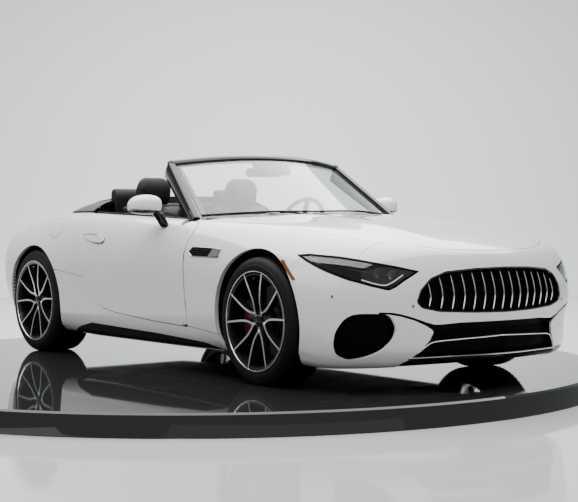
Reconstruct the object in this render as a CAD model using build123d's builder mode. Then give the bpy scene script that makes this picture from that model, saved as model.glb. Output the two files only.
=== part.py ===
"""Two-door roadster convertible with its folding top stowed, in millimetres.

Frame: the front of the car faces -Y, +X is the car's left and +Z is up.
The origin is on the ground, under the middle of the car's bounding box.
Left-hand pieces are drawn first, and the right-hand ones are their mirror images.
"""

import os
from math import hypot, sqrt

from build123d import *

os.makedirs("parts", exist_ok=True)

# ---------------------------------------------------------------- driving dimensions
LENGTH = 4705.0
WHEELBASE = 2700.0
FRONT_OVERHANG = 1015.0
NOSE_Y = -LENGTH / 2
TAIL_Y = LENGTH / 2
FRONT_AXLE_Y = NOSE_Y + FRONT_OVERHANG
REAR_AXLE_Y = FRONT_AXLE_Y + WHEELBASE
REACH = 1200.0  # tools that cut right across the body reach this far

PANEL = 26.0  # depth of an outer panel with its inner frame
LINER = 14.0  # depth of the dark grilles and intakes behind the panels
SHUT_GAP = 5.0  # between a moving panel and its neighbours
FLANGE_GAP = 16.0  # between the inner part of a door and its opening
SEAT_GAP = 0.3  # between soft or loose pieces and what carries them
RUNNING_CLEARANCE = 0.05  # radial, at pins and axles

# wheels
TYRE_RADIUS = 360.0
RIM_RADIUS = 284.0
BEAD_RADIUS = 268.0  # tyre seat on the rim
RIM_FLANGE = 6.4
BARREL_RADIUS = 258.0  # inside of the rim
AXLE_Z = TYRE_RADIUS
FRONT_TYRE_WIDTH = 275.0
REAR_TYRE_WIDTH = 300.0
FRONT_WHEEL_X = 806.0
REAR_WHEEL_X = 794.0
FRONT_ARCH_RADIUS = 405.0
REAR_ARCH_RADIUS = 392.0
ARCH_INNER_X = 470.0  # wheelhouses reach in to here
SPOKE_COUNT = 5
SPOKE_DEPTH = 26.0
SPOKE_WIDTH = 30.0
SPOKE_FORK = 12.0  # degrees between a pair's middle and each of its spokes
SPOKE_OFFSET = 14.0  # sideways, so that a pair meets at the hub
FACE_INSET = 8.0  # spokes stand back from the rim's edge
HUB_RADIUS = 85.0
STUB_RADIUS = 32.0
DISC_RADIUS = 195.0
DISC_WIDTH = 30.0
DISC_BACK = -20.0  # disc's inner face from the wheel's centre plane
HUB_BACK = 40.0
END_CLEARANCE = 3.0  # between a stub axle's end and the hub
STUB_END = 30.0  # hub's blind end
CALIPER_REACH = 34.0  # round the disc and over its faces
CALIPER_DEPTH = 60.0  # down from the disc's edge
CALIPER_GAP = 6.0
CALIPER_FAN = 166.0  # half its spread, at one and a half disc radii from the axle
UPRIGHT_HALF_DEPTH = 42.0
KINGPIN_X = 760.0
KINGPIN_RADIUS = 9.0
KINGPIN_EYE = 19.0
KNUCKLE_HALF_HEIGHT = 125.0
ARM_THICKNESS = 26.0
ARM_ROOT, ARM_WINDOW = 150.0, 80.0  # half widths of a wishbone and of its window at the tower
ARM_WINDOW_ROOT, ARM_WINDOW_TIP = 50.0, 70.0  # the window's ends, from the tower and from the eye
ARM_WINDOW_NARROW = 12.0
RAIL_X = 400.0  # chassis rails
RAIL_WIDTH = 80.0

# body openings
BONNET_HINGE = (-600.0, 930.0)  # y, z of the pin line
BONNET_HINGE_X = 737.0
BOOT_HINGE = (1405.0, 1000.0)
BOOT_HINGE_X = 384.0
BOOT_HALF_WIDTH = 600.0
BOOT_SILL_Z = 625.0
HINGE_PIN_RADIUS = 5.0
HINGE_LUG_RADIUS = 10.0
HINGE_WIDTH = 40.0
HINGE_CHEEK = 8.0
DOOR_INNER_X = 800.0
DOOR_HINGE = (915.0, -560.0)  # x, y of the pin line
DOOR_HINGE_HEIGHTS = (430.0, 700.0)
DOOR_PIN_RADIUS = 4.0
DOOR_PIN_HALF = 40.0
DOOR_ARM_HALF = 12.0  # half height of a hinge arm
DOOR_POCKET_HALF = 18.0  # half height of the pocket round it
DOOR_POCKET_AHEAD, DOOR_POCKET_BEHIND = 80.0, 15.0  # the pocket's reach along Y from the pin
DOOR_SWEEP_HEIGHTS = (300.0, 480.0, 610.0, 672.0, 726.0, 780.0, 830.0, 872.0)
DOOR_SWEEP_EASE = 1.0  # the turning space is this much wider than the door's edge
DOOR_SWEEP_GAP = 7.0  # from the turning space to the fender and the sill
DOOR_POCKET_SKIN = 926.0  # the pocket stops short of the skin here
DOOR_EYE_RADIUS = 8.0  # the arm's end round its pin
DOOR_ARM_X = (847.0, 863.0)  # the arm's long leg
DOOR_TRIM_X = 752.0
DOOR_FRAME_FRONT_Y = -530.0  # the door's inner frame starts here
DOOR_NOTCH = (855.0, -450.0, 800.0)  # the screen pillar's foot stands inside and ahead of this
BULKHEAD_Y = 860.0
FIREWALL_Y = -900.0
WALL = 30.0

# Body sections, front to rear, half width. Columns:
# y, crown height on the centreline, fender crest x and z, widest point x and z,
# sill x and z, floor edge x and z
STATIONS = [
    (NOSE_Y - 20, 610, 600, 560, 900, 440, 860, 205, 800, 150),
    (NOSE_Y + 60, 762, 620, 690, 915, 460, 880, 195, 820, 142),
    (-2100, 838, 650, 768, 935, 500, 905, 190, 840, 135),
    (-1760, 896, 690, 842, 948, 560, 925, 195, 860, 128),
    (FRONT_AXLE_Y, 938, 735, 897, 957, 600, 930, 230, 870, 140),
    (-900, 968, 775, 919, 944, 640, 924, 250, 880, 150),
    (-450, 985, 805, 936, 935, 660, 922, 250, 880, 150),
    (250, 990, 820, 960, 935, 670, 925, 250, 880, 150),
    (850, 1000, 815, 985, 946, 660, 930, 250, 880, 150),
    (REAR_AXLE_Y, 985, 775, 960, 957, 620, 935, 260, 870, 165),
    (1800, 958, 735, 905, 945, 600, 925, 275, 850, 190),
    (2120, 930, 710, 855, 915, 580, 895, 300, 820, 235),
    (TAIL_Y - 60, 905, 700, 815, 890, 560, 860, 325, 800, 265),
    (TAIL_Y + 20, 800, 690, 735, 870, 540, 830, 340, 780, 280),
]

# Plan outline of the bumpers
NOSE_ARC_X, NOSE_ARC_SWEEP = 800.0, 258.0
FRONT_CORNER_X, FRONT_CORNER_BACK = 905.0, 422.0
FRONT_SIDE_BACK = 650.0
TAIL_ARC_X, TAIL_ARC_SWEEP = 620.0, 118.0
REAR_CORNER_X, REAR_CORNER_AHEAD = 812.0, 268.0
REAR_SIDE_AHEAD = 690.0
SIDE_CLEAR_X = 965.0  # the outline runs outside the body's sides here


# ---------------------------------------------------------------- helpers
def write(part, label):
    """Labels one finished sub-part and writes its STEP file."""
    part.label = label
    export_step(part, f"parts/{label}.step")


def write_pair(part, label):
    """Writes a left-hand piece and its mirror image as two nodes."""
    write(part, f"{label}_left")
    write(mirror(part, about=Plane.YZ), f"{label}_right")


def both_sides(part):
    """A left-hand piece together with its mirror image."""
    return Compound([*part.solids(), *mirror(part, about=Plane.YZ).solids()])


def box_between(low, high):
    """A box from its lowest to its highest corner."""
    size = [b - a for a, b in zip(low, high)]
    with BuildPart() as block:
        with Locations(tuple((a + b) / 2 for a, b in zip(low, high))):
            Box(*size)
    return block.part


def x_cylinder(centre, radius, x_from, x_to):
    """A cylinder along X round a (y, z) centre."""
    with BuildPart() as cylinder:
        with BuildSketch(Plane.YZ.offset(x_from)):
            with Locations(centre):
                Circle(radius)
        extrude(amount=x_to - x_from)
    return cylinder.part


def side_region(points, x_from=0.0, x_to=REACH):
    """A prism along X over a side-view polygon of (y, z) points."""
    with BuildPart() as prism:
        with BuildSketch(Plane.YZ.offset(x_from)):
            with BuildLine():
                Polyline(*points, close=True)
            make_face()
        extrude(amount=x_to - x_from)
    return prism.part


def plan_region(points, z_from=0.0, z_to=2 * REACH):
    """A prism along Z over a plan-view polygon of (x, y) points."""
    with BuildPart() as prism:
        with BuildSketch(Plane.XY.offset(z_from)):
            with BuildLine():
                Polyline(*points, close=True)
            make_face()
        extrude(amount=z_to - z_from)
    return prism.part


def left_of(point):
    """The mirror image of a plan-view or front-view point."""
    return (-point[0], *point[1:])


# ---------------------------------------------------------------- body volume
def crest_radius(x, z, wide_x, wide_z):
    """Radius of the arc through (x, z) that is upright at the widest point."""
    dx, dz = wide_x - x, abs(z - wide_z)
    return (dx * dx + dz * dz) / (2 * dx)


def plan_outline(inset):
    """Outline of the body seen from above."""
    nose, tail = NOSE_Y + inset, TAIL_Y - inset
    side = SIDE_CLEAR_X - inset
    nose_end = (NOSE_ARC_X - inset / 2, NOSE_Y + NOSE_ARC_SWEEP + inset)
    front_corner = (FRONT_CORNER_X - inset, NOSE_Y + FRONT_CORNER_BACK + inset / 2)
    front_side = (side, NOSE_Y + FRONT_SIDE_BACK)
    rear_side = (side, TAIL_Y - REAR_SIDE_AHEAD)
    rear_corner = (REAR_CORNER_X - inset, TAIL_Y - REAR_CORNER_AHEAD - inset / 2)
    tail_end = (TAIL_ARC_X - inset / 2, TAIL_Y - TAIL_ARC_SWEEP - inset)
    with BuildSketch() as outline:
        with BuildLine():
            ThreePointArc(left_of(nose_end), (0, nose), nose_end)
            ThreePointArc(nose_end, front_corner, front_side)
            Line(front_side, rear_side)
            ThreePointArc(rear_side, rear_corner, tail_end)
            ThreePointArc(tail_end, (0, tail), left_of(tail_end))
            ThreePointArc(left_of(tail_end), left_of(rear_corner), left_of(rear_side))
            Line(left_of(rear_side), left_of(front_side))
            ThreePointArc(left_of(front_side), left_of(front_corner), left_of(nose_end))
        make_face()
    return outline.sketch


def body_volume(inset):
    """The closed volume of the body below its glass, moved in by inset."""
    with BuildPart() as volume:
        for y, crown, cx, cz, wx, wz, sx, sz, fx, fz in STATIONS:
            cx, wx, sx, fx = (v - inset for v in (cx, wx, sx, fx))
            crown, cz = crown - inset, cz - inset
            sz, fz = sz + inset / 2, fz + inset
            crest, wide, sill, floor = (cx, cz), (wx, wz), (sx, sz), (fx, fz)
            with BuildSketch(Plane.XZ.offset(-y)):
                with BuildLine():
                    ThreePointArc(left_of(crest), (0, crown), crest)
                    RadiusArc(crest, wide, crest_radius(cx, cz, wx, wz))
                    RadiusArc(wide, sill, crest_radius(sx, sz, wx, wz))
                    Polyline(sill, floor, left_of(floor), left_of(sill))
                    RadiusArc(left_of(sill), left_of(wide), crest_radius(sx, sz, wx, wz))
                    RadiusArc(left_of(wide), left_of(crest), crest_radius(cx, cz, wx, wz))
                make_face()
        loft()
        extrude(plan_outline(inset), amount=2 * REACH, mode=Mode.INTERSECT)
    return volume.part


with BuildPart() as wheelhouses:
    for axle_y, radius in ((FRONT_AXLE_Y, FRONT_ARCH_RADIUS), (REAR_AXLE_Y, REAR_ARCH_RADIUS)):
        add(x_cylinder((axle_y, AXLE_Z), radius, ARCH_INNER_X, REACH))
        add(x_cylinder((axle_y, AXLE_Z), radius, -REACH, -ARCH_INNER_X))

outer = body_volume(0)
core = body_volume(PANEL)
inner_core = body_volume(PANEL + LINER)
with BuildPart() as skin:
    add(outer)
    add(core, mode=Mode.SUBTRACT)
    add(wheelhouses.part, mode=Mode.SUBTRACT)
skin = skin.part
with BuildPart() as liner_skin:
    add(core)
    add(inner_core, mode=Mode.SUBTRACT)
liner_skin = liner_skin.part

# ---------------------------------------------------------------- panel outlines
# Side view, (y, z). The door's edge, from the belt at its front round to the belt behind.
DOOR_FRONT = [(-650.0, 1100.0), (-650.0, 925.0), (-585.0, 726.0), (-620.0, 300.0)]
DOOR_BOTTOM = [(-610.0, 286.0), (-236.0, 300.0), (238.0, 330.0)]
DOOR_REAR = [(490.0, 385.0), (645.0, 546.0), (750.0, 692.0), (792.0, 820.0), (800.0, 1100.0)]
FENDER_FOOT = (-957.0, 262.0)  # where the fender's lower edge meets the front arch
QUARTER_FOOT = (985.0, 585.0)  # where the quarter's lower edge meets the rear arch
BUMPER_TOP = (-2020.0, 705.0)  # fender, bumper and headlamp meet here
BUMPER_LAMP = (-1700.0, 728.0)
BUMPER_ARCH = (-1600.0, 600.0)
REAR_BUMPER_TOP = 615.0
REAR_BUMPER_ARCH_Y = 1650.0

# Plan view, (x, y). The bonnet's edge, half of it, from the middle of its front.
BONNET_EDGE = [(0, -2282.0), (340.0, -2222.0), (640.0, -1975.0), (750.0, -1370.0),
               (797.0, -850.0), (782.0, -660.0), (520.0, -790.0), (0, -880.0)]


def closed_across(half):
    """A half outline in plan with its mirror image, as one closed list."""
    inner = [p for p in reversed(half) if p[0] > 0]
    return half + [left_of(p) for p in inner]


def grown(region_points, amount, plane):
    """A sketch of an outline moved out by amount, or in if it is negative."""
    with BuildSketch(plane) as sketch:
        with BuildLine():
            Polyline(*region_points, close=True)
        make_face()
        if amount:
            offset(amount=amount, kind=Kind.INTERSECTION)
    return sketch.sketch


door_outline = DOOR_FRONT + DOOR_BOTTOM + DOOR_REAR
bonnet_outline = closed_across(BONNET_EDGE)

# ---------------------------------------------------------------- bonnet and boot lid
bonnet_hole = extrude(grown(bonnet_outline, SHUT_GAP, Plane.XY.offset(AXLE_Z)), amount=REACH)


def hinge_lug(axis, x_centre, to_y, to_z):
    """An eye round a pin line along X with an arm to (to_y, to_z)."""
    with BuildPart() as lug:
        with BuildSketch(Plane.YZ.offset(x_centre - HINGE_WIDTH / 2)):
            with Locations(axis):
                Circle(HINGE_LUG_RADIUS)
            with BuildLine():
                Polyline((axis[0], axis[1] - HINGE_LUG_RADIUS), (to_y, to_z - HINGE_LUG_RADIUS),
                         (to_y, to_z), (axis[0], axis[1] + 2), close=True)
            make_face()
            with Locations(axis):
                Circle(HINGE_PIN_RADIUS + RUNNING_CLEARANCE, mode=Mode.SUBTRACT)
        extrude(amount=HINGE_WIDTH)
    return lug.part


def hinge_pin(axis, x_centre, to_y, to_z):
    """A pin line along X held by two cheeks that run to (to_y, to_z)."""
    outer_half = HINGE_WIDTH / 2 + SEAT_GAP + HINGE_CHEEK
    with BuildPart() as pin:
        add(x_cylinder(axis, HINGE_PIN_RADIUS, x_centre - outer_half, x_centre + outer_half))
        for x_from in (x_centre - outer_half, x_centre + outer_half - HINGE_CHEEK):
            with BuildSketch(Plane.YZ.offset(x_from)):
                with Locations(axis):
                    Circle(HINGE_LUG_RADIUS)
                with BuildLine():
                    along = (Vector(to_y, to_z) - Vector(*axis)).normalized()
                    across_arm = Vector(-along.Y, along.X) * HINGE_LUG_RADIUS
                    start, end = Vector(*axis), Vector(to_y, to_z)
                    Polyline(start + across_arm, end + across_arm, end - across_arm, start - across_arm,
                             close=True)
                make_face()
            extrude(amount=HINGE_CHEEK)
    return pin.part


with BuildPart() as bonnet:
    add(skin)
    extrude(grown(bonnet_outline, 0, Plane.XY.offset(AXLE_Z)), amount=REACH, mode=Mode.INTERSECT)
    for side in (-1, 1):
        add(hinge_lug(BONNET_HINGE, side * BONNET_HINGE_X, BONNET_HINGE[0] - 105, BONNET_HINGE[1] - 2))
write(bonnet.part, "bonnet")

BOOT_FRONT_Y = BOOT_HINGE[0] + 15
boot_top = [(-BOOT_HALF_WIDTH, BOOT_FRONT_Y), (BOOT_HALF_WIDTH, BOOT_FRONT_Y),
            (BOOT_HALF_WIDTH, TAIL_Y + 50), (-BOOT_HALF_WIDTH, TAIL_Y + 50)]
boot_hole = extrude(grown(boot_top, SHUT_GAP, Plane.XY.offset(BOOT_SILL_Z - SHUT_GAP)), amount=REACH)
with BuildPart() as boot_lid:
    add(skin)
    extrude(grown(boot_top, 0, Plane.XY.offset(BOOT_SILL_Z)), amount=REACH, mode=Mode.INTERSECT)
    for side in (-1, 1):
        add(hinge_lug(BOOT_HINGE, side * BOOT_HINGE_X, BOOT_HINGE[0] + 40, BOOT_HINGE[1] - 24))
write(boot_lid.part, "boot_lid")

# ---------------------------------------------------------------- doors
door_notch = box_between((0, -REACH, DOOR_NOTCH[2]), (DOOR_NOTCH[0], DOOR_NOTCH[1], REACH))
notch_gap = box_between((0, -REACH, DOOR_NOTCH[2] - SHUT_GAP),
                        (DOOR_NOTCH[0] + SHUT_GAP, DOOR_NOTCH[1] + SHUT_GAP, REACH))


def section_at(y):
    """The body section at y, between the stations on either side of it."""
    behind = next(i for i, station in enumerate(STATIONS) if station[0] > y)
    ahead, rear = STATIONS[behind - 1], STATIONS[behind]
    share = (y - ahead[0]) / (rear[0] - ahead[0])
    return [a + (b - a) * share for a, b in zip(ahead, rear)]


def skin_x(y, z):
    """Half width of the body at y and z, on the arcs of its section."""
    cx, cz, wx, wz, sx, sz = section_at(y)[2:8]
    radius = crest_radius(cx, cz, wx, wz) if z > wz else crest_radius(sx, sz, wx, wz)
    return wx - radius + sqrt(radius ** 2 - (z - wz) ** 2)


def door_edge_y(z):
    """Where the door's front edge stands at height z."""
    for (y_high, z_high), (y_low, z_low) in zip(DOOR_FRONT, DOOR_FRONT[1:]):
        if z >= z_low:
            return y_low + (y_high - y_low) * (z - z_low) / (z_high - z_low)
    return DOOR_FRONT[-1][0]


def hinge_sweep(clearance):
    """The space that the door's leading edge turns in round its pins, grown by a clearance."""
    edge = []
    for z in DOOR_SWEEP_HEIGHTS:
        y = door_edge_y(z) + SHUT_GAP / 2
        reach = hypot(y - DOOR_HINGE[1], skin_x(y, z) - DOOR_HINGE[0])
        edge.append((reach + DOOR_SWEEP_EASE + clearance, z))
    edge.append((edge[-1][0], REACH))
    with BuildPart(mode=Mode.PRIVATE) as sweep_space:
        with BuildSketch(Plane(origin=(*DOOR_HINGE, 0), x_dir=(1, 0, 0), z_dir=(0, -1, 0))):
            with BuildLine():
                Polyline((0, edge[0][1]), *edge, (0, edge[-1][1]), close=True)
            make_face()
        revolve(axis=Axis((*DOOR_HINGE, 0), (0, 0, 1)))
    return sweep_space.part


with BuildPart() as door_hole:
    extrude(grown(door_outline, SHUT_GAP / 2, Plane.YZ.offset(DOOR_INNER_X - 60)), amount=REACH)
    add(door_notch, mode=Mode.SUBTRACT)
    add(hinge_sweep(DOOR_SWEEP_GAP))
with BuildPart() as beyond_sweep:
    add(notch_gap)
    add(box_between((0, -REACH, 0), (REACH, DOOR_HINGE[1], REACH)))
    add(hinge_sweep(0), mode=Mode.SUBTRACT)
with BuildPart() as door:
    add(outer)
    extrude(grown(door_outline, -SHUT_GAP / 2, Plane.YZ.offset(DOOR_INNER_X)), amount=REACH,
            mode=Mode.INTERSECT)
    with BuildPart(mode=Mode.PRIVATE) as rebate:
        add(core)
        with BuildPart(mode=Mode.PRIVATE) as frame_zone:
            extrude(grown(door_outline, -FLANGE_GAP, Plane.YZ.offset(DOOR_INNER_X)), amount=REACH)
            add(box_between((0, -REACH, 0), (REACH, DOOR_FRAME_FRONT_Y, REACH)), mode=Mode.SUBTRACT)
        add(frame_zone.part, mode=Mode.SUBTRACT)
    add(rebate.part, mode=Mode.SUBTRACT)
    add(beyond_sweep.part, mode=Mode.SUBTRACT)
    for height in DOOR_HINGE_HEIGHTS:
        add(box_between((DOOR_INNER_X - 1, DOOR_HINGE[1] - DOOR_POCKET_AHEAD, height - DOOR_POCKET_HALF),
                        (DOOR_POCKET_SKIN, DOOR_HINGE[1] + DOOR_POCKET_BEHIND, height + DOOR_POCKET_HALF)),
            mode=Mode.SUBTRACT)
        with BuildSketch(Plane.XY.offset(height - DOOR_PIN_HALF - 1)):
            with Locations(DOOR_HINGE):
                Circle(DOOR_PIN_RADIUS + RUNNING_CLEARANCE)
        extrude(amount=2 * DOOR_PIN_HALF + 2, mode=Mode.SUBTRACT)
write_pair(door.part, "door")

with BuildPart() as door_trim:
    add(side_region([(-420.0, 500.0), (-420.0, 900.0), (660.0, 925.0), (640.0, 600.0), (480.0, 480.0)],
                    DOOR_TRIM_X, DOOR_INNER_X))
write_pair(door_trim.part, "door_trim")

# x, depth along Y, height
MIRROR_SECTIONS = [(900.0, 70.0, 40.0), (930.0, 130.0, 75.0), (1000.0, 165.0, 95.0), (1074.5, 95.0, 55.0)]
MIRROR_CENTRE = (-165.0, 988.0)  # y, z
MIRROR_FOOT_LOW = (900.0, -200.0, 860.0)
MIRROR_FOOT_HIGH = (945.0, -165.0, 975.0)
with BuildPart() as door_mirror:
    for x, depth, height in MIRROR_SECTIONS:
        with BuildSketch(Plane.YZ.offset(x)):
            with Locations(MIRROR_CENTRE):
                RectangleRounded(depth, height, 0.4 * min(depth, height))
    loft(ruled=True)
    with BuildPart(mode=Mode.PRIVATE) as foot:
        for foot_x, foot_y, foot_z in (MIRROR_FOOT_LOW, MIRROR_FOOT_HIGH):
            with BuildSketch(Plane.XY.offset(foot_z)):
                with Locations((foot_x, foot_y)):
                    Rectangle(65.0, 65.0)
        loft(ruled=True)
        add(outer, mode=Mode.SUBTRACT)
    add(foot.part)
write_pair(door_mirror.part, "door_mirror")

# ---------------------------------------------------------------- fixed panels

# Front view, (x, z), half outlines of the left-hand side
GRILLE_EDGE = [(0, 668.0), (379.0, 652.0), (500.0, 590.0), (545.0, 488.0), (420.0, 436.0), (0, 422.0)]
LOWER_INTAKE = [(0, 356.0), (447.0, 346.0), (545.0, 190.0), (0, 182.0)]
SIDE_INTAKE = [(610.0, 345.0), (700.0, 443.0), (848.0, 437.0), (858.0, 257.0), (850.0, 205.0),
               (650.0, 215.0)]
HEADLAMP = [(505.0, 655.0), (700.0, 693.0), (960.0, 748.0), (960.0, 712.0), (800.0, 620.0), (680.0, 553.0)]
HEADLAMP_REAR_Y = -1680.0
TAIL_LAMP = [(606.0, 712.0), (606.0, 792.0), (980.0, 800.0), (980.0, 764.0)]
TAIL_LAMP_FRONT_Y = 1905.0
SLAT_COUNT = 15
SLAT_WIDTH = 10.0
SLAT_PITCH = 66.0
GRILLE_FRAME = 12.0
GRILLE_DEPTH_Y = -2000.0  # the grille's opening is cut back to here
INTAKE_DEPTH_Y = -2125.0
SIDE_INTAKE_DEPTH_Y = -1880.0


def front_region(points, y_from, y_to, amount=0.0):
    """A prism along Y over a front-view polygon of (x, z) points, grown by amount."""
    with BuildPart(mode=Mode.PRIVATE) as prism:
        extrude(grown(points, amount, Plane.XZ.offset(-y_to)), amount=y_to - y_from)
    return prism.part


grille_outline = closed_across(GRILLE_EDGE)
intake_outline = closed_across(LOWER_INTAKE)
nose_y = NOSE_Y - 50
with BuildPart() as front_holes:
    add(front_region(grille_outline, nose_y, GRILLE_DEPTH_Y))
    add(front_region(intake_outline, nose_y, GRILLE_DEPTH_Y))
    for mirrored in (False, True):
        for points, end_y in ((SIDE_INTAKE, SIDE_INTAKE_DEPTH_Y), (HEADLAMP, HEADLAMP_REAR_Y)):
            hole = front_region(points, nose_y, end_y)
            add(mirror(hole, about=Plane.YZ) if mirrored else hole)

with BuildPart() as side_skin:
    add(skin)
    add(box_between((-REACH, NOSE_Y - 100, 0), (0, TAIL_Y + 100, 2 * REACH)), mode=Mode.SUBTRACT)
    add(bonnet_hole, mode=Mode.SUBTRACT)
    add(boot_hole, mode=Mode.SUBTRACT)
    add(door_hole.part, mode=Mode.SUBTRACT)
    add(front_holes.part, mode=Mode.SUBTRACT)
    add(front_region(TAIL_LAMP, TAIL_LAMP_FRONT_Y, TAIL_Y + 50), mode=Mode.SUBTRACT)
side_skin = side_skin.part

FENDER_REGION = [BUMPER_TOP, BUMPER_LAMP, BUMPER_ARCH, (BUMPER_ARCH[0], 300.0), (-1100.0, FENDER_FOOT[1]),
                 FENDER_FOOT, (-640.0, 290.0), (-560.0, 290.0), (-560.0, 1100.0), (BUMPER_TOP[0], 1100.0)]
FENDER_INNER_X = 640.0
CROSS_INNER_X = 788.0  # inner edge of the fender behind the bonnet's corner
with BuildPart() as fender:
    add(side_skin)
    add(side_region(FENDER_REGION, FENDER_INNER_X - 30), mode=Mode.INTERSECT)
    add(box_between((0, BONNET_HINGE[0] - 70, AXLE_Z), (CROSS_INNER_X, 0, REACH)), mode=Mode.SUBTRACT)
    add(plan_region([(0, -900.0), (520.0, -790.0 + SHUT_GAP), (790.0, -660.0), (790.0, 0), (0, 0)]),
        mode=Mode.SUBTRACT)
write_pair(fender.part, "front_fender")

REAR_BUMPER_LINE = [(REAR_BUMPER_ARCH_Y, 0), (REAR_BUMPER_ARCH_Y, REAR_BUMPER_TOP),
                    (TAIL_Y + 50, REAR_BUMPER_TOP), (TAIL_Y + 50, 0)]
QUARTER_REGION = [QUARTER_FOOT, (645.0, 546.0), (400.0, 540.0), (400.0, 1100.0), (TAIL_Y + 50, 1100.0),
                  (TAIL_Y + 50, REAR_BUMPER_TOP), (REAR_BUMPER_ARCH_Y, REAR_BUMPER_TOP)]
DECK_INNER_X = 700.0
DECK_HOLE = [(-DECK_INNER_X - 70, 700.0), (-DECK_INNER_X, 1300.0), (-BOOT_HALF_WIDTH + 30, 1396.0),
             (BOOT_HALF_WIDTH - 30, 1396.0), (DECK_INNER_X, 1300.0), (DECK_INNER_X + 70, 700.0),
             (DECK_INNER_X + 70, 0), (-DECK_INNER_X - 70, 0)]
with BuildPart() as quarter:
    add(side_skin)
    add(side_region(QUARTER_REGION), mode=Mode.INTERSECT)
    add(plan_region(DECK_HOLE, AXLE_Z), mode=Mode.SUBTRACT)
write_pair(quarter.part, "rear_quarter")

with BuildPart() as rear_bumper_half:
    add(side_skin)
    add(side_region(REAR_BUMPER_LINE), mode=Mode.INTERSECT)
DIFFUSER_TOP = 395.0
DIFFUSER_HALF_WIDTH = 640.0
diffuser_zone = box_between((-DIFFUSER_HALF_WIDTH, 1980.0, 0),
                            (DIFFUSER_HALF_WIDTH, TAIL_Y + 50, DIFFUSER_TOP))
with BuildPart() as rear_bumper:
    add(rear_bumper_half.part)
    add(mirror(rear_bumper_half.part, about=Plane.YZ))
    add(diffuser_zone, mode=Mode.SUBTRACT)
write(rear_bumper.part, "rear_bumper")

BUMPER_REGION = [BUMPER_TOP, BUMPER_LAMP, BUMPER_ARCH, (BUMPER_ARCH[0], 0), (nose_y, 0), (nose_y, 1100.0),
                 (BUMPER_TOP[0], 1100.0)]
with BuildPart() as front_bumper_half:
    add(side_skin)
    add(side_region(BUMPER_REGION), mode=Mode.INTERSECT)
with BuildPart() as front_bumper:
    add(front_bumper_half.part)
    add(mirror(front_bumper_half.part, about=Plane.YZ))
write(front_bumper.part, "front_bumper")

SILL_FOOT_X = 800.0
SILL_REGION = [FENDER_FOOT, (-640.0, 290.0), (-560.0, 290.0), (400.0, 540.0), (645.0, 546.0), QUARTER_FOOT,
               (REAR_AXLE_Y, QUARTER_FOOT[1]), (REAR_AXLE_Y, 0), (FRONT_AXLE_Y, 0),
               (FRONT_AXLE_Y, FENDER_FOOT[1])]
SKIRT_REGION = [(-930.0, 100.0), (-930.0, 172.0), (-775.0, 200.0), (-235.0, 223.0), (570.0, 242.0),
                (757.0, 206.0), (900.0, 160.0), (900.0, 100.0)]
with BuildPart() as sill:
    add(side_skin)
    add(side_region(SILL_REGION, SILL_FOOT_X), mode=Mode.INTERSECT)
    add(side_region(SKIRT_REGION), mode=Mode.SUBTRACT)
write_pair(sill.part, "sill")
with BuildPart() as skirt:
    add(side_skin)
    add(side_region(SKIRT_REGION, SILL_FOOT_X), mode=Mode.INTERSECT)
write(both_sides(skirt.part), "side_skirts")

# ---------------------------------------------------------------- lamps and grilles
with BuildPart() as headlamp:
    add(skin)
    add(front_region(HEADLAMP, nose_y, HEADLAMP_REAR_Y), mode=Mode.INTERSECT)
    add(side_region([(nose_y, 0), (HEADLAMP_REAR_Y, 0), (HEADLAMP_REAR_Y, REACH), (nose_y, REACH)]),
        mode=Mode.INTERSECT)
write(both_sides(headlamp.part), "headlamps")

with BuildPart() as tail_lamp:
    add(skin)
    add(front_region(TAIL_LAMP, TAIL_LAMP_FRONT_Y, TAIL_Y + 50), mode=Mode.INTERSECT)
write(both_sides(tail_lamp.part), "tail_lamps")

with BuildPart() as grille:
    add(liner_skin)
    add(front_region(grille_outline, nose_y, GRILLE_DEPTH_Y, GRILLE_FRAME), mode=Mode.INTERSECT)
    with BuildPart(mode=Mode.PRIVATE) as slats:
        add(skin)
        with BuildSketch(Plane.XZ.offset(-GRILLE_DEPTH_Y)):
            with GridLocations(SLAT_PITCH, 0, SLAT_COUNT, 1):
                Rectangle(SLAT_WIDTH, 2 * REACH)
        extrude(amount=REACH, mode=Mode.INTERSECT)
        add(front_region(grille_outline, nose_y, GRILLE_DEPTH_Y), mode=Mode.INTERSECT)
    add(slats.part)
write(grille.part, "grille")

with BuildPart() as lower_grille:
    add(liner_skin)
    with BuildPart(mode=Mode.PRIVATE) as openings:
        add(front_region(intake_outline, nose_y, INTAKE_DEPTH_Y, GRILLE_FRAME))
        side_hole = front_region(SIDE_INTAKE, nose_y, SIDE_INTAKE_DEPTH_Y - 10, GRILLE_FRAME)
        add(side_hole)
        add(mirror(side_hole, about=Plane.YZ))
    add(openings.part, mode=Mode.INTERSECT)
write(lower_grille.part, "lower_grille")

EXHAUST_X, EXHAUST_Z = 440.0, 340.0
EXHAUST_SIZE, EXHAUST_CORNER, EXHAUST_WALL = (130.0, 70.0), 25.0, 6.0
EXHAUST_INSET, EXHAUST_LENGTH = 55.0, 90.0
with BuildPart() as diffuser:
    add(skin)
    add(diffuser_zone, mode=Mode.INTERSECT)
    with BuildSketch(Plane.XZ.offset(-(TAIL_Y - EXHAUST_INSET))):
        with GridLocations(2 * EXHAUST_X, 0, 2, 1):
            with Locations((0, EXHAUST_Z)):
                RectangleRounded(*EXHAUST_SIZE, EXHAUST_CORNER)
                RectangleRounded(*(v - 2 * EXHAUST_WALL for v in EXHAUST_SIZE),
                                 EXHAUST_CORNER - EXHAUST_WALL, mode=Mode.SUBTRACT)
    extrude(amount=EXHAUST_LENGTH)
write(diffuser.part, "rear_diffuser")

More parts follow.
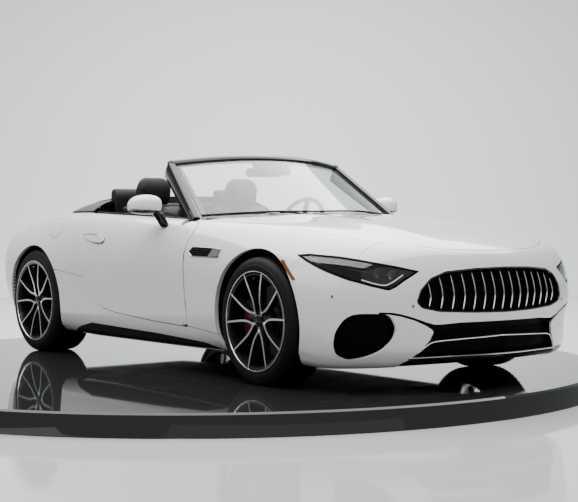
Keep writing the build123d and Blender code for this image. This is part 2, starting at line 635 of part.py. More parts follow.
# ---------------------------------------------------------------- chassis
BOOT_FLOOR_Z = 370.0
BOOT_TUB_X = 455.0
BOOT_REAR_Y = 2140.0
BOOT_TUB_TOP = 860.0
TUB_WALL = 15.0
TUNNEL_HALF_WIDTH = 130.0
TUNNEL_TOP = 330.0
SILL_BOX_X = (700.0, 785.0)
SILL_BOX_TOP = 350.0
RAIL_TOP = 340.0
FLOOR_LOW = 160.0
RAIL_FRONT_Y = -2120.0
REAR_RAIL_LOW = 200.0
CROSS_BEAMS_Y = (-1900.0, -1180.0)
CROSS_BEAM_WIDTH, CROSS_BEAM_TOP = 80.0, 260.0
UNDERTRAY_TOP = 280.0
SHELF_Z = 850.0
CABIN_HALF_WIDTH = 785.0
CABIN_FLOOR_Z = 176.0
BELT_Z = 930.0

with BuildPart() as frame_rails:
    for side in (-1, 1):
        x0, x1 = sorted(side * v for v in SILL_BOX_X)
        add(box_between((x0, FIREWALL_Y, FLOOR_LOW + 10), (x1, BULKHEAD_Y, SILL_BOX_TOP)))
        x0, x1 = sorted(side * v for v in (RAIL_X - RAIL_WIDTH / 2, RAIL_X + RAIL_WIDTH / 2))
        add(box_between((x0, RAIL_FRONT_Y, FLOOR_LOW + 10), (x1, FIREWALL_Y + WALL, RAIL_TOP)))
        add(box_between((x0, BULKHEAD_Y, REAR_RAIL_LOW), (x1, BOOT_REAR_Y, BOOT_FLOOR_Z - TUB_WALL)))
    add(box_between((-TUNNEL_HALF_WIDTH, FIREWALL_Y, FLOOR_LOW),
                    (TUNNEL_HALF_WIDTH, BULKHEAD_Y, TUNNEL_TOP)))
    for beam_y in CROSS_BEAMS_Y:
        add(box_between((-RAIL_X, beam_y - CROSS_BEAM_WIDTH / 2, FLOOR_LOW + 10),
                        (RAIL_X, beam_y + CROSS_BEAM_WIDTH / 2, CROSS_BEAM_TOP)))
    add(core, mode=Mode.INTERSECT)
with BuildPart() as underbody:
    add(skin)
    add(box_between((-SILL_FOOT_X, BUMPER_ARCH[0], 0), (SILL_FOOT_X, REAR_BUMPER_ARCH_Y, UNDERTRAY_TOP)),
        mode=Mode.INTERSECT)
    add(frame_rails.part)
write(underbody.part, "underbody")

A_POST_Y = (-735.0, -668.0)
A_POST_OUTER_X = 885.0
A_POST_FOOT_Z = 300.0
COWL_SHELF_END_Y = -470.0
B_POST_OUTER_X = 930.0
B_POST_FOOT_Z = 620.0
with BuildPart() as firewall:
    add(box_between((-CABIN_HALF_WIDTH, FIREWALL_Y - WALL, SILL_BOX_TOP),
                    (CABIN_HALF_WIDTH, FIREWALL_Y, SHELF_Z)))
    add(box_between((-CABIN_HALF_WIDTH, FIREWALL_Y - WALL, SHELF_Z - 20),
                    (CABIN_HALF_WIDTH, COWL_SHELF_END_Y, SHELF_Z)))
    for side in (-1, 1):
        x0, x1 = sorted(side * v for v in (CABIN_HALF_WIDTH - 20, A_POST_OUTER_X))
        add(box_between((x0, A_POST_Y[0], A_POST_FOOT_Z), (x1, A_POST_Y[1], SHELF_Z)))
    add(core, mode=Mode.INTERSECT)
    add(underbody.part, mode=Mode.SUBTRACT)
    add(wheelhouses.part, mode=Mode.SUBTRACT)
write(firewall.part, "firewall")

with BuildPart() as rear_bulkhead:
    add(box_between((-CABIN_HALF_WIDTH, BULKHEAD_Y, CABIN_FLOOR_Z),
                    (CABIN_HALF_WIDTH, BULKHEAD_Y + WALL, BELT_Z)))
    for side in (-1, 1):
        x0, x1 = sorted(side * v for v in (CABIN_HALF_WIDTH - 20, B_POST_OUTER_X))
        add(box_between((x0, BULKHEAD_Y, B_POST_FOOT_Z), (x1, BULKHEAD_Y + WALL, BELT_Z)))
    add(core, mode=Mode.INTERSECT)
    add(underbody.part, mode=Mode.SUBTRACT)
write(rear_bulkhead.part, "rear_bulkhead")

with BuildPart() as boot_tub:
    add(box_between((-BOOT_TUB_X, BULKHEAD_Y + WALL, BOOT_FLOOR_Z - TUB_WALL),
                    (BOOT_TUB_X, BOOT_REAR_Y, BOOT_TUB_TOP)))
    add(box_between((-BOOT_TUB_X + TUB_WALL, BULKHEAD_Y + WALL + TUB_WALL, BOOT_FLOOR_Z),
                    (BOOT_TUB_X - TUB_WALL, BOOT_REAR_Y - TUB_WALL, BOOT_TUB_TOP + 1)), mode=Mode.SUBTRACT)
write(boot_tub.part, "boot_tub")

# ---------------------------------------------------------------- cowl and windscreen
SCREEN_BASE = [(-774.0, -525.0, 925.0), (0, -848.0, 948.0), (774.0, -525.0, 925.0)]
SCREEN_TOP = [(-650.0, -30.0, 1288.0), (0, -160.0, 1330.0), (650.0, -30.0, 1288.0)]
GLASS = 5.0
PILLAR_WIDTH, PILLAR_DEPTH = 46.0, 40.0
COWL_POCKET_Z = 893.0
COWL_POCKET_HALF = 37.0
# plan, (x, y): the cowl's front edge under the bonnet and its rear edge under the glass, half of each
COWL_FRONT = [(0, -872.0), (520.0, -782.0), (785.0, -650.0), (785.0, -480.0)]
COWL_REAR = [(0, -800.0), (500.0, -700.0), (786.0, -479.0), (900.0, 0)]
with BuildPart() as cowl:
    add(core)
    add(plan_region(COWL_FRONT + [left_of(p) for p in COWL_FRONT[:0:-1]], SHELF_Z), mode=Mode.INTERSECT)
    add(plan_region(COWL_REAR + [left_of(p) for p in COWL_REAR[:0:-1]], SHELF_Z), mode=Mode.SUBTRACT)
    for side in (-1, 1):
        ends = (BONNET_HINGE_X - COWL_POCKET_HALF, BONNET_HINGE_X + COWL_POCKET_HALF)
        x0, x1 = sorted(side * v for v in ends)
        add(box_between((x0, -REACH, COWL_POCKET_Z), (x1, BONNET_HINGE[0] + 20, REACH)), mode=Mode.SUBTRACT)
write(cowl.part, "cowl")


def screen_section(arc):
    """The glass's cut along one arc, as a thin curved face in the arc's own plane."""
    left_end, middle, right_end = (Vector(*point) for point in arc)
    centre = (left_end + right_end) * 0.5
    chord, bow = right_end - left_end, middle - centre
    plane = Plane(origin=centre, x_dir=chord, z_dir=chord.cross(bow))
    half, rise = chord.length / 2, bow.length
    with BuildSketch(plane) as section:
        with BuildLine():
            ThreePointArc((-half, 0), (0, rise), (half, 0))
            Line((half, 0), (half - GLASS / 2, -GLASS))
            ThreePointArc((half - GLASS / 2, -GLASS), (0, rise - GLASS), (GLASS / 2 - half, -GLASS))
            Line((GLASS / 2 - half, -GLASS), (-half, 0))
        make_face()
    return section.sketch


pillar_foot, pillar_top = Vector(*SCREEN_BASE[2]), Vector(*SCREEN_TOP[2])
with BuildPart() as screen_frame:
    for side in (-1, 1):
        foot = Vector(side * pillar_foot.X, pillar_foot.Y, pillar_foot.Z)
        top = Vector(side * pillar_top.X, pillar_top.Y, pillar_top.Z)
        with BuildSketch(Plane(origin=foot, z_dir=top - foot)):
            Rectangle(PILLAR_DEPTH, PILLAR_WIDTH)
        extrude(amount=(top - foot).length + PILLAR_DEPTH / 2)
    with BuildLine() as header_path:
        ThreePointArc(*SCREEN_TOP)
    with BuildSketch(Plane(origin=header_path.line @ 0, z_dir=header_path.line % 0)):
        Rectangle(PILLAR_DEPTH, PILLAR_DEPTH)
    sweep(path=header_path.line)
    add(cowl.part, mode=Mode.SUBTRACT)
    add(firewall.part, mode=Mode.SUBTRACT)
write(screen_frame.part, "windscreen_frame")
with BuildPart() as glass:
    add(screen_section(SCREEN_BASE))
    add(screen_section(SCREEN_TOP))
    loft(ruled=True)
    add(screen_frame.part, mode=Mode.SUBTRACT)
    add(cowl.part, mode=Mode.SUBTRACT)
write(glass.part, "windscreen_glass")

# ---------------------------------------------------------------- wheels
def wheel_plane(wheel_x, axle_y):
    """Plane through a wheel's axis, with X along the axis and Y up."""
    return Plane(origin=(wheel_x, axle_y, AXLE_Z), x_dir=(1, 0, 0), z_dir=(0, -1, 0))

BEAD_INSET, BULGE_RADIUS, SHOULDER = 12.0, 305.0, 26.0  # of a tyre's section


def make_tyre(wheel_x, axle_y, width):
    """A tyre as a turned ring with a flat tread and straight-sided shoulders."""
    half = width / 2
    with BuildPart() as tyre:
        with BuildSketch(wheel_plane(wheel_x, axle_y)):
            with BuildLine():
                Polyline((-half + BEAD_INSET, BEAD_RADIUS), (-half, BULGE_RADIUS),
                         (-half + SHOULDER, TYRE_RADIUS), (half - SHOULDER, TYRE_RADIUS),
                         (half, BULGE_RADIUS), (half - BEAD_INSET, BEAD_RADIUS), close=True)
            make_face()
        revolve(axis=Axis((wheel_x, axle_y, AXLE_Z), (1, 0, 0)))
    return tyre.part


def make_wheel(wheel_x, axle_y, width):
    """A rim with five forked spokes and its brake disc, with the outer face towards +X."""
    half = width / 2
    face_x = wheel_x + half - FACE_INSET
    axis = Axis((wheel_x, axle_y, AXLE_Z), (1, 0, 0))
    with BuildPart() as wheel:
        with BuildSketch(wheel_plane(wheel_x, axle_y)):
            with BuildLine():
                flange = half - RIM_FLANGE
                Polyline((-half, RIM_RADIUS), (-flange, RIM_RADIUS), (-flange, BEAD_RADIUS),
                         (flange, BEAD_RADIUS), (flange, RIM_RADIUS), (half, RIM_RADIUS),
                         (half, BARREL_RADIUS), (-half, BARREL_RADIUS), close=True)
            make_face()
        revolve(axis=axis)
        with BuildSketch(Plane.YZ.offset(face_x - SPOKE_DEPTH)):
            with Locations((axle_y, AXLE_Z)):
                Circle(HUB_RADIUS)
                with PolarLocations(0, SPOKE_COUNT, start_angle=90):
                    for fork in (-1, 1):
                        with Locations(Rotation(0, 0, fork * SPOKE_FORK)):
                            with Locations(((BARREL_RADIUS + 4) / 2, fork * SPOKE_OFFSET)):
                                Rectangle(BARREL_RADIUS, SPOKE_WIDTH)
        extrude(amount=SPOKE_DEPTH)
        add(x_cylinder((axle_y, AXLE_Z), HUB_RADIUS, wheel_x + HUB_BACK, face_x - 5))
        add(x_cylinder((axle_y, AXLE_Z), DISC_RADIUS, wheel_x + DISC_BACK, wheel_x + DISC_BACK + DISC_WIDTH))
        add(x_cylinder((axle_y, AXLE_Z), HUB_RADIUS - 5, wheel_x + DISC_BACK, wheel_x + HUB_BACK))
        add(x_cylinder((axle_y, AXLE_Z), STUB_RADIUS + RUNNING_CLEARANCE, wheel_x - half,
                       wheel_x + half - STUB_END), mode=Mode.SUBTRACT)
    return wheel.part


tyre_front = make_tyre(FRONT_WHEEL_X, FRONT_AXLE_Y, FRONT_TYRE_WIDTH)
tyre_rear = make_tyre(REAR_WHEEL_X, REAR_AXLE_Y, REAR_TYRE_WIDTH)
write_pair(tyre_front, "tyre_front")
write_pair(tyre_rear, "tyre_rear")
wheel_front = make_wheel(FRONT_WHEEL_X, FRONT_AXLE_Y, FRONT_TYRE_WIDTH)
wheel_rear = make_wheel(REAR_WHEEL_X, REAR_AXLE_Y, REAR_TYRE_WIDTH)
write_pair(wheel_front, "wheel_front")
write_pair(wheel_rear, "wheel_rear")


def make_caliper(wheel_x, axle_y, side):
    """A brake caliper over one side of a disc, with its bracket; side is +1 behind the axle."""
    disc_from = wheel_x + DISC_BACK
    with BuildPart() as caliper:
        with BuildSketch(Plane.YZ.offset(disc_from - CALIPER_REACH)):
            with Locations((axle_y, AXLE_Z)):
                Circle(DISC_RADIUS + CALIPER_REACH)
                Circle(DISC_RADIUS - CALIPER_DEPTH, mode=Mode.SUBTRACT)
            with BuildLine():
                fan_y = axle_y + side * 1.5 * DISC_RADIUS
                Polyline((axle_y, AXLE_Z), (fan_y, AXLE_Z + CALIPER_FAN), (fan_y, AXLE_Z - CALIPER_FAN),
                         close=True)
            make_face(mode=Mode.INTERSECT)
        extrude(amount=DISC_WIDTH + 2 * CALIPER_REACH)
        add(x_cylinder((axle_y, AXLE_Z), DISC_RADIUS + CALIPER_GAP, disc_from - CALIPER_GAP,
                       disc_from + DISC_WIDTH + CALIPER_GAP), mode=Mode.SUBTRACT)
    return caliper.part


def make_upright(inner_x, wheel_x, axle_y, end_x, side, half_height):
    """A hub carrier with its stub axle and the brake caliper bolted to it."""
    disc_from = wheel_x + DISC_BACK
    with BuildPart() as upright:
        add(box_between((inner_x, axle_y - UPRIGHT_HALF_DEPTH, AXLE_Z - half_height),
                        (disc_from - 8, axle_y + UPRIGHT_HALF_DEPTH, AXLE_Z + half_height)))
        y0, y1 = sorted((axle_y, axle_y + side * (DISC_RADIUS - 35)))
        add(box_between((inner_x + 10, y0, AXLE_Z - 45), (disc_from - 8, y1, AXLE_Z + 45)))
        add(x_cylinder((axle_y, AXLE_Z), STUB_RADIUS, disc_from - 10, end_x))
        add(make_caliper(wheel_x, axle_y, side))
    return upright.part


knuckle_inner = KINGPIN_X - 24
front_stub_end = FRONT_WHEEL_X + FRONT_TYRE_WIDTH / 2 - STUB_END - END_CLEARANCE
with BuildPart() as knuckle:
    add(make_upright(knuckle_inner, FRONT_WHEEL_X, FRONT_AXLE_Y, front_stub_end, 1, KNUCKLE_HALF_HEIGHT))
    with BuildSketch(Plane.XY.offset(AXLE_Z - KNUCKLE_HALF_HEIGHT)):
        with Locations((KINGPIN_X, FRONT_AXLE_Y)):
            Circle(KINGPIN_RADIUS + RUNNING_CLEARANCE)
    extrude(amount=2 * KNUCKLE_HALF_HEIGHT, mode=Mode.SUBTRACT)
write_pair(knuckle.part, "front_knuckle")

TOWER_X = (380.0, 462.0)
TOWER_LOW, TOWER_HALF_LENGTH = 200.0, 170.0


def make_arm(axle_y, z, eye_x, root_x, pin_to):
    """A wishbone from the tower to the eye at the kingpin, with its pin up or down to pin_to."""
    with BuildPart() as arm:
        with BuildSketch(Plane.XY.offset(z)):
            with BuildLine():
                Polyline((root_x, axle_y - ARM_ROOT), (root_x, axle_y + ARM_ROOT),
                         (eye_x, axle_y + KINGPIN_EYE), (eye_x, axle_y - KINGPIN_EYE), close=True)
            make_face()
            with Locations((eye_x, axle_y)):
                Circle(KINGPIN_EYE)
            with BuildLine():
                inner, outer_end = root_x + ARM_WINDOW_ROOT, eye_x - ARM_WINDOW_TIP
                Polyline((inner, axle_y - ARM_WINDOW), (inner, axle_y + ARM_WINDOW),
                         (outer_end, axle_y + ARM_WINDOW_NARROW), (outer_end, axle_y - ARM_WINDOW_NARROW),
                         close=True)
            make_face(mode=Mode.SUBTRACT)
        extrude(amount=ARM_THICKNESS)
        low, high = sorted((z + ARM_THICKNESS / 2, pin_to))
        with BuildSketch(Plane.XY.offset(low)):
            with Locations((eye_x, axle_y)):
                Circle(KINGPIN_RADIUS)
        extrude(amount=high - low)
    return arm.part


lower_arm_z = AXLE_Z - KNUCKLE_HALF_HEIGHT - SEAT_GAP - ARM_THICKNESS
upper_arm_z = AXLE_Z + KNUCKLE_HALF_HEIGHT + SEAT_GAP
PIN_DEPTH = 40.0
with BuildPart() as front_suspension_half:
    add(box_between((TOWER_X[0], FRONT_AXLE_Y - TOWER_HALF_LENGTH, TOWER_LOW),
                    (TOWER_X[1], FRONT_AXLE_Y + TOWER_HALF_LENGTH, upper_arm_z + 60)))
    pin_reach = KNUCKLE_HALF_HEIGHT - PIN_DEPTH
    add(make_arm(FRONT_AXLE_Y, lower_arm_z, KINGPIN_X, TOWER_X[1] - 10, AXLE_Z - pin_reach))
    add(make_arm(FRONT_AXLE_Y, upper_arm_z, KINGPIN_X, TOWER_X[1] - 10, AXLE_Z + pin_reach))
    add(underbody.part, mode=Mode.SUBTRACT)
write(both_sides(front_suspension_half.part), "front_suspension")

rear_stub_end = REAR_WHEEL_X + REAR_TYRE_WIDTH / 2 - STUB_END - END_CLEARANCE
rear_inner = REAR_WHEEL_X + DISC_BACK - 58
with BuildPart() as rear_suspension_half:
    add(make_upright(rear_inner, REAR_WHEEL_X, REAR_AXLE_Y, rear_stub_end, -1, KNUCKLE_HALF_HEIGHT))
    for z in (AXLE_Z - KNUCKLE_HALF_HEIGHT, AXLE_Z + KNUCKLE_HALF_HEIGHT - ARM_THICKNESS):
        add(box_between((BOOT_TUB_X, REAR_AXLE_Y - 30, z),
                        (rear_inner + 1, REAR_AXLE_Y + 30, z + ARM_THICKNESS)))
with BuildPart() as rear_cross:
    add(box_between((-BOOT_TUB_X - 5, REAR_AXLE_Y - 60, AXLE_Z - KNUCKLE_HALF_HEIGHT - 20),
                    (BOOT_TUB_X + 5, REAR_AXLE_Y + 60, BOOT_FLOOR_Z - TUB_WALL)))
    add(underbody.part, mode=Mode.SUBTRACT)
    for side in (-1, 1):
        x0, x1 = sorted(side * v for v in (BOOT_TUB_X, BOOT_TUB_X + 12))
        add(box_between((x0, REAR_AXLE_Y - 60, AXLE_Z - KNUCKLE_HALF_HEIGHT - 20),
                        (x1, REAR_AXLE_Y + 60, AXLE_Z + KNUCKLE_HALF_HEIGHT + 20)))
    add(rear_suspension_half.part)
    add(mirror(rear_suspension_half.part, about=Plane.YZ))
write(rear_cross.part, "rear_suspension")

LINER_WALL = 4.0
with BuildPart() as wheel_liner_half:
    for axle_y, radius in ((FRONT_AXLE_Y, FRONT_ARCH_RADIUS), (REAR_AXLE_Y, REAR_ARCH_RADIUS)):
        with BuildSketch(Plane.YZ.offset(ARCH_INNER_X)):
            with Locations((axle_y, AXLE_Z)):
                Circle(radius + LINER_WALL)
                Circle(radius, mode=Mode.SUBTRACT)
            with Locations((axle_y, 0)):
                Rectangle(2 * REACH, 2 * UNDERTRAY_TOP, mode=Mode.SUBTRACT)
        extrude(amount=REACH)
    add(core, mode=Mode.INTERSECT)
    add(firewall.part, mode=Mode.SUBTRACT)
    add(rear_bulkhead.part, mode=Mode.SUBTRACT)
    add(underbody.part, mode=Mode.SUBTRACT)
    add(boot_tub.part, mode=Mode.SUBTRACT)
write(both_sides(wheel_liner_half.part), "wheel_liners")

ENGINE_LOW, ENGINE_HIGH = (-270.0, -2000.0, 260.0), (270.0, -1080.0, 790.0)
with BuildPart() as engine:
    add(box_between(ENGINE_LOW, ENGINE_HIGH))
write(engine.part, "engine")

# ---------------------------------------------------------------- cabin
SEAT_X = 370.0
SEAT_WIDTH = 500.0
SEAT_BASE_TOP = 330.0
SEAT_BASE_Y = (60.0, 500.0)
SEAT_BASE_HALF = 190.0
CUSHION = [(20.0, SEAT_BASE_TOP + SEAT_GAP), (20.0, 490.0), (60.0, 515.0), (480.0, 470.0),
           (545.0 - SEAT_GAP, 440.0), (545.0 - SEAT_GAP, SEAT_BASE_TOP + SEAT_GAP)]
BACKREST = [(545.0, 340.0), (545.0, 480.0), (650.0, 1044.7), (745.0, 1044.7), (660.0, 400.0)]
HEADREST = [(640.0, 1000.0), (605.0, 1120.0), (630.0, 1195.0), (680.0, 1215.0), (725.0, 1190.0),
            (735.0, 1000.0)]
HEADREST_WIDTH = 290.0


def across(points, x_centre, width):
    """A side-view polygon extruded across the car round x_centre."""
    return side_region(points, x_centre - width / 2, x_centre + width / 2)


with BuildPart() as seat_base:
    add(box_between((SEAT_X - SEAT_BASE_HALF, SEAT_BASE_Y[0], CABIN_FLOOR_Z),
                    (SEAT_X + SEAT_BASE_HALF, SEAT_BASE_Y[1], SEAT_BASE_TOP)))
    add(underbody.part, mode=Mode.SUBTRACT)
write(both_sides(seat_base.part), "seat_bases")
with BuildPart() as cushion:
    add(across(CUSHION, SEAT_X, SEAT_WIDTH))
write_pair(cushion.part, "seat_cushion")
with BuildPart() as backrest:
    add(across(BACKREST, SEAT_X, SEAT_WIDTH))
    add(across(HEADREST, SEAT_X, HEADREST_WIDTH))
write_pair(backrest.part, "seat_back")

DASH = [(-830.0, 640.0), (-830.0, 900.0), (-700.0, 940.0), (-380.0, 940.0), (-285.0, 880.0), (-300.0, 780.0),
        (-430.0, 620.0)]
DASH_WIDTH = 1490.0
STEERING_CENTRE = (370.0, -60.0, 905.0)
DASH_EDGE = [(0, -950.0), (900.0, -950.0), (900.0, -480.0), (780.0, -480.0), (500.0, -700.0), (0, -800.0)]
STEERING_RADIUS = 185.0
STEERING_GRIP = 15.0
STEERING_TILT = 22.0
BOSS_RADIUS, BOSS_DEPTH, RIM_SPOKE_WIDTH = 70.0, 22.0, 38.0
COLUMN_RADIUS = 22.0
COLUMN_LENGTH = 330.0
wheel_face = Plane(origin=STEERING_CENTRE, x_dir=(1, 0, 0), z_dir=(0, 1, 0)).rotated((STEERING_TILT, 0, 0))
with BuildPart() as dashboard:
    add(across(DASH, 0, DASH_WIDTH))
    add(core, mode=Mode.INTERSECT)
    add(cowl.part, mode=Mode.SUBTRACT)
    add(firewall.part, mode=Mode.SUBTRACT)
    add(screen_frame.part, mode=Mode.SUBTRACT)
    add(glass.part, mode=Mode.SUBTRACT)
    add(plan_region(DASH_EDGE + [left_of(p) for p in DASH_EDGE[-2:0:-1]]), mode=Mode.SUBTRACT)
    with BuildSketch(wheel_face):
        Circle(COLUMN_RADIUS + RUNNING_CLEARANCE)
    extrude(amount=-COLUMN_LENGTH - 2, mode=Mode.SUBTRACT)
write(dashboard.part, "dashboard")

CONSOLE = [(-480.0, TUNNEL_TOP), (-420.0, 620.0), (-380.0, 620.0), (-150.0, 560.0), (520.0, 560.0),
           (540.0, 520.0), (540.0, TUNNEL_TOP)]
CONSOLE_WIDTH = 220.0
with BuildPart() as console:
    add(across(CONSOLE, 0, CONSOLE_WIDTH))
    add(dashboard.part, mode=Mode.SUBTRACT)
write(console.part, "centre_console")

with BuildPart() as steering_wheel:
    grip_centre = Vector(*STEERING_CENTRE) + wheel_face.x_dir * (STEERING_RADIUS - STEERING_GRIP)
    with BuildSketch(Plane(origin=grip_centre, x_dir=wheel_face.x_dir, z_dir=wheel_face.y_dir)):
        Circle(STEERING_GRIP)
    revolve(axis=Axis(STEERING_CENTRE, wheel_face.z_dir))
    with BuildSketch(wheel_face.offset(-BOSS_DEPTH / 2)):
        Circle(BOSS_RADIUS)
        Rectangle(2 * (STEERING_RADIUS - STEERING_GRIP), RIM_SPOKE_WIDTH)
        with Locations((0, (STEERING_RADIUS - STEERING_GRIP) / 2)):
            Rectangle(RIM_SPOKE_WIDTH, STEERING_RADIUS - STEERING_GRIP)
    extrude(amount=BOSS_DEPTH)
    with BuildSketch(wheel_face):
        Circle(COLUMN_RADIUS)
    extrude(amount=-COLUMN_LENGTH)
write(steering_wheel.part, "steering_wheel")

# ---------------------------------------------------------------- stowed top, hinges
TONNEAU = [(775.0, 925.0), (775.0, 1076.0), (1040.0, 1068.0), (1300.0, 1018.0), (1386.0, 998.0),
           (1386.0, 958.0), (1300.0, 950.0)]
TONNEAU_WIDTH = 1544.0
TONNEAU_FRONT = [(-772.0, 900.0), (-772.0, 985.0), (-600.0, 1084.0), (600.0, 1084.0), (772.0, 985.0),
                 (772.0, 900.0)]
with BuildPart() as tonneau:
    add(across(TONNEAU, 0, TONNEAU_WIDTH))
    add(plan_region(DECK_HOLE), mode=Mode.INTERSECT)
    add(front_region(TONNEAU_FRONT, 700.0, 1500.0), mode=Mode.INTERSECT)
    add(rear_bulkhead.part, mode=Mode.SUBTRACT)
write(tonneau.part, "tonneau_cover")

with BuildPart() as lid_hinges:
    for side in (-1, 1):
        add(hinge_pin(BONNET_HINGE, side * BONNET_HINGE_X, BONNET_HINGE[0], COWL_POCKET_Z))
        add(hinge_pin(BOOT_HINGE, side * BOOT_HINGE_X, 1386.0, BOOT_HINGE[1] - 12))
    add(tonneau.part, mode=Mode.SUBTRACT)
    add(cowl.part, mode=Mode.SUBTRACT)
write(lid_hinges.part, "lid_hinges")

with BuildPart() as door_hinge:
    for height in DOOR_HINGE_HEIGHTS:
        with BuildSketch(Plane.XY.offset(height - DOOR_ARM_HALF)):
            with BuildLine():
                (arm_in, arm_out), (pin_x, pin_y), eye = DOOR_ARM_X, DOOR_HINGE, DOOR_EYE_RADIUS
                Polyline((arm_in, A_POST_Y[1]), (arm_out, A_POST_Y[1]), (arm_out, pin_y - eye),
                         (pin_x, pin_y - eye), (pin_x, pin_y + eye), (arm_in, pin_y + eye), close=True)
            make_face()
            with Locations(DOOR_HINGE):
                Circle(DOOR_EYE_RADIUS)
        extrude(amount=2 * DOOR_ARM_HALF)
        with BuildSketch(Plane.XY.offset(height - DOOR_PIN_HALF)):
            with Locations(DOOR_HINGE):
                Circle(DOOR_PIN_RADIUS)
        extrude(amount=2 * DOOR_PIN_HALF)
write(both_sides(door_hinge.part), "door_hinges")
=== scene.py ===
"""Looks of a two-door roadster with its top stowed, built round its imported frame, in metres.

The front of the car faces -Y, +X is its left and +Z is up. Left-hand pieces are modelled first
and the right-hand ones are their mirror images.
"""

import logging
import math
from collections.abc import Callable, Iterable, Sequence
from dataclasses import dataclass, field
from enum import Enum

import bmesh
import bpy
from bmesh.types import BMEdge, BMesh, BMVert
from bpy.types import Material, Node, NodeTree, Object
from mathutils import Matrix, Vector
from mathutils.bvhtree import BVHTree


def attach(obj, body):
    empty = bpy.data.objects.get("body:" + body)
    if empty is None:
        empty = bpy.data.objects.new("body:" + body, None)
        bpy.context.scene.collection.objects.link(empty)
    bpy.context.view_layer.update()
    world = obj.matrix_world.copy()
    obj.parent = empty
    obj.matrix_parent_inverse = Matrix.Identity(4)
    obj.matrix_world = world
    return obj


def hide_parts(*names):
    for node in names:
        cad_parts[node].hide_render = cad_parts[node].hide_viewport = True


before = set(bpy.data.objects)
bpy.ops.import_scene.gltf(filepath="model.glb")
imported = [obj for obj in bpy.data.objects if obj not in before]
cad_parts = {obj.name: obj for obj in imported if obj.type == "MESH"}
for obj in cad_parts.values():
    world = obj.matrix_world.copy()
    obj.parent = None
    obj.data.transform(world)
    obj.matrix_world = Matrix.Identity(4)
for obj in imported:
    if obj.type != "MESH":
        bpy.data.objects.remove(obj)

LOG = logging.getLogger("roadster")
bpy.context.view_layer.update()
REACH = 3.0  # tools that cut right across the body reach this far
GAP = 0.005  # between a moving panel and its neighbours
PANEL = 0.026  # depth of an outer panel
FRONT_HUB = (0.806, -1.3375, 0.36)
REAR_HUB = (0.794, 1.3625, 0.36)
SHARP = 32.0  # edges sharper than this many degrees stay sharp, where a piece doesn't say otherwise
COAT_ROUGHNESS = 0.02
RELIEF_DEPTH = 0.001  # full height of a finish's small-scale relief
# how a column of the body runs from its crest down to the floor
SHOULDER_ANGLES = (62.0, 32.0)  # degrees up a quarter round that ends at the crest
LOWER_SHARE = 0.55  # of the way from the widest point to the sill
FLOOR_INSET = (0.85, 0.97)  # shares of the floor edge's x and y
# where a ray misses the body, it is taken to stand here
MISSED_END = 2.0
MISSED_SIDE = 0.9
SMOOTH_COSINE = 0.6  # a panel's face that turns further from the body than this keeps its own normals

Point2 = tuple[float, float]
Point3 = tuple[float, float, float]

# half of the deck's opening for the stowed top: half width and y
DECK_OPENING: tuple[Point2, ...] = ((0.77, 0.70), (0.762, 0.90), (0.74, 1.12), (0.70, 1.30), (0.64, 1.372),
                                    (0.57, 1.396))


class Axis(Enum):
    """Direction that an outline is extruded along, with the outline's own two axes."""

    X = "yz"
    Y = "xz"
    Z = "xy"


# ------------------------------------------------------------------ mesh helpers
def lay(axis: Axis, u: float, v: float, depth: float) -> Vector:
    """Returns the point whose outline coordinates are u and v, at a depth along the axis."""
    if axis is Axis.X:
        return Vector((depth, u, v))
    if axis is Axis.Y:
        return Vector((u, depth, v))
    return Vector((u, v, depth))


def prism(points: Sequence[Point2], axis: Axis, low: float, high: float, corner: float = 0.0,
          segments: int = 5) -> BMesh:
    """Makes a closed prism over an outline.

    Args:
        points: Outline, in the axis's own two coordinates.
        axis: Direction of the prism.
        low: Where it starts along the axis.
        high: Where it ends.
        corner: Setback of the rounding at each corner, or 0.
        segments: Steps in each rounding.

    Returns:
        The prism, with its faces outwards.
    """
    bm = bmesh.new()
    bm.faces.new([bm.verts.new(lay(axis, u, v, low)) for u, v in points])
    if corner:
        bmesh.ops.bevel(bm, geom=bm.verts[:], offset=corner, segments=segments, profile=0.5,
                        affect="VERTICES", material=-1, clamp_overlap=True)
    grown = bmesh.ops.extrude_face_region(bm, geom=bm.faces[:])["geom"]
    shift = lay(axis, 0, 0, high - low)
    bmesh.ops.translate(bm, vec=shift, verts=[g for g in grown if isinstance(g, BMVert)])
    bmesh.ops.recalc_face_normals(bm, faces=bm.faces[:])
    return bm


def rounded(bm: BMesh, edges: Sequence[BMEdge], offset: float, segments: int) -> BMesh:
    """Rounds the given edges of a mesh and returns the mesh."""
    bmesh.ops.bevel(bm, geom=edges, offset=offset, segments=segments, profile=0.5, affect="EDGES", material=-1,
                    clamp_overlap=True)
    return bm


def block(low: Point3, high: Point3, bevel: float = 0.0, segments: int = 3) -> BMesh:
    """Makes a box from its lowest to its highest corner, with its edges rounded by bevel."""
    bm = bmesh.new()
    bmesh.ops.create_cube(bm, size=1.0)
    size = Vector(high) - Vector(low)
    bmesh.ops.scale(bm, vec=size, verts=bm.verts[:])
    bmesh.ops.translate(bm, vec=(Vector(high) + Vector(low)) / 2, verts=bm.verts[:])
    return rounded(bm, bm.edges[:], bevel, segments) if bevel else bm


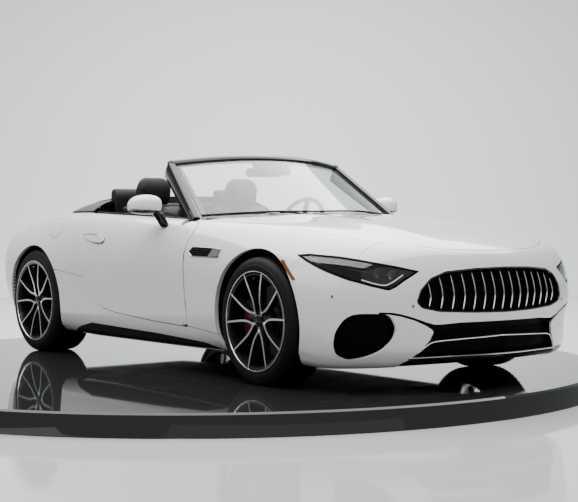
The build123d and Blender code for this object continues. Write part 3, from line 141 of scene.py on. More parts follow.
def turned(profile: Sequence[Point2], centre: Point3, axis: Point3, steps: int = 64,
           closed: bool = True) -> BMesh:
    """Turns a profile round an axis.

    Args:
        profile: Points as (along the axis, radius).
        centre: Point on the axis that the profile is measured from.
        axis: Direction of the axis.
        steps: Number of steps round.
        closed: Whether the profile's last point joins its first.

    Returns:
        The turned mesh, with its faces outwards where it is closed.
    """
    along = Vector(axis).normalized()
    out = along.orthogonal().normalized()
    bm = bmesh.new()
    verts = [bm.verts.new(Vector(centre) + along * a + out * r) for a, r in profile]
    pairs = list(zip(verts, verts[1:])) + ([(verts[-1], verts[0])] if closed else [])
    edges = [bm.edges.new(pair) for pair in pairs]
    bmesh.ops.spin(bm, geom=verts + edges, cent=centre, axis=along, angle=2 * math.pi, steps=steps,
                   use_merge=True, use_duplicate=False)
    bmesh.ops.remove_doubles(bm, verts=bm.verts[:], dist=1e-5)
    bmesh.ops.recalc_face_normals(bm, faces=bm.faces[:])
    return bm


def tube(points: Sequence[Point3], radius: float, closed: bool = False, smooth: bool = True) -> BMesh:
    """Makes a round bar along a path.

    Args:
        points: The path.
        radius: Radius of the bar.
        closed: Whether the path returns to its start.
        smooth: Whether the path is a smooth spline or straight runs.

    Returns:
        The bar, with its ends filled.
    """
    curve = bpy.data.curves.new("path", "CURVE")
    curve.dimensions = "3D"
    curve.bevel_depth = radius
    curve.bevel_resolution = 2
    curve.use_fill_caps = True
    curve.resolution_u = 6
    spline = curve.splines.new("NURBS" if smooth else "POLY")
    spline.points.add(len(points) - 1)
    for point, place in zip(spline.points, points):
        point.co = (*place, 1.0)
    spline.use_cyclic_u = closed
    if smooth:
        spline.order_u = 3
        spline.use_endpoint_u = not closed
    holder = bpy.data.objects.new("path", curve)
    bm = bmesh.new()
    bm.from_mesh(bpy.data.meshes.new_from_object(holder))
    bpy.data.objects.remove(holder)
    bpy.data.curves.remove(curve)
    bmesh.ops.remove_doubles(bm, verts=bm.verts[:], dist=1e-6)
    bmesh.ops.recalc_face_normals(bm, faces=bm.faces[:])
    return bm


def joined(*parts: BMesh) -> BMesh:
    """Returns one mesh that holds all the given ones."""
    bm = bmesh.new()
    for part in parts:
        mesh = bpy.data.meshes.new("part")
        part.to_mesh(mesh)
        bm.from_mesh(mesh)
        bpy.data.meshes.remove(mesh)
        part.free()
    return bm


def mirrored(bm: BMesh) -> BMesh:
    """Returns the mirror image of a mesh across the car's middle plane."""
    image = bm.copy()
    bmesh.ops.scale(image, vec=(-1, 1, 1), verts=image.verts[:])
    bmesh.ops.reverse_faces(image, faces=image.faces[:])
    return image


def painted(bm: BMesh, index: int) -> BMesh:
    """Gives every face of a mesh one material index and returns the mesh."""
    for face in bm.faces:
        face.material_index = index
    return bm


def lofted(rings: Sequence[Sequence[Vector | Point3]]) -> BMesh:
    """Bridges rings of points, in order, into one closed skin.

    Args:
        rings: Rings with the same number of points each.

    Returns:
        The skin, with its faces outwards.
    """
    bm = bmesh.new()
    loops = [[bm.verts.new(point) for point in ring] for ring in rings]
    for loop in loops:
        for a, b in zip(loop, [*loop[1:], loop[0]]):
            bm.edges.new((a, b))
    for first, second in zip(loops, loops[1:]):
        edges = [bm.edges.get((a, b)) for r in (first, second) for a, b in zip(r, [*r[1:], r[0]])]
        bmesh.ops.bridge_loops(bm, edges=edges)
    for loop in (loops[0], loops[-1]):
        bm.faces.new(loop)
    bmesh.ops.recalc_face_normals(bm, faces=bm.faces[:])
    return bm


def uprights(bm: BMesh, length: float) -> list[BMEdge]:
    """Returns the edges that rise by more than a length."""
    return [e for e in bm.edges if abs(e.verts[0].co.z - e.verts[1].co.z) > length]


def moved(bm: BMesh, change: Callable[[Vector], Vector]) -> BMesh:
    """Moves every vertex of a mesh by a rule and returns the mesh."""
    for vert in bm.verts:
        vert.co = change(vert.co)
    return bm


def spread(columns: int, rows: int, place: Callable[[Vector], Vector]) -> BMesh:
    """Makes an open sheet: a unit grid round the origin, with each point taken to its place."""
    bm = bmesh.new()
    bmesh.ops.create_grid(bm, x_segments=columns, y_segments=rows, size=0.5)
    return moved(bm, place)


def facing(bm: BMesh, direction: Point3) -> BMesh:
    """Turns the faces of an open sheet to look along a direction and returns the sheet."""
    bm.normal_update()
    if sum((f.normal for f in bm.faces), Vector()).dot(Vector(direction)) < 0:
        bmesh.ops.reverse_faces(bm, faces=bm.faces[:])
        bm.normal_update()
    return bm


def pushed(bm: BMesh, amount: float) -> BMesh:
    """Moves every vertex of a mesh along its normal and returns the mesh."""
    bm.normal_update()
    shifts = [vert.normal * amount for vert in bm.verts]
    for vert, shift in zip(bm.verts, shifts):
        vert.co += shift
    return bm


def walled(bm: BMesh, thickness: float) -> BMesh:
    """Gives an open sheet a thickness, with its faces outwards, and returns it."""
    bmesh.ops.solidify(bm, geom=bm.faces[:], thickness=thickness)
    bmesh.ops.recalc_face_normals(bm, faces=bm.faces[:])
    return bm


def height_at(line: Sequence[Point2], u: float) -> float:
    """Returns the second coordinate of a line of points, where its first is u."""
    for (u0, v0), (u1, v1) in zip(line, line[1:]):
        if u <= u1:
            return v0 + (v1 - v0) * (u - u0) / (u1 - u0)
    return line[-1][1]


def boolean(base: BMesh, tool: BMesh, operation: str) -> BMesh:
    """Cuts, joins or intersects two closed meshes.

    Args:
        base: The mesh to work on; it is freed.
        tool: The mesh to work with; it is kept.
        operation: DIFFERENCE, UNION or INTERSECT.

    Returns:
        The result.
    """
    holders = []
    for bm in (base, tool):
        mesh = bpy.data.meshes.new("work")
        bm.to_mesh(mesh)
        holders.append(bpy.data.objects.new("work", mesh))
        bpy.context.scene.collection.objects.link(holders[-1])
    modifier = holders[0].modifiers.new("cut", "BOOLEAN")
    modifier.operation = operation
    modifier.solver = "MANIFOLD"
    modifier.object = holders[1]
    bpy.context.view_layer.update()
    result = holders[0].evaluated_get(bpy.context.evaluated_depsgraph_get()).to_mesh()
    bm = bmesh.new()
    bm.from_mesh(result)
    for holder in holders:
        mesh = holder.data
        bpy.data.objects.remove(holder)
        bpy.data.meshes.remove(mesh)
    base.free()
    return bm


def subdivided(bm: BMesh, levels: int) -> BMesh:
    """Returns the Catmull-Clark subdivision of a mesh."""
    mesh = bpy.data.meshes.new("work")
    bm.to_mesh(mesh)
    holder = bpy.data.objects.new("work", mesh)
    bpy.context.scene.collection.objects.link(holder)
    modifier = holder.modifiers.new("smooth", "SUBSURF")
    modifier.levels = modifier.render_levels = levels
    bpy.context.view_layer.update()
    result = bmesh.new()
    result.from_mesh(holder.evaluated_get(bpy.context.evaluated_depsgraph_get()).to_mesh())
    bpy.data.objects.remove(holder)
    bpy.data.meshes.remove(mesh)
    bm.free()
    return result


# ------------------------------------------------------------------ finishes
class Pattern(Enum):
    """Small-scale surface of a finish."""

    SMOOTH = "smooth"
    GRAIN = "grain"
    LEATHER = "leather"
    WEAVE = "weave"
    TURNED = "turned"


def group_tree(name: str, inputs: dict[str, object], outputs: Iterable[tuple[str, str]]) -> NodeTree:
    """Starts a shader node group.

    Args:
        name: Name of the group.
        inputs: Input names with their default values; a 4-tuple is a colour.
        outputs: Names and socket types of the outputs.

    Returns:
        The group's tree, with its input and output nodes named In and Out.
    """
    tree = bpy.data.node_groups.new(name, "ShaderNodeTree")
    for label, default in inputs.items():
        kind = "NodeSocketColor" if isinstance(default, tuple) else "NodeSocketFloat"
        socket = tree.interface.new_socket(name=label, in_out="INPUT", socket_type=kind)
        socket.default_value = default
    for label, kind in outputs:
        tree.interface.new_socket(name=label, in_out="OUTPUT", socket_type=kind)
    tree.nodes.new("NodeGroupInput").name = "In"
    tree.nodes.new("NodeGroupOutput").name = "Out"
    return tree


def node(tree: NodeTree, kind: str, links: dict[str, object] | None = None, **settings: object) -> Node:
    """Adds a node to a tree.

    Args:
        tree: The tree.
        kind: Type of the node.
        links: Input names with the socket to link or the value to set.
        settings: Properties of the node.

    Returns:
        The new node.
    """
    made = tree.nodes.new(kind)
    for key, value in settings.items():
        setattr(made, key, value)
    for key, value in (links or {}).items():
        socket = made.inputs[int(key)] if key.isdigit() else made.inputs[key]
        if isinstance(value, bpy.types.NodeSocket):
            tree.links.new(value, socket)
        else:
            socket.default_value = value
    return made


def variation_group() -> NodeTree:
    """Builds the group that all finishes share: slow colour and gloss changes over a surface."""
    tree = group_tree("surface_variation", {"Scale": 6.0, "Light": (0.8, 0.8, 0.8, 1), "Dark": (0.7, 0.7, 0.7, 1),
                                            "Glossiest": 0.2, "Dullest": 0.3},
                      [("Colour", "NodeSocketColor"), ("Roughness", "NodeSocketFloat")])
    given, out = tree.nodes["In"].outputs, tree.nodes["Out"]
    coords = node(tree, "ShaderNodeTexCoord").outputs["Object"]
    cloud = node(tree, "ShaderNodeTexNoise", {"Vector": coords, "Scale": given["Scale"], "Detail": 5.0})
    blend = node(tree, "ShaderNodeMix", {"0": cloud.outputs["Fac"], "6": given["Dark"], "7": given["Light"]},
                 data_type="RGBA")
    gloss = node(tree, "ShaderNodeMapRange", {"Value": cloud.outputs["Fac"], "From Min": 0.3, "From Max": 0.7,
                                              "To Min": given["Glossiest"], "To Max": given["Dullest"]})
    tree.links.new(blend.outputs[2], out.inputs["Colour"])
    tree.links.new(gloss.outputs[0], out.inputs["Roughness"])
    return tree


def relief_group(pattern: Pattern) -> NodeTree:
    """Builds the group that gives the height of one small-scale pattern."""
    tree = group_tree(f"relief_{pattern.value}", {"Scale": 400.0}, [("Height", "NodeSocketFloat")])
    given, out = tree.nodes["In"].outputs, tree.nodes["Out"]
    coords = node(tree, "ShaderNodeTexCoord").outputs["Object"]
    if pattern is Pattern.LEATHER:
        cells = node(tree, "ShaderNodeTexVoronoi", {"Vector": coords, "Scale": given["Scale"]},
                     feature="DISTANCE_TO_EDGE")
        height = node(tree, "ShaderNodeMapRange", {"Value": cells.outputs["Distance"], "From Max": 0.25}).outputs[0]
    elif pattern is Pattern.WEAVE:
        bands = []
        for direction in ("X", "Y"):
            wave = node(tree, "ShaderNodeTexWave", {"Vector": coords, "Scale": given["Scale"], "Distortion": 0.4},
                        bands_direction=direction)
            bands.append(wave.outputs["Fac"])
        height = node(tree, "ShaderNodeMath", {"0": bands[0], "1": bands[1]}, operation="MULTIPLY").outputs[0]
    elif pattern is Pattern.TURNED:
        rings = node(tree, "ShaderNodeTexWave", {"Vector": coords, "Scale": given["Scale"], "Distortion": 0.3},
                     wave_type="RINGS", rings_direction="X")
        height = rings.outputs["Fac"]
    else:
        detail = 3.0 if pattern is Pattern.GRAIN else 1.0
        height = node(tree, "ShaderNodeTexNoise", {"Vector": coords, "Scale": given["Scale"],
                                                   "Detail": detail}).outputs["Fac"]
    tree.links.new(height, out.inputs["Height"])
    return tree


@dataclass(frozen=True)
class Finish:
    """One surface finish of the car.

    Attributes:
        name: Name of the material.
        colour: Base colour.
        spread: How much darker the darkest patches are, as a share.
        roughness: Roughness at the glossiest and dullest patches.
        metallic: Metallic share.
        coat: Weight of the clear coat.
        pattern: Small-scale relief.
        pattern_scale: Scale of the relief.
        relief: Strength of the relief.
        transmission: Share of light let through.
        glow: Strength of the light given off.
        specular: Specular level.
        sheen: Weight of the fabric sheen.
        cloud: Scale of the slow variation.
    """

    name: str
    colour: Point3
    spread: float = 0.06
    roughness: Point2 = (0.35, 0.45)
    metallic: float = 0.0
    coat: float = 0.0
    pattern: Pattern = Pattern.GRAIN
    pattern_scale: float = 300.0
    relief: float = 0.05
    transmission: float = 0.0
    glow: float = 0.0
    specular: float = 0.5
    sheen: float = 0.0
    cloud: float = 6.0

    def material(self) -> Material:
        """Returns the finish's material, built the first time that it is asked for."""
        found = bpy.data.materials.get(self.name)
        return found or self._build()

    def _build(self) -> Material:
        """Builds the node tree of the finish."""
        material = bpy.data.materials.new(self.name)
        material.use_nodes = True
        tree = material.node_tree
        shader = tree.nodes["Principled BSDF"]
        variation = bpy.data.node_groups.get("surface_variation") or variation_group()
        dark = tuple(c * (1 - self.spread) for c in self.colour)
        glossiest, dullest = self.roughness
        mix = node(tree, "ShaderNodeGroup", node_tree=variation)
        for key, value in (("Scale", self.cloud), ("Light", (*self.colour, 1)), ("Dark", (*dark, 1)),
                           ("Glossiest", glossiest), ("Dullest", dullest)):
            mix.inputs[key].default_value = value
        tree.links.new(mix.outputs["Colour"], shader.inputs["Base Color"])
        tree.links.new(mix.outputs["Roughness"], shader.inputs["Roughness"])
        relief_name = f"relief_{self.pattern.value}"
        relief = node(tree, "ShaderNodeGroup",
                      node_tree=bpy.data.node_groups.get(relief_name) or relief_group(self.pattern))
        relief.inputs["Scale"].default_value = self.pattern_scale
        bump = node(tree, "ShaderNodeBump", {"Height": relief.outputs["Height"], "Strength": self.relief,
                                             "Distance": RELIEF_DEPTH})
        tree.links.new(bump.outputs["Normal"], shader.inputs["Normal"])
        constants = {"Metallic": self.metallic, "Coat Weight": self.coat, "Coat Roughness": COAT_ROUGHNESS,
                     "Transmission Weight": self.transmission, "Specular IOR Level": self.specular,
                     "Sheen Weight": self.sheen, "Emission Strength": self.glow}
        for key, value in constants.items():
            shader.inputs[key].default_value = value
        if self.glow:
            tree.links.new(mix.outputs["Colour"], shader.inputs["Emission Color"])
        return material


WHITE_PAINT = Finish("white_paint", (0.80, 0.80, 0.79), 0.01, (0.18, 0.22), coat=1.0, pattern=Pattern.SMOOTH,
                     pattern_scale=90.0, relief=0.006, cloud=1.5)
GLOSS_BLACK = Finish("gloss_black", (0.004, 0.004, 0.0045), 0.2, (0.08, 0.14), coat=0.2, pattern=Pattern.SMOOTH,
                     pattern_scale=60.0, relief=0.01, specular=0.35)
SATIN_BLACK = Finish("satin_black", (0.006, 0.006, 0.0065), 0.25, (0.42, 0.55), pattern_scale=900.0, relief=0.12,
                     specular=0.2)
MESH_BLACK = Finish("mesh_black", (0.002, 0.002, 0.002), 0.3, (0.5, 0.65), pattern_scale=600.0, relief=0.1,
                    specular=0.06)
SEAL_RUBBER = Finish("seal_rubber", (0.009, 0.009, 0.009), 0.2, (0.55, 0.7), pattern_scale=500.0, relief=0.15,
                     specular=0.2)
TYRE_RUBBER = Finish("tyre_rubber", (0.005, 0.005, 0.0052), 0.3, (0.5, 0.68), pattern_scale=700.0, relief=0.25,
                     specular=0.18)
CHROME = Finish("chrome", (0.86, 0.86, 0.87), 0.03, (0.05, 0.10), metallic=1.0, pattern=Pattern.SMOOTH,
                pattern_scale=120.0, relief=0.01)
BRIGHT_ALLOY = Finish("bright_alloy", (0.80, 0.80, 0.81), 0.06, (0.20, 0.28), metallic=1.0, coat=0.5,
                      pattern=Pattern.TURNED, pattern_scale=260.0, relief=0.03)
DARK_ALLOY = Finish("dark_alloy", (0.008, 0.008, 0.009), 0.25, (0.16, 0.26), coat=0.3, pattern_scale=700.0,
                    relief=0.03, specular=0.35)
# the disc's steel is darkened far below bare steel: painted shade for the dark space behind the spokes
DISC_STEEL_PAINTED_SHADE = Finish("disc_steel_painted_shade", (0.11, 0.11, 0.113), 0.15, (0.30, 0.42), metallic=1.0, pattern=Pattern.TURNED,
                    pattern_scale=420.0, relief=0.2)
CALIPER_RED = Finish("caliper_red", (0.17, 0.006, 0.008), 0.15, (0.25, 0.35), coat=0.3, pattern_scale=500.0)
BLACK_LEATHER = Finish("black_leather", (0.008, 0.0077, 0.0077), 0.25, (0.45, 0.58), pattern=Pattern.LEATHER,
                       pattern_scale=420.0, relief=0.35, specular=0.25)
TOP_CLOTH = Finish("top_cloth", (0.010, 0.010, 0.0105), 0.2, (0.8, 0.95), pattern=Pattern.WEAVE, pattern_scale=260.0,
                   relief=0.4, sheen=0.12, specular=0.2)
CARPET = Finish("carpet", (0.014, 0.014, 0.015), 0.3, (0.9, 1.0), pattern_scale=900.0, relief=0.6, sheen=0.3)
CLEAR_GLASS = Finish("clear_glass", (0.93, 0.96, 0.95), 0.01, (0.0, 0.01), transmission=1.0, pattern=Pattern.SMOOTH,
                     pattern_scale=20.0, relief=0.0)
LAMP_GLASS = Finish("lamp_glass", (0.70, 0.71, 0.72), 0.01, (0.0, 0.01), transmission=1.0, pattern=Pattern.SMOOTH,
                    pattern_scale=20.0, relief=0.0, specular=0.12)
RED_LENS = Finish("red_lens", (0.30, 0.006, 0.008), 0.2, (0.05, 0.1), coat=1.0, pattern=Pattern.SMOOTH,
                  pattern_scale=80.0, relief=0.01)
AMBER_LENS = Finish("amber_lens", (0.15, 0.042, 0.002), 0.2, (0.2, 0.3))
LED_WHITE = Finish("led_white", (0.92, 0.95, 1.0), 0.02, (0.3, 0.4), glow=0.9)
MIRROR_GLASS = Finish("mirror_glass", (0.70, 0.73, 0.75), 0.02, (0.0, 0.02), metallic=1.0, pattern=Pattern.SMOOTH,
                      pattern_scale=30.0, relief=0.0)
DISPLAY = Finish("display", (0.010, 0.011, 0.014), 0.2, (0.05, 0.09), coat=0.8, pattern=Pattern.SMOOTH,
                 pattern_scale=40.0, relief=0.0)
CAST_STEEL = Finish("cast_steel", (0.16, 0.16, 0.165), 0.35, (0.45, 0.6), metallic=0.9, pattern_scale=350.0,
                    relief=0.3)
UNDER_BLACK = Finish("under_black", (0.006, 0.006, 0.006), 0.35, (0.6, 0.8), pattern_scale=120.0, relief=0.4,
                     specular=0.2)
PANEL_GREY = Finish("panel_grey", (0.045, 0.046, 0.048), 0.1, (0.30, 0.38), pattern_scale=700.0)
STUDIO_FLOOR = Finish("studio_floor", (0.60, 0.62, 0.62), 0.03, (0.05, 0.09), pattern_scale=20.0, relief=0.01,
                      cloud=0.4)
TURNTABLE = Finish("turntable", (0.020, 0.021, 0.022), 0.15, (0.02, 0.05), pattern_scale=30.0, relief=0.01,
                   cloud=0.6)
STUDIO_WALL = Finish("studio_wall", (0.80, 0.83, 0.83), 0.03, (0.8, 0.9), pattern_scale=5.0, relief=0.0, cloud=0.2)


def dressed(name: str, bm: BMesh, finishes: Sequence[Finish], sharp: float = SHARP) -> Object:
    """Makes an object from a mesh and gives it its materials.

    Args:
        name: Name of the piece.
        bm: Its mesh, which is freed.
        finishes: Its finishes, in the order of the material indices.
        sharp: Edges sharper than this many degrees stay sharp.

    Returns:
        The object, linked to the scene.
    """
    mesh = bpy.data.meshes.new(name)
    bm.to_mesh(mesh)
    bm.free()
    for finish in finishes:
        mesh.materials.append(finish.material())
    mesh.shade_smooth()
    mesh.set_sharp_from_angle(angle=math.radians(sharp))
    piece = bpy.data.objects.new(name, mesh)
    bpy.context.scene.collection.objects.link(piece)
    return piece


def publish(name: str, bm: BMesh, finishes: Finish | Sequence[Finish], body: str,
            nodes: Sequence[str] = (), sharp: float = SHARP) -> Object:
    """Dresses a piece, hangs it on the empty of the body that it rides on and hides the nodes that it stands for.

    Args:
        name: Name of the piece.
        bm: Its mesh, which is freed.
        finishes: Its finish or finishes.
        body: The body that it rides on.
        nodes: Nodes that it replaces.
        sharp: Edges sharper than this many degrees stay sharp.

    Returns:
        The piece.
    """
    listed = (finishes,) if isinstance(finishes, Finish) else tuple(finishes)
    piece = dressed(name, bm, listed, sharp)
    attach(piece, body)
    if nodes:
        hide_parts(*nodes)
    LOG.info("%s: %d faces on %s", name, len(piece.data.polygons), body)
    return piece


def publish_pair(name: str, bm: BMesh, finishes: Finish | Sequence[Finish], body: str,
                 node_name: str = "", sharp: float = SHARP) -> tuple[Object, Object]:
    """Publishes a left-hand piece and its mirror image.

    Args:
        name: Name of the pair; _left and _right are added.
        bm: Mesh of the left-hand piece, which is freed.
        finishes: Its finish or finishes.
        body: The body; a name that ends in _left has its twin on the right.
        node_name: Name of the pair of nodes that the pieces replace, or nothing.
        sharp: Edges sharper than this many degrees stay sharp.

    Returns:
        The two pieces, left first.
    """
    image = mirrored(bm)
    right_body = body.replace("_left", "_right")
    left_nodes = (f"{node_name}_left",) if node_name else ()
    right_nodes = (f"{node_name}_right",) if node_name else ()
    left = publish(f"{name}_left", bm, finishes, body, left_nodes, sharp)
    right = publish(f"{name}_right", image, finishes, right_body, right_nodes, sharp)
    return left, right


# ------------------------------------------------------------------ body
@dataclass(frozen=True)
class Column:
    """One upright line of the body's control net.

    Attributes:
        crest: Top of the fender line.
        wide: Widest point.
        sill: Where the side turns under.
        floor: Edge of the floor.
    """

    crest: Point3
    wide: Point3
    sill: Point3
    floor: Point3

    def rows(self) -> list[Vector]:
        """Returns the control points below the crest: shoulder, upper, wide, lower, sill and floor."""
        crest, wide, sill = Vector(self.crest), Vector(self.wide), Vector(self.sill)
        points = []
        for degrees in SHOULDER_ANGLES:
            out, up = math.cos(math.radians(degrees)), math.sin(math.radians(degrees))
            flat = crest.lerp(wide, out)
            points.append(Vector((flat.x, flat.y, wide.z + (crest.z - wide.z) * up)))
        x, y, z = self.floor
        inset = Vector((x * FLOOR_INSET[0], y * FLOOR_INSET[1], z))
        return [*points, wide, wide.lerp(sill, LOWER_SHARE), sill, Vector(self.floor), inset]


@dataclass
class BodyHull:
    """The closed outer surface of the body, that every painted panel is cut from."""

    nose: tuple[Column, ...] = (
        Column((0, -2.275, 0.772), (0, -2.356, 0.50), (0, -2.325, 0.197), (0, -2.26, 0.148)),
        Column((0.20, -2.258, 0.773), (0.22, -2.338, 0.50), (0.22, -2.305, 0.197), (0.21, -2.24, 0.148)),
        Column((0.40, -2.20, 0.778), (0.45, -2.285, 0.50), (0.44, -2.245, 0.192), (0.42, -2.18, 0.143)),
        Column((0.56, -2.10, 0.787), (0.715, -2.180, 0.50), (0.70, -2.145, 0.184), (0.67, -2.08, 0.134)),
        Column((0.665, -1.97, 0.806), (0.918, -1.960, 0.52), (0.900, -1.935, 0.178), (0.845, -1.90, 0.124)),
    )
    side: tuple[Column, ...] = (
        Column((0.700, -1.70, 0.852), (0.952, -1.70, 0.56), (0.928, -1.70, 0.190), (0.865, -1.70, 0.122)),
        Column((0.740, -1.3375, 0.903), (0.959, -1.3375, 0.60), (0.932, -1.3375, 0.24), (0.87, -1.3375, 0.150)),
        Column((0.775, -0.93, 0.921), (0.945, -0.93, 0.64), (0.925, -0.93, 0.25), (0.88, -0.93, 0.150)),
        Column((0.803, -0.45, 0.937), (0.936, -0.45, 0.66), (0.922, -0.45, 0.25), (0.88, -0.45, 0.150)),
        Column((0.818, 0.25, 0.960), (0.936, 0.25, 0.67), (0.925, 0.25, 0.25), (0.88, 0.25, 0.150)),
        Column((0.815, 0.85, 0.988), (0.947, 0.85, 0.66), (0.930, 0.85, 0.25), (0.88, 0.85, 0.150)),
        Column((0.778, 1.3625, 0.978), (0.960, 1.3625, 0.62), (0.936, 1.3625, 0.26), (0.87, 1.3625, 0.165)),
        Column((0.745, 1.72, 0.922), (0.952, 1.72, 0.60), (0.926, 1.72, 0.275), (0.85, 1.72, 0.190)),
    )
    tail: tuple[Column, ...] = (
        Column((0.722, 1.98, 0.868), (0.888, 1.995, 0.58), (0.850, 1.965, 0.30), (0.79, 1.93, 0.235)),
        Column((0.665, 2.11, 0.872), (0.808, 2.125, 0.57), (0.775, 2.075, 0.32), (0.73, 2.01, 0.260)),
        Column((0.50, 2.20, 0.884), (0.60, 2.248, 0.56), (0.57, 2.195, 0.335), (0.54, 2.12, 0.275)),
        Column((0.26, 2.255, 0.897), (0.31, 2.332, 0.56), (0.30, 2.275, 0.34), (0.28, 2.20, 0.280)),
        Column((0, 2.272, 0.902), (0, 2.354, 0.56), (0, 2.300, 0.34), (0, 2.23, 0.280)),
    )
    # where each side column's row crosses the centreline: y and z
    spine: tuple[Point2, ...] = ((-1.98, 0.868), (-1.55, 0.920), (-1.10, 0.956), (-0.62, 0.978), (0.22, 0.992),
                                 (0.85, 1.000), (1.38, 0.992), (1.86, 0.950))
    across: tuple[float, ...] = (1.0, 0.74, 0.5, 0.25, 0.0)  # shares of the crest's width
    dome_x: float = 0.34  # middle of each long ridge on the bonnet
    dome_width: float = 0.10
    dome_height: float = 0.011
    dome_span: Point2 = (-2.20, -0.85)
    dome_low_z: float = 0.7  # only the top, above this, takes the ridges
    flare: float = 0.006  # the arches' lips stand out by this
    flare_width: float = 0.11
    flare_inner: float = 0.05  # how far inside the arch's radius the lip starts
    flare_low: Point2 = (0.7, 0.2)  # least half width and height of the sides that take the lips
    flare_limit_x: float = 0.957  # half width that the lips keep within
    arches: tuple[tuple[float, float], ...] = ((-1.3375, 0.405), (1.3625, 0.392))
    arch_inner_x: float = 0.47
    axle_z: float = 0.36
    levels: int = 3
    lining_depths: Point2 = (0.045, 0.060)
    solid: BMesh = field(init=False, repr=False)
    shell: BMesh = field(init=False, repr=False)
    lining: BMesh = field(init=False, repr=False)
    tree: BVHTree = field(init=False, repr=False)

    def __post_init__(self) -> None:
        """Builds the closed body, its tree for measuring and its shell."""
        self.solid = self._shaped(subdivided(self._net(), self.levels))
        self.tree = BVHTree.FromBMesh(self.solid)
        self.shell = self._between(0.0, PANEL)
        self.lining = self._between(*self.lining_depths)

    def _net(self) -> BMesh:
        """Builds the control net: a grid for the top, and the sides extruded down from its edge."""
        columns = [*self.nose, *self.side, *self.tail]
        steps_across, steps_along = 2 * len(self.across) - 2, len(self.side) + 1
        bm = bmesh.new()
        bmesh.ops.create_grid(bm, x_segments=steps_across, y_segments=steps_along, size=1.0)
        half = steps_across // 2
        owner: dict[object, tuple[int, int]] = {}
        for vert in bm.verts:
            i = round((vert.co.x + 1) / 2 * steps_across) - half
            j = round((vert.co.y + 1) / 2 * steps_along)
            sign = -1 if i < 0 else 1
            if j == 0:
                index = abs(i)
            elif j == steps_along:
                index = len(columns) - 1 - abs(i)
            else:
                index = len(self.nose) - 1 + j
            if abs(i) == half or j in (0, steps_along):
                owner[vert] = (index, sign)
                x, y, z = columns[index].crest
                vert.co = (sign * x, y, z)
            else:
                vert.co = self._top_point(i / half, j - 1)
        ring = [edge for edge in bm.edges if edge.is_boundary]
        for row in range(len(columns[0].rows())):
            made = bmesh.ops.extrude_edge_only(bm, edges=ring)["geom"]
            fresh = [g for g in made if isinstance(g, BMVert)]
            ring = [g for g in made if isinstance(g, BMEdge) and g.is_boundary]
            heirs: dict[object, tuple[int, int]] = {}
            for vert in fresh:
                parent = next(e.other_vert(vert) for e in vert.link_edges if e.other_vert(vert) in owner)
                heirs[vert] = owner[parent]
            for vert, (index, sign) in heirs.items():
                x, y, z = columns[index].rows()[row]
                vert.co = (sign * x, y, z)
            owner = heirs
        bmesh.ops.holes_fill(bm, edges=ring, sides=0)
        bmesh.ops.recalc_face_normals(bm, faces=bm.faces[:])
        return bm

    def _top_point(self, share: float, j: int) -> Vector:
        """Returns a control point of the top, at a share of the half width and a row along the car."""
        step = round(abs(share) * (len(self.across) - 1))
        fraction = self.across[len(self.across) - 1 - step]
        if j in (0, len(self.side) - 1):
            end = self.nose if j == 0 else self.tail[::-1]
            edge_share = end[step].crest[0] / end[-1].crest[0]
            fraction = (fraction + edge_share) / 2
        crest = Vector(self.side[j].crest)
        spine_y, spine_z = self.spine[j]
        inward = 1 - fraction ** 2
        x = math.copysign(fraction * crest.x, share) if step else 0.0
        return Vector((x, crest.y + (spine_y - crest.y) * inward, crest.z + (spine_z - crest.z) * inward))

    def _shaped(self, bm: BMesh) -> BMesh:
        """Adds the bonnet's long ridges and the arches' lips to the smooth body."""
        start, end = self.dome_span
        for vert in bm.verts:
            x, y, z = vert.co
            if z > self.dome_low_z and start < y < end:
                along = math.sin(math.pi * (y - start) / (end - start)) ** 0.7
                off = (abs(x) - self.dome_x) / self.dome_width
                vert.co.z += self.dome_height * along * math.exp(-off * off)
            for axle_y, radius in self.arches:
                off = math.hypot(y - axle_y, z - self.axle_z) - radius
                on_side = abs(x) > self.flare_low[0] and z > self.flare_low[1]
                if on_side and -self.flare_inner < off < self.flare_width:
                    share = max(0.0, min(1.0, off / self.flare_width))
                    ease = (1 - share) ** 2 * (1 + 2 * share)
                    room = self.flare_limit_x - abs(x)
                    vert.co.x += math.copysign(min(self.flare * ease, max(0.0, room)), x)
        bm.normal_update()
        return bm

    def offset(self, depth: float) -> BMesh:
        """Returns the closed body moved in by a depth."""
        return pushed(self.solid.copy(), -depth)

    def _between(self, outer: float, inner: float) -> BMesh:
        """Returns the body's shell between two depths."""
        core = self.offset(inner)
        shell = boolean(self.offset(outer), core, "DIFFERENCE")
        core.free()
        return shell

    def _hit(self, start: Vector, direction: Vector) -> Vector | None:
        """Returns where a ray first meets the body."""
        return self.tree.ray_cast(start, direction)[0]

    def nose_y(self, x: float, z: float) -> float:
        """Returns where the front of the body stands at x and z."""
        hit = self._hit(Vector((x, -REACH, z)), Vector((0, 1, 0)))
        return hit.y if hit else -MISSED_END

    def tail_y(self, x: float, z: float) -> float:
        """Returns where the back of the body stands at x and z."""
        hit = self._hit(Vector((x, REACH, z)), Vector((0, -1, 0)))
        return hit.y if hit else MISSED_END

    def side_x(self, y: float, z: float) -> float:
        """Returns the half width of the body at y and z."""
        hit = self._hit(Vector((REACH, y, z)), Vector((-1, 0, 0)))
        return hit.x if hit else MISSED_SIDE

    def top_z(self, x: float, y: float) -> float:
        """Returns the height of the body at x and y."""
        hit = self._hit(Vector((x, y, REACH)), Vector((0, 0, -1)))
        return hit.z if hit else MISSED_SIDE

    def draped_rear(self, bm: BMesh) -> BMesh:
        """Takes each vertex's y as a depth ahead of the tail and sets it there."""
        return moved(bm, lambda v: Vector((v.x, self.tail_y(v.x, v.z) - v.y, v.z)))

    def draped_side(self, bm: BMesh) -> BMesh:
        """Takes each vertex's x as a distance outside the left side and sets it there."""
        return moved(bm, lambda v: Vector((self.side_x(v.y, v.z) + v.x, v.y, v.z)))

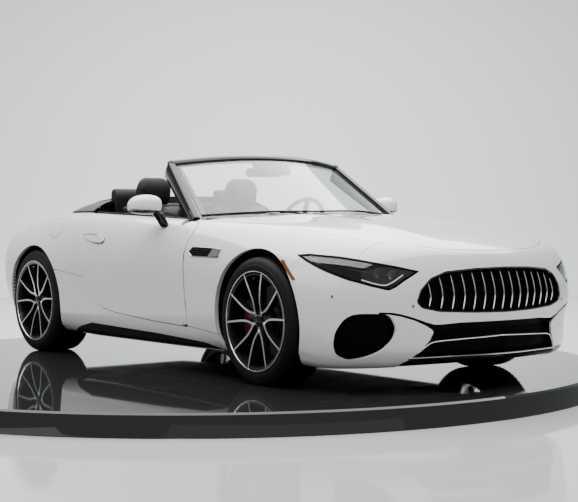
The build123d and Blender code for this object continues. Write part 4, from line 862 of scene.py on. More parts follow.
    def reflect(self, piece: Object, near: float = 0.0012) -> None:
        """Gives the outer faces of a panel the normals of the uncut body, for clean reflections.

        Args:
            piece: The panel.
            near: Corners closer than this to the body's surface take its normals.
        """
        mesh = piece.data
        corners = [Vector(n.vector) for n in mesh.corner_normals]
        for face in mesh.polygons:
            for index in face.loop_indices:
                place = mesh.vertices[mesh.loops[index].vertex_index].co
                found, normal, face_index, _ = self.tree.find_nearest(place, near)
                if found is None or face.normal.dot(normal) < SMOOTH_COSINE:
                    continue
                corners[index] = self._smooth_normal(found, face_index)
        mesh.normals_split_custom_set([tuple(n) for n in corners])

    def _smooth_normal(self, place: Vector, face_index: int) -> Vector:
        """Blends the body's vertex normals at a place on one of its faces."""
        self.solid.faces.ensure_lookup_table()
        total = Vector()
        for vert in self.solid.faces[face_index].verts:
            total += vert.normal / max(1e-5, (vert.co - place).length) ** 2
        return total.normalized()


def offset_outline(points: Sequence[Point2], amount: float) -> list[Point2]:
    """Moves an outline out by an amount, or in where it is negative, with mitred corners."""
    area = sum(a[0] * b[1] - b[0] * a[1] for a, b in zip(points, [*points[1:], points[0]]))
    side = amount if area > 0 else -amount
    result = []
    for before, here, after in zip([points[-1], *points[:-1]], points, [*points[1:], points[0]]):
        first = Vector((here[0] - before[0], here[1] - before[1])).normalized()
        second = Vector((after[0] - here[0], after[1] - here[1])).normalized()
        normals = Vector((first.y, -first.x)), Vector((second.y, -second.x))
        mitre = (normals[0] + normals[1]) / max(0.2, 1 + normals[0].dot(normals[1]))
        result.append((here[0] + side * mitre.x, here[1] + side * mitre.y))
    return result


def softened(outline: Sequence[Point2], rounds: int) -> list[Point2]:
    """Cuts the corners of a closed outline again and again, until it reads as one smooth curve."""
    points = list(outline)
    for _ in range(rounds):
        pairs = list(zip(points, [*points[1:], points[0]]))
        points = [(a[0] + (b[0] - a[0]) * share, a[1] + (b[1] - a[1]) * share) for a, b in pairs
                  for share in (0.2, 0.8)]
    return points


def whole(half: Sequence[Point2]) -> list[Point2]:
    """Returns a half outline with its mirror image across the car, as one closed outline."""
    return [*half, *((-u, v) for u, v in reversed(half) if u > 0)]


@dataclass
class BodyPanels:
    """Painted panels, cut from the body along its shut lines."""

    hull: BodyHull
    bonnet_edge: tuple[Point2, ...] = ((0, -2.282), (0.12, -2.276), (0.24, -2.252), (0.340, -2.222), (0.45, -2.155),
                                       (0.56, -2.062), (0.640, -1.975), (0.690, -1.82), (0.725, -1.62),
                                       (0.750, -1.370), (0.775, -1.10), (0.797, -0.850), (0.782, -0.660),
                                       (0.66, -0.725), (0.520, -0.790), (0.27, -0.853), (0, -0.880))
    bonnet_floor_z: float = 0.36
    boot_half: float = 0.60
    boot_front_y: float = 1.42
    boot_sill_z: float = 0.625
    door_edge: tuple[Point2, ...] = ((-0.650, 1.10), (-0.650, 0.925), (-0.618, 0.83), (-0.585, 0.726), (-0.588, 0.60),
                                     (-0.602, 0.43), (-0.620, 0.300), (-0.610, 0.286), (-0.236, 0.300), (0.238, 0.330),
                                     (0.40, 0.352), (0.490, 0.385), (0.575, 0.455), (0.645, 0.546), (0.705, 0.625),
                                     (0.750, 0.692), (0.778, 0.762), (0.792, 0.820), (0.800, 1.10))
    door_inner_x: float = 0.80
    door_flange: float = 0.016
    door_frame_y: float = -0.53
    notch: Point3 = (0.855, -0.45, 0.80)
    hinge: Point2 = (0.915, -0.56)
    hinge_heights: tuple[float, float] = (0.43, 0.70)
    pocket: tuple[float, float, float] = (0.08, 0.015, 0.018)  # ahead, behind and half height
    sweep: tuple[Point2, ...] = ((0.30, 0.0630), (0.48, 0.0445), (0.62, 0.0405), (0.726, 0.0320), (0.78, 0.0400),
                                 (0.83, 0.0640), (0.872, 0.0905), (REACH, 0.0905))
    grille_edge: tuple[Point2, ...] = ((0, 0.668), (0.20, 0.664), (0.379, 0.650), (0.468, 0.616), (0.525, 0.556),
                                       (0.547, 0.492), (0.520, 0.458), (0.420, 0.436), (0.21, 0.426), (0, 0.422))
    # the middle intake runs on as a thin slot over each blade, to the top of the side intake
    lower_intake: tuple[Point2, ...] = ((0, 0.379), (0.30, 0.378), (0.40, 0.371), (0.441, 0.371), (0.486, 0.384),
                                        (0.55, 0.408), (0.616, 0.429), (0.665, 0.4385), (0.72, 0.4405),
                                        (0.72, 0.4300), (0.675, 0.4280), (0.62, 0.4165), (0.55, 0.3940),
                                        (0.486, 0.3640), (0.452, 0.3420), (0.446, 0.328), (0.463, 0.286),
                                        (0.500, 0.240), (0.552, 0.186), (0, 0.178))
    side_intake: tuple[Point2, ...] = ((0.634, 0.356), (0.660, 0.412), (0.690, 0.432), (0.812, 0.433), (0.848, 0.402),
                                       (0.869, 0.338), (0.871, 0.268), (0.858, 0.214), (0.812, 0.186),
                                       (0.746, 0.205), (0.690, 0.240), (0.645, 0.298))
    side_intake_rear_y: float = -1.88
    splitter: tuple[Point2, ...] = ((0, 0.188), (0.548, 0.188), (0.575, 0.168), (0.590, 0.0), (0, 0.0))
    splitter_rear_y: float = -2.02
    # front view of the headlamp, open towards the fender, and its side view, open towards the middle
    headlamp: tuple[Point2, ...] = ((0.516, 0.651), (0.62, 0.678), (0.720, 0.702), (0.81, 0.728), (0.87, 0.765),
                                    (1.10, 0.800), (1.10, 0.612), (0.840, 0.605), (0.817, 0.600), (0.753, 0.574),
                                    (0.690, 0.555), (0.672, 0.553), (0.645, 0.566), (0.598, 0.601))
    headlamp_side: tuple[Point2, ...] = ((-REACH, 0.45), (-2.10, 0.545), (-2.033, 0.598), (-1.951, 0.628),
                                         (-1.863, 0.657), (-1.737, 0.701), (-1.668, 0.728), (-1.655, 0.736),
                                         (-1.75, 0.7415), (-1.941, 0.729), (-2.083, 0.715), (-REACH, 0.80))
    tail_lamp: tuple[Point2, ...] = ((0.30, 0.700), (0.60, 0.712), (0.80, 0.732), (0.98, 0.760), (0.98, 0.802),
                                     (0.80, 0.802), (0.60, 0.795), (0.30, 0.776))
    tail_lamp_front_y: float = 1.905
    bumper_top: Point2 = (-2.02, 0.705)
    bumper_lamp: Point2 = (-1.70, 0.728)
    bumper_arch: Point2 = (-1.60, 0.60)
    fender_foot: Point2 = (-0.957, 0.262)
    fender_inner_x: float = 0.61
    quarter_foot: Point2 = (0.985, 0.585)
    rear_bumper_z: float = 0.615
    rear_bumper_y: float = 1.65
    deck_floor_z: float = 0.36
    over: float = 1.10  # higher than any panel
    door_foot: tuple[Point2, ...] = ((-0.64, 0.290), (-0.56, 0.290))  # where fender and sill meet under the door
    cowl_edge: tuple[Point2, ...] = ((0, -0.90), (0.52, -0.785), (0.79, -0.66), (0.79, 0), (0, 0))
    fender_inner: tuple[Point3, Point3] = ((0, -0.67, 0.36), (0.788, 0, REACH))  # space of the dashboard's end
    quarter_front: tuple[Point2, ...] = ((0.645, 0.546), (0.40, 0.540))
    grille_rear_y: float = -2.0
    grille_corner: float = 0.012
    intake_rear_y: float = -2.05
    intake_corner: float = 0.002
    skirt: tuple[Point2, ...] = ((-0.93, 0.10), (-0.93, 0.172), (-0.775, 0.200), (-0.235, 0.223), (0.57, 0.242),
                                 (0.757, 0.206), (0.90, 0.160), (0.90, 0.10))
    sill_foot_x: float = 0.80
    diffuser: tuple[float, float, float] = (0.64, 1.98, 0.395)  # half width, front and top
    seam: float = 0.0035  # between fixed panels

    def __post_init__(self) -> None:
        """Works out the tools that several panels share."""
        body = self.hull
        right = block((-REACH, -REACH, -1), (0, REACH, REACH))
        self.left_shell = boolean(body.shell.copy(), right, "DIFFERENCE")
        right.free()
        self.side_intake = tuple(softened(self.side_intake, 2))
        self.bonnet_tool = prism(whole(self.bonnet_edge), Axis.Z, self.bonnet_floor_z, REACH)
        self.bonnet_hole = prism(offset_outline(whole(self.bonnet_edge), GAP), Axis.Z, self.bonnet_floor_z, REACH)
        lid = (-self.boot_half, self.boot_front_y, self.boot_sill_z), (self.boot_half, REACH, REACH)
        self.boot_tool = block(*lid)
        gap = Vector((GAP, GAP, GAP))
        self.boot_hole = block(Vector(lid[0]) - gap, Vector(lid[1]) + gap)
        self.headlamp_hole = self.headlamp_tool(0.0)
        self.tail_lamp_hole = prism(self.tail_lamp, Axis.Y, self.tail_lamp_front_y, REACH)
        self.arch_tools = [turned([(0, 0), (0, radius), (1, radius), (1, 0)],
                                  (body.arch_inner_x, axle_y, body.axle_z), (1, 0, 0), 96)
                           for axle_y, radius in body.arches]

    def headlamp_tool(self, grow: float) -> BMesh:
        """Returns the space of the left headlamp, where its front and side views cross."""
        ahead = prism(offset_outline(self.headlamp, grow), Axis.Y, -REACH, -1.5)
        beside = prism(offset_outline(self.headlamp_side, grow), Axis.X, 0.3, REACH)
        tool = boolean(ahead, beside, "INTERSECT")
        beside.free()
        return tool

    def _cone(self, clearance: float) -> BMesh:
        """Returns the space that the door's leading edge turns in, grown by a clearance."""
        heights = [(z, r + clearance) for z, r in self.sweep]
        profile = [(heights[0][0], 0.0), *heights, (heights[-1][0], 0.0)]
        return turned(profile, (*self.hinge, 0.0), (0, 0, 1), 72)

    def _cuts(self, bm: BMesh, *tools: BMesh) -> BMesh:
        """Subtracts several tools one after the other."""
        for tool in tools:
            bm = boolean(bm, tool, "DIFFERENCE")
        return bm

    def _side_part(self, outline: Sequence[Point2], x_from: float = 0.0) -> BMesh:
        """Returns the left half of the shell over a side-view outline."""
        return boolean(self.left_shell.copy(), prism(outline, Axis.X, x_from, REACH), "INTERSECT")

    def door_opening(self) -> list[BMesh]:
        """Returns the tools that clear a fixed panel for the left door."""
        notch = block((0, -REACH, self.notch[2]), (self.notch[0], self.notch[1], REACH))
        hole = prism(offset_outline(self.door_edge, GAP / 2), Axis.X, self.door_inner_x - 0.06, REACH)
        hole = boolean(hole, notch, "DIFFERENCE")
        return [hole, self._cone(GAP)]

    def bonnet(self) -> BMesh:
        """Cuts the bonnet from the shell."""
        return boolean(self.hull.shell.copy(), self.bonnet_tool, "INTERSECT")

    def boot_lid(self) -> BMesh:
        """Cuts the boot lid from the shell."""
        lid = boolean(self.hull.shell.copy(), self.boot_tool, "INTERSECT")
        return self._cuts(lid, self.tail_lamp_hole, mirrored(self.tail_lamp_hole))

    def door(self) -> BMesh:
        """Cuts the left door: its skin, and the frame behind it set back for the flange."""
        skin = self._side_part(offset_outline(self.door_edge, -GAP / 2), self.door_inner_x)
        inset = prism(offset_outline(self.door_edge, -self.door_flange), Axis.X, self.door_inner_x, REACH)
        frame_part = boolean(self.hull.offset(PANEL / 2), inset, "INTERSECT")
        ahead = block((0, -REACH, -1), (REACH, self.door_frame_y, REACH))
        frame_part = boolean(frame_part, ahead, "DIFFERENCE")
        door = boolean(skin, frame_part, "UNION")
        beyond = block((0, -REACH, -1), (REACH, self.hinge[1], REACH))
        notch = block((0, -REACH, self.notch[2] - GAP), (self.notch[0] + GAP, self.notch[1] + GAP, REACH))
        cone = self._cone(0.0)
        door = self._cuts(door, boolean(beyond, cone, "DIFFERENCE"), boolean(notch, cone, "DIFFERENCE"))
        forward, back, half = self.pocket
        for height in self.hinge_heights:
            pocket = block((self.door_inner_x - 0.001, self.hinge[1] - forward, height - half),
                           (self.hinge[0] + 0.011, self.hinge[1] + back, height + half))
            door = boolean(door, pocket, "DIFFERENCE")
        return door

    def front_fender(self) -> BMesh:
        """Cuts the left front fender."""
        region = [self.bumper_top, self.bumper_lamp, self.bumper_arch, (self.bumper_arch[0], 0.30), (-1.10, 0.262),
                  self.fender_foot, *self.door_foot, (self.door_foot[-1][0], self.over),
                  (self.bumper_top[0], self.over)]
        fender = self._side_part(offset_outline(region, -self.seam / 2), self.fender_inner_x)
        screen = prism(self.cowl_edge, Axis.Z, 0, REACH)
        return self._cuts(fender, self.bonnet_hole, *self.door_opening(), self.headlamp_hole,
                          block(*self.fender_inner), screen, *self.arch_tools)

    def rear_quarter(self) -> BMesh:
        """Cuts the left rear quarter."""
        region = [self.quarter_foot, *self.quarter_front, (self.quarter_front[-1][0], self.over), (REACH, self.over),
                  (REACH, self.rear_bumper_z), (self.rear_bumper_y, self.rear_bumper_z)]
        quarter = self._side_part(offset_outline(region, -self.seam / 2))
        # the tool reaches past the middle plane, where the panel's own end lies
        deck = prism([*DECK_OPENING, (-PANEL, 1.396), (-PANEL, 0), (0.77, 0)], Axis.Z, self.deck_floor_z, REACH)
        return self._cuts(quarter, deck, self.boot_hole, *self.door_opening(), self.tail_lamp_hole, *self.arch_tools)

    def rear_bumper(self) -> BMesh:
        """Cuts the rear bumper."""
        low = block((-REACH, self.rear_bumper_y, -1), (REACH, REACH, self.rear_bumper_z))
        half_width, front_y, top = self.diffuser
        bumper = boolean(self.hull.shell.copy(), low, "INTERSECT")
        opening = block((-half_width, front_y, -1), (half_width, REACH, top))
        arches = [tool for arch in self.arch_tools for tool in (arch, mirrored(arch))]
        return self._cuts(bumper, self.boot_hole, opening, *arches)

    def front_bumper(self) -> BMesh:
        """Cuts the front bumper with its grille, intakes and lamp openings."""
        region = [self.bumper_top, self.bumper_lamp, self.bumper_arch, (self.bumper_arch[0], -1), (-REACH, -1),
                  (-REACH, self.over), (self.bumper_top[0], self.over)]
        tool = prism(offset_outline(region, -self.seam / 2), Axis.X, -REACH, REACH)
        bumper = boolean(self.hull.shell.copy(), tool, "INTERSECT")
        middle = [prism(whole(self.grille_edge), Axis.Y, -REACH, self.grille_rear_y, self.grille_corner),
                  prism(whole(self.lower_intake), Axis.Y, -REACH, self.intake_rear_y, self.intake_corner),
                  prism(whole(self.splitter), Axis.Y, -REACH, self.splitter_rear_y)]
        intake = prism(self.side_intake, Axis.Y, -REACH, self.side_intake_rear_y)
        sides = [intake, self.headlamp_hole, *self.arch_tools]
        return self._cuts(bumper, self.bonnet_hole, *middle, *sides, *(mirrored(tool) for tool in sides))

    def sill(self) -> BMesh:
        """Cuts the left sill panel between the door and the dark skirt."""
        front_y, rear_y = FRONT_HUB[1], REAR_HUB[1]
        region = [self.fender_foot, *self.door_foot, *self.quarter_front[::-1], self.quarter_foot,
                  (rear_y, self.quarter_foot[1]), (rear_y, -1), (front_y, -1), (front_y, self.fender_foot[1])]
        sill = self._side_part(offset_outline(region, -self.seam / 2), self.sill_foot_x)
        skirt = prism(offset_outline(self.skirt, self.seam), Axis.X, 0.5, REACH)
        return self._cuts(sill, *self.door_opening(), skirt, *self.arch_tools)

    def side_skirt(self) -> BMesh:
        """Cuts the left dark skirt under the sill."""
        return self._side_part(self.skirt, self.sill_foot_x)

    def build(self) -> None:
        """Publishes every painted panel and the dark skirts."""
        centre = (("bonnet", self.bonnet(), "bonnet"), ("boot_lid", self.boot_lid(), "boot_lid"),
                  ("rear_bumper", self.rear_bumper(), "car"), ("front_bumper", self.front_bumper(), "car"))
        for name, bm, body in centre:
            self.hull.reflect(publish(f"{name}_panel", bm, WHITE_PAINT, body, [name]))
        pairs = (("door", self.door(), "door_left"), ("front_fender", self.front_fender(), "car"),
                 ("rear_quarter", self.rear_quarter(), "car"), ("sill", self.sill(), "car"))
        for name, bm, body in pairs:
            for piece in publish_pair(f"{name}_panel", bm, WHITE_PAINT, body, name):
                self.hull.reflect(piece)
        skirt = self.side_skirt()
        both = joined(mirrored(skirt), skirt)
        self.hull.reflect(publish("side_skirt_covers", both, GLOSS_BLACK, "car", ["side_skirts"]))


# ------------------------------------------------------------------ front
def strip(hull: BodyHull, outline: Sequence[Point2], radius: float, depth: float, closed: bool = False) -> BMesh:
    """Makes a round bar that follows the nose along a front-view line.

    Args:
        hull: The body.
        outline: The line, as (x, z) points.
        radius: Radius of the bar.
        depth: How far behind the surface its centre lies.
        closed: Whether it is a ring.

    Returns:
        The bar.
    """
    return tube([(x, hull.nose_y(x, z) + depth, z) for x, z in outline], radius, closed)


def divided(outline: Sequence[Point2], step: float, closed: bool = False) -> list[Point2]:
    """Returns an outline with extra points, so that no run is much longer than step."""
    runs = list(zip(outline, [*outline[1:], outline[0]] if closed else outline[1:]))
    points: list[Point2] = []
    for (u0, v0), (u1, v1) in runs:
        count = max(1, round(math.hypot(u1 - u0, v1 - v0) / step))
        points += [(u0 + (u1 - u0) * k / count, v0 + (v1 - v0) * k / count) for k in range(count)]
    return points if closed else [*points, outline[-1]]


def across(half: Sequence[Point2]) -> list[Point2]:
    """Completes a line that starts on the centreline, from its mirrored end to its end."""
    return [*((-x, z) for x, z in reversed(half[1:])), *half]


@dataclass
class FrontEnd:
    """Grille, intakes and lip of the nose."""

    hull: BodyHull
    panels: BodyPanels
    slat_count: int = 15
    slat_pitch: float = 0.066
    slat_width: float = 0.0080
    slat_depth: float = 0.040
    slat_recess: float = 0.010
    slat_gap: float = 0.010  # between a slat's ends and the surround
    slat_kink: float = -0.18  # where a slat stands furthest forward, as a share of its half height
    slat_bow: float = 0.020  # how far a slat's ends fall back
    slat_rounding: float = 0.45  # share of the width
    frame_radius: float = 0.0055
    sensor_places: tuple[Point2, ...] = ((0.560, 0.470), (0.880, 0.520))
    wall_depth: float = 0.05
    backing_grow: float = 0.012  # how far a dark lining reaches past its opening
    duct_back_y: float = -2.03
    side_corner: float = 0.010
    side_back_y: float = -1.89
    net_depths: Point2 = (0.034, 0.036)  # middle and side intake
    mesh_pitch: float = 0.026
    mesh_wire: float = 0.0028
    blade_line: tuple[Point2, ...] = ((0, 0.299), (0.27, 0.290), (0.40, 0.283), (0.446, 0.277), (0.476, 0.256),
                                      (0.535, 0.198))
    lip_line: tuple[Point2, ...] = ((0, 0.198), (0.30, 0.197), (0.56, 0.193))

    def _grille_span(self, x: float) -> Point2:
        """Returns the lowest and highest z of the grille's opening at x."""
        edge = self.panels.grille_edge
        tip = max(range(len(edge)), key=lambda i: edge[i][0])

        def height(line: Sequence[Point2]) -> float:
            """Returns the height of one line of the edge at x."""
            for (x0, z0), (x1, z1) in zip(line, line[1:]):
                if min(x0, x1) <= x <= max(x0, x1):
                    return z0 + (z1 - z0) * (x - x0) / (x1 - x0)
            return line[-1][1]

        return height(edge[tip:]), height(edge[:tip + 1])

    def _slat(self, x: float) -> BMesh:
        """Builds one upright slat with a rounded, gently bowed bright front."""
        low, high = self._grille_span(abs(x))
        low, high = low + self.slat_gap, high - self.slat_gap
        bar = block((x - self.slat_width / 2, 0, low), (x + self.slat_width / 2, self.slat_depth, high))
        middle, half = (low + high) / 2, (high - low) / 2
        front = [e for e in uprights(bar, half) if all(v.co.y < self.slat_depth / 2 for v in e.verts)]
        bmesh.ops.bevel(bar, geom=front, offset=self.slat_width * self.slat_rounding, segments=3, profile=0.5,
                        affect="EDGES", material=-1)
        bmesh.ops.subdivide_edges(bar, edges=uprights(bar, half), cuts=9, use_grid_fill=True)

        def bow(v: Vector) -> Vector:
            """Sets a point behind the nose and bends it back towards the slat's ends."""
            share = abs((v.z - middle) / half - self.slat_kink)
            recess = self.slat_recess + self.slat_bow * share ** 1.4
            return Vector((v.x, self.hull.nose_y(x, v.z) + recess + v.y, v.z))

        bar = moved(bar, bow)
        bar.normal_update()
        for face in bar.faces:
            centre = face.calc_center_median()
            behind = centre.y - self.hull.nose_y(x, centre.z) - self.slat_recess
            face.material_index = 0 if face.normal.y < -0.25 or behind < 0.004 else 1
        return bar

    def _backing(self, outline: Sequence[Point2], rear_y: float) -> BMesh:
        """Returns the dark lining behind an opening."""
        tool = prism(offset_outline(outline, self.backing_grow), Axis.Y, -REACH, rear_y)
        lining = boolean(self.hull.lining.copy(), tool, "INTERSECT")
        tool.free()
        return lining

    def _wall(self, outline: Sequence[Point2], corner: float, rear_y: float) -> BMesh:
        """Returns the dark tunnel wall that runs back from an opening's edge."""
        body = boolean(self.hull.offset(0.012), self.hull.offset(self.wall_depth), "DIFFERENCE")
        outer = prism(offset_outline(outline, 0.006), Axis.Y, -REACH, rear_y, corner)
        inner = prism(offset_outline(outline, -0.003), Axis.Y, -REACH, rear_y + 0.01, corner)
        wall = boolean(body, outer, "INTERSECT")
        return boolean(wall, inner, "DIFFERENCE")

    def _net(self, outline: Sequence[Point2], depth: float) -> BMesh:
        """Returns a net of slanted wires over an opening, set behind the nose."""
        low_x, high_x = min(p[0] for p in outline), max(p[0] for p in outline)
        low_z, high_z = min(p[1] for p in outline), max(p[1] for p in outline)
        rise, half = high_z - low_z, self.mesh_wire / 2
        count = int((high_x - low_x + rise) / self.mesh_pitch)
        wires: list[BMesh] = []
        for lean in (1, -1):
            for k in range(count):
                x0 = low_x + (k * self.mesh_pitch - (rise if lean > 0 else 0))
                x1 = x0 + lean * rise
                wire = block((-0.5, -half, -half), (0.5, half, half))
                span = Vector((x1 - x0, 0, rise))
                bmesh.ops.scale(wire, vec=(span.length, 1, 1), verts=wire.verts[:])
                long_edges = [e for e in wire.edges if e.calc_length() > span.length / 2]
                bmesh.ops.subdivide_edges(wire, edges=long_edges, cuts=4, use_grid_fill=True)
                turn = Matrix.Rotation(-math.atan2(rise, x1 - x0), 4, "Y")
                middle = Vector(((x0 + x1) / 2, 0, (low_z + high_z) / 2))
                bmesh.ops.transform(wire, matrix=Matrix.Translation(middle) @ turn, verts=wire.verts[:])
                wires.append(wire)
        net = joined(*wires)
        net = moved(net, lambda v: Vector((v.x, self._soft_nose(v.x, v.z) + depth + v.y, v.z)))
        inside = {v for v in net.verts if self._inside(outline, v.co.x, v.co.z)}
        bmesh.ops.delete(net, geom=[v for v in net.verts if v not in inside], context="VERTS")
        return net

    def _soft_nose(self, x: float, z: float) -> float:
        """Returns the nose's y, kept within the part of it that faces forward."""
        return self.hull.nose_y(max(-0.86, min(0.86, x)), max(0.21, min(0.70, z)))

    @staticmethod
    def _inside(outline: Sequence[Point2], x: float, z: float) -> bool:
        """Tells whether a point lies inside an outline."""
        inside = False
        for (x0, z0), (x1, z1) in zip(outline, [*outline[1:], outline[0]]):
            if (z0 > z) != (z1 > z) and x < (x1 - x0) * (z - z0) / (z1 - z0) + x0:
                inside = not inside
        return inside

    def _sensors(self) -> BMesh:
        """Builds the parking sensors' small round faces on the left half of the bumper."""
        face = [(-0.0008, 0), (-0.0008, 0.0080), (0.0030, 0.0088), (0.0030, 0)]
        return joined(*(turned(face, (x, self.hull.nose_y(x, z), z), (0, 1, 0), 24, closed=False)
                        for x, z in self.sensor_places))

    def _splitter(self) -> BMesh:
        """Returns the dark lower edge of the nose, under the middle intake."""
        body = boolean(self.hull.offset(0.003), self.hull.offset(0.030), "DIFFERENCE")
        region = prism(offset_outline(whole(self.panels.splitter), -0.002), Axis.Y, -REACH,
                       self.panels.splitter_rear_y - 0.002)
        return boolean(body, region, "INTERSECT")

    def build(self) -> None:
        """Publishes the grille, the intakes and their trim."""
        grille = whole(self.panels.grille_edge)
        lower = whole(self.panels.lower_intake)
        side = list(self.panels.side_intake)
        half = self.slat_count // 2
        slats = joined(*(self._slat(k * self.slat_pitch) for k in range(-half, half + 1)))
        publish("grille_slats", slats, (CHROME, MESH_BLACK), "car")
        grille_y, intake_y = self.panels.grille_rear_y, self.panels.intake_rear_y
        surround = joined(self._wall(grille, self.panels.grille_corner, grille_y), self._backing(grille, grille_y))
        publish("grille_surround", surround, MESH_BLACK, "car", ["grille"])
        ring = strip(self.hull, divided(offset_outline(grille, -0.004), 0.05, True), self.frame_radius, 0.006, True)
        publish("grille_ring", ring, GLOSS_BLACK, "car")
        duct = joined(self._wall(lower, self.panels.intake_corner, intake_y), self._backing(lower, self.duct_back_y))
        side_wall = self._wall(side, self.side_corner, self.panels.side_intake_rear_y)
        side_back = self._backing(side, self.side_back_y)
        duct = joined(duct, mirrored(side_wall), side_wall, mirrored(side_back), side_back)
        publish("intake_ducts", duct, MESH_BLACK, "car", ["lower_grille"])
        nets = [self._net(outline, depth) for outline, depth in zip((lower, side), self.net_depths)]
        nets.append(mirrored(nets[1]))
        publish("intake_nets", joined(*nets), MESH_BLACK, "car")
        publish("front_splitter", self._splitter(), GLOSS_BLACK, "car")
        publish_pair("parking_sensor", self._sensors(), PANEL_GREY, "car")
        bright = [strip(self.hull, divided(across(self.blade_line), 0.04), 0.0042, 0.006),
                  strip(self.hull, divided(across(self.lip_line), 0.04), 0.0048, 0.001)]
        publish("lower_bright_lines", joined(*bright), CHROME, "car")


# ------------------------------------------------------------------ lamps
@dataclass
class Lamps:
    """Headlamps, tail lamps, side markers and reflectors."""

    hull: BodyHull
    panels: BodyPanels
    lens_inset: float = 0.002
    lens_wall: float = 0.004
    bowl_depth: float = 0.085
    bezel: float = 0.020
    frame_width: float = 0.0125
    light_line: tuple[Point2, ...] = ((0.775, 0.608), (0.735, 0.590), (0.695, 0.579), (0.674, 0.581), (0.640, 0.602),
                                      (0.597, 0.632))
    brow_line: tuple[Point2, ...] = ((0.545, 0.648), (0.60, 0.662), (0.70, 0.686), (0.80, 0.708), (0.86, 0.722))
    projector_places: tuple[Point2, ...] = ((0.640, 0.632), (0.702, 0.643))
    projector_radius: float = 0.0185
    # depths of a unit's barrel, bright ring and glass behind the nose
    unit_depth: float = 0.030
    ring_depth: float = 0.029
    dome_depth: float = 0.036
    dome_share: float = 0.92  # of the unit's radius
    fin_drops: tuple[float, ...] = (0.026, 0.046, 0.066)  # under the brow's line
    # the tail lamp's two parts meet at the boot lid's edge
    lamp_on_lid: tuple[Point2, ...] = ((0.30, 0.700), (0.594, 0.712), (0.594, 0.795), (0.30, 0.776))
    lamp_split: tuple[Point2, Point2] = ((0.606, 0.712), (0.606, 0.795))
    marker: tuple[Point2, ...] = ((-1.686, 0.598), (-1.708, 0.604), (-1.584, 0.706), (-1.558, 0.705))
    reflector: tuple[Point2, ...] = ((0.60, 0.472), (0.78, 0.478), (0.78, 0.494), (0.60, 0.490))

    def _lens(self, tool: BMesh) -> BMesh:
        """Returns the thin cover of a lamp, just inside the body's surface, within a tool that is freed."""
        cover = boolean(self.hull.offset(self.lens_inset), self.hull.offset(self.lens_inset + self.lens_wall),
                        "DIFFERENCE")
        cover = boolean(cover, tool, "INTERSECT")
        tool.free()
        return cover

    def _bowl(self, outer: BMesh, inner: BMesh, depth: float) -> BMesh:
        """Returns the dark housing behind a lamp's cover, between an outer and an inner tool."""
        housing = boolean(boolean(self.hull.offset(0.009), self.hull.offset(depth), "DIFFERENCE"), outer, "INTERSECT")
        hollow = boolean(self.hull.offset(0.0), self.hull.offset(depth - 0.006), "DIFFERENCE")
        return boolean(housing, boolean(hollow, inner, "INTERSECT"), "DIFFERENCE")

    def _units(self, profile: Sequence[Point2], depth: float, closed: bool = False) -> BMesh:
        """Turns one profile at every round lamp unit, at a depth behind the nose."""
        return joined(*(turned(profile, (x, self.hull.nose_y(x, z) + depth, z), (0, 1, 0), 32, closed)
                        for x, z in self.projector_places))

    def _headlamp(self) -> None:
        """Publishes the headlamps."""
        tool = self.panels.headlamp_tool
        publish_pair("headlamp_cover", self._lens(tool(-self.frame_width)), LAMP_GLASS, "car")
        edge = boolean(self._lens(tool(-0.0016)), tool(-self.frame_width), "DIFFERENCE")
        publish_pair("headlamp_edge", edge, MESH_BLACK, "car")
        bowl = self._bowl(tool(-0.0008), tool(-self.bezel), self.bowl_depth)
        shells = joined(mirrored(bowl), bowl)
        publish("headlamp_bowls", shells, MESH_BLACK, "car", ["headlamps"])
        fins = []
        for k, drop in enumerate(self.fin_drops):
            line = [(x, z - drop) for x, z in self.brow_line[1:5 - k]]
            fins.append(strip(self.hull, divided(line, 0.04), 0.0024, 0.040 + 0.006 * k))
        publish_pair("headlamp_fins", joined(*fins), DARK_ALLOY, "car")
        radius = self.projector_radius
        barrel = [(0.03, 0), (0.03, radius + 0.006), (0, radius + 0.006), (0, radius), (0.012, radius * 0.8),
                  (0.012, 0)]
        publish_pair("headlamp_units", self._units(barrel, self.unit_depth), DARK_ALLOY, "car")
        ring = [(-0.001, radius), (-0.001, radius + 0.0035), (0.002, radius + 0.0035), (0.002, radius)]
        publish_pair("headlamp_rings", self._units(ring, self.ring_depth, True), CHROME, "car")
        radius *= self.dome_share
        arc = [(-math.cos(math.radians(a)) * radius * 0.45, math.sin(math.radians(a)) * radius)
               for a in range(0, 91, 15)]
        dome = [*arc, (0.002, radius), (0.002, 0)]
        publish_pair("headlamp_domes", self._units(dome, self.dome_depth), LAMP_GLASS, "car")
        guide = strip(self.hull, divided(self.light_line, 0.02), 0.0028, 0.013)
        publish_pair("headlamp_light_guide", guide, LED_WHITE, "car")

    def _tail_lamp(self) -> None:
        """Publishes the tail lamps."""
        limit = self.panels.tail_lamp_front_y
        outer = (self.lamp_split[0], *self.panels.tail_lamp[2:6], self.lamp_split[1])
        for name, part, body, nodes in (("tail_lamp", outer, "car", ["tail_lamps"]),
                                        ("boot_lamp", self.lamp_on_lid, "boot_lid", [])):
            cover = self._lens(prism(offset_outline(part, -0.002), Axis.Y, limit, REACH))
            bowl = self._bowl(prism(offset_outline(part, -0.0005), Axis.Y, limit, REACH),
                              prism(offset_outline(part, -0.006), Axis.Y, limit + 0.01, REACH), 0.05)
            publish_pair(f"{name}_cover", cover, RED_LENS, body)
            publish(f"{name}_bowls", joined(mirrored(bowl), bowl), GLOSS_BLACK, body, nodes)

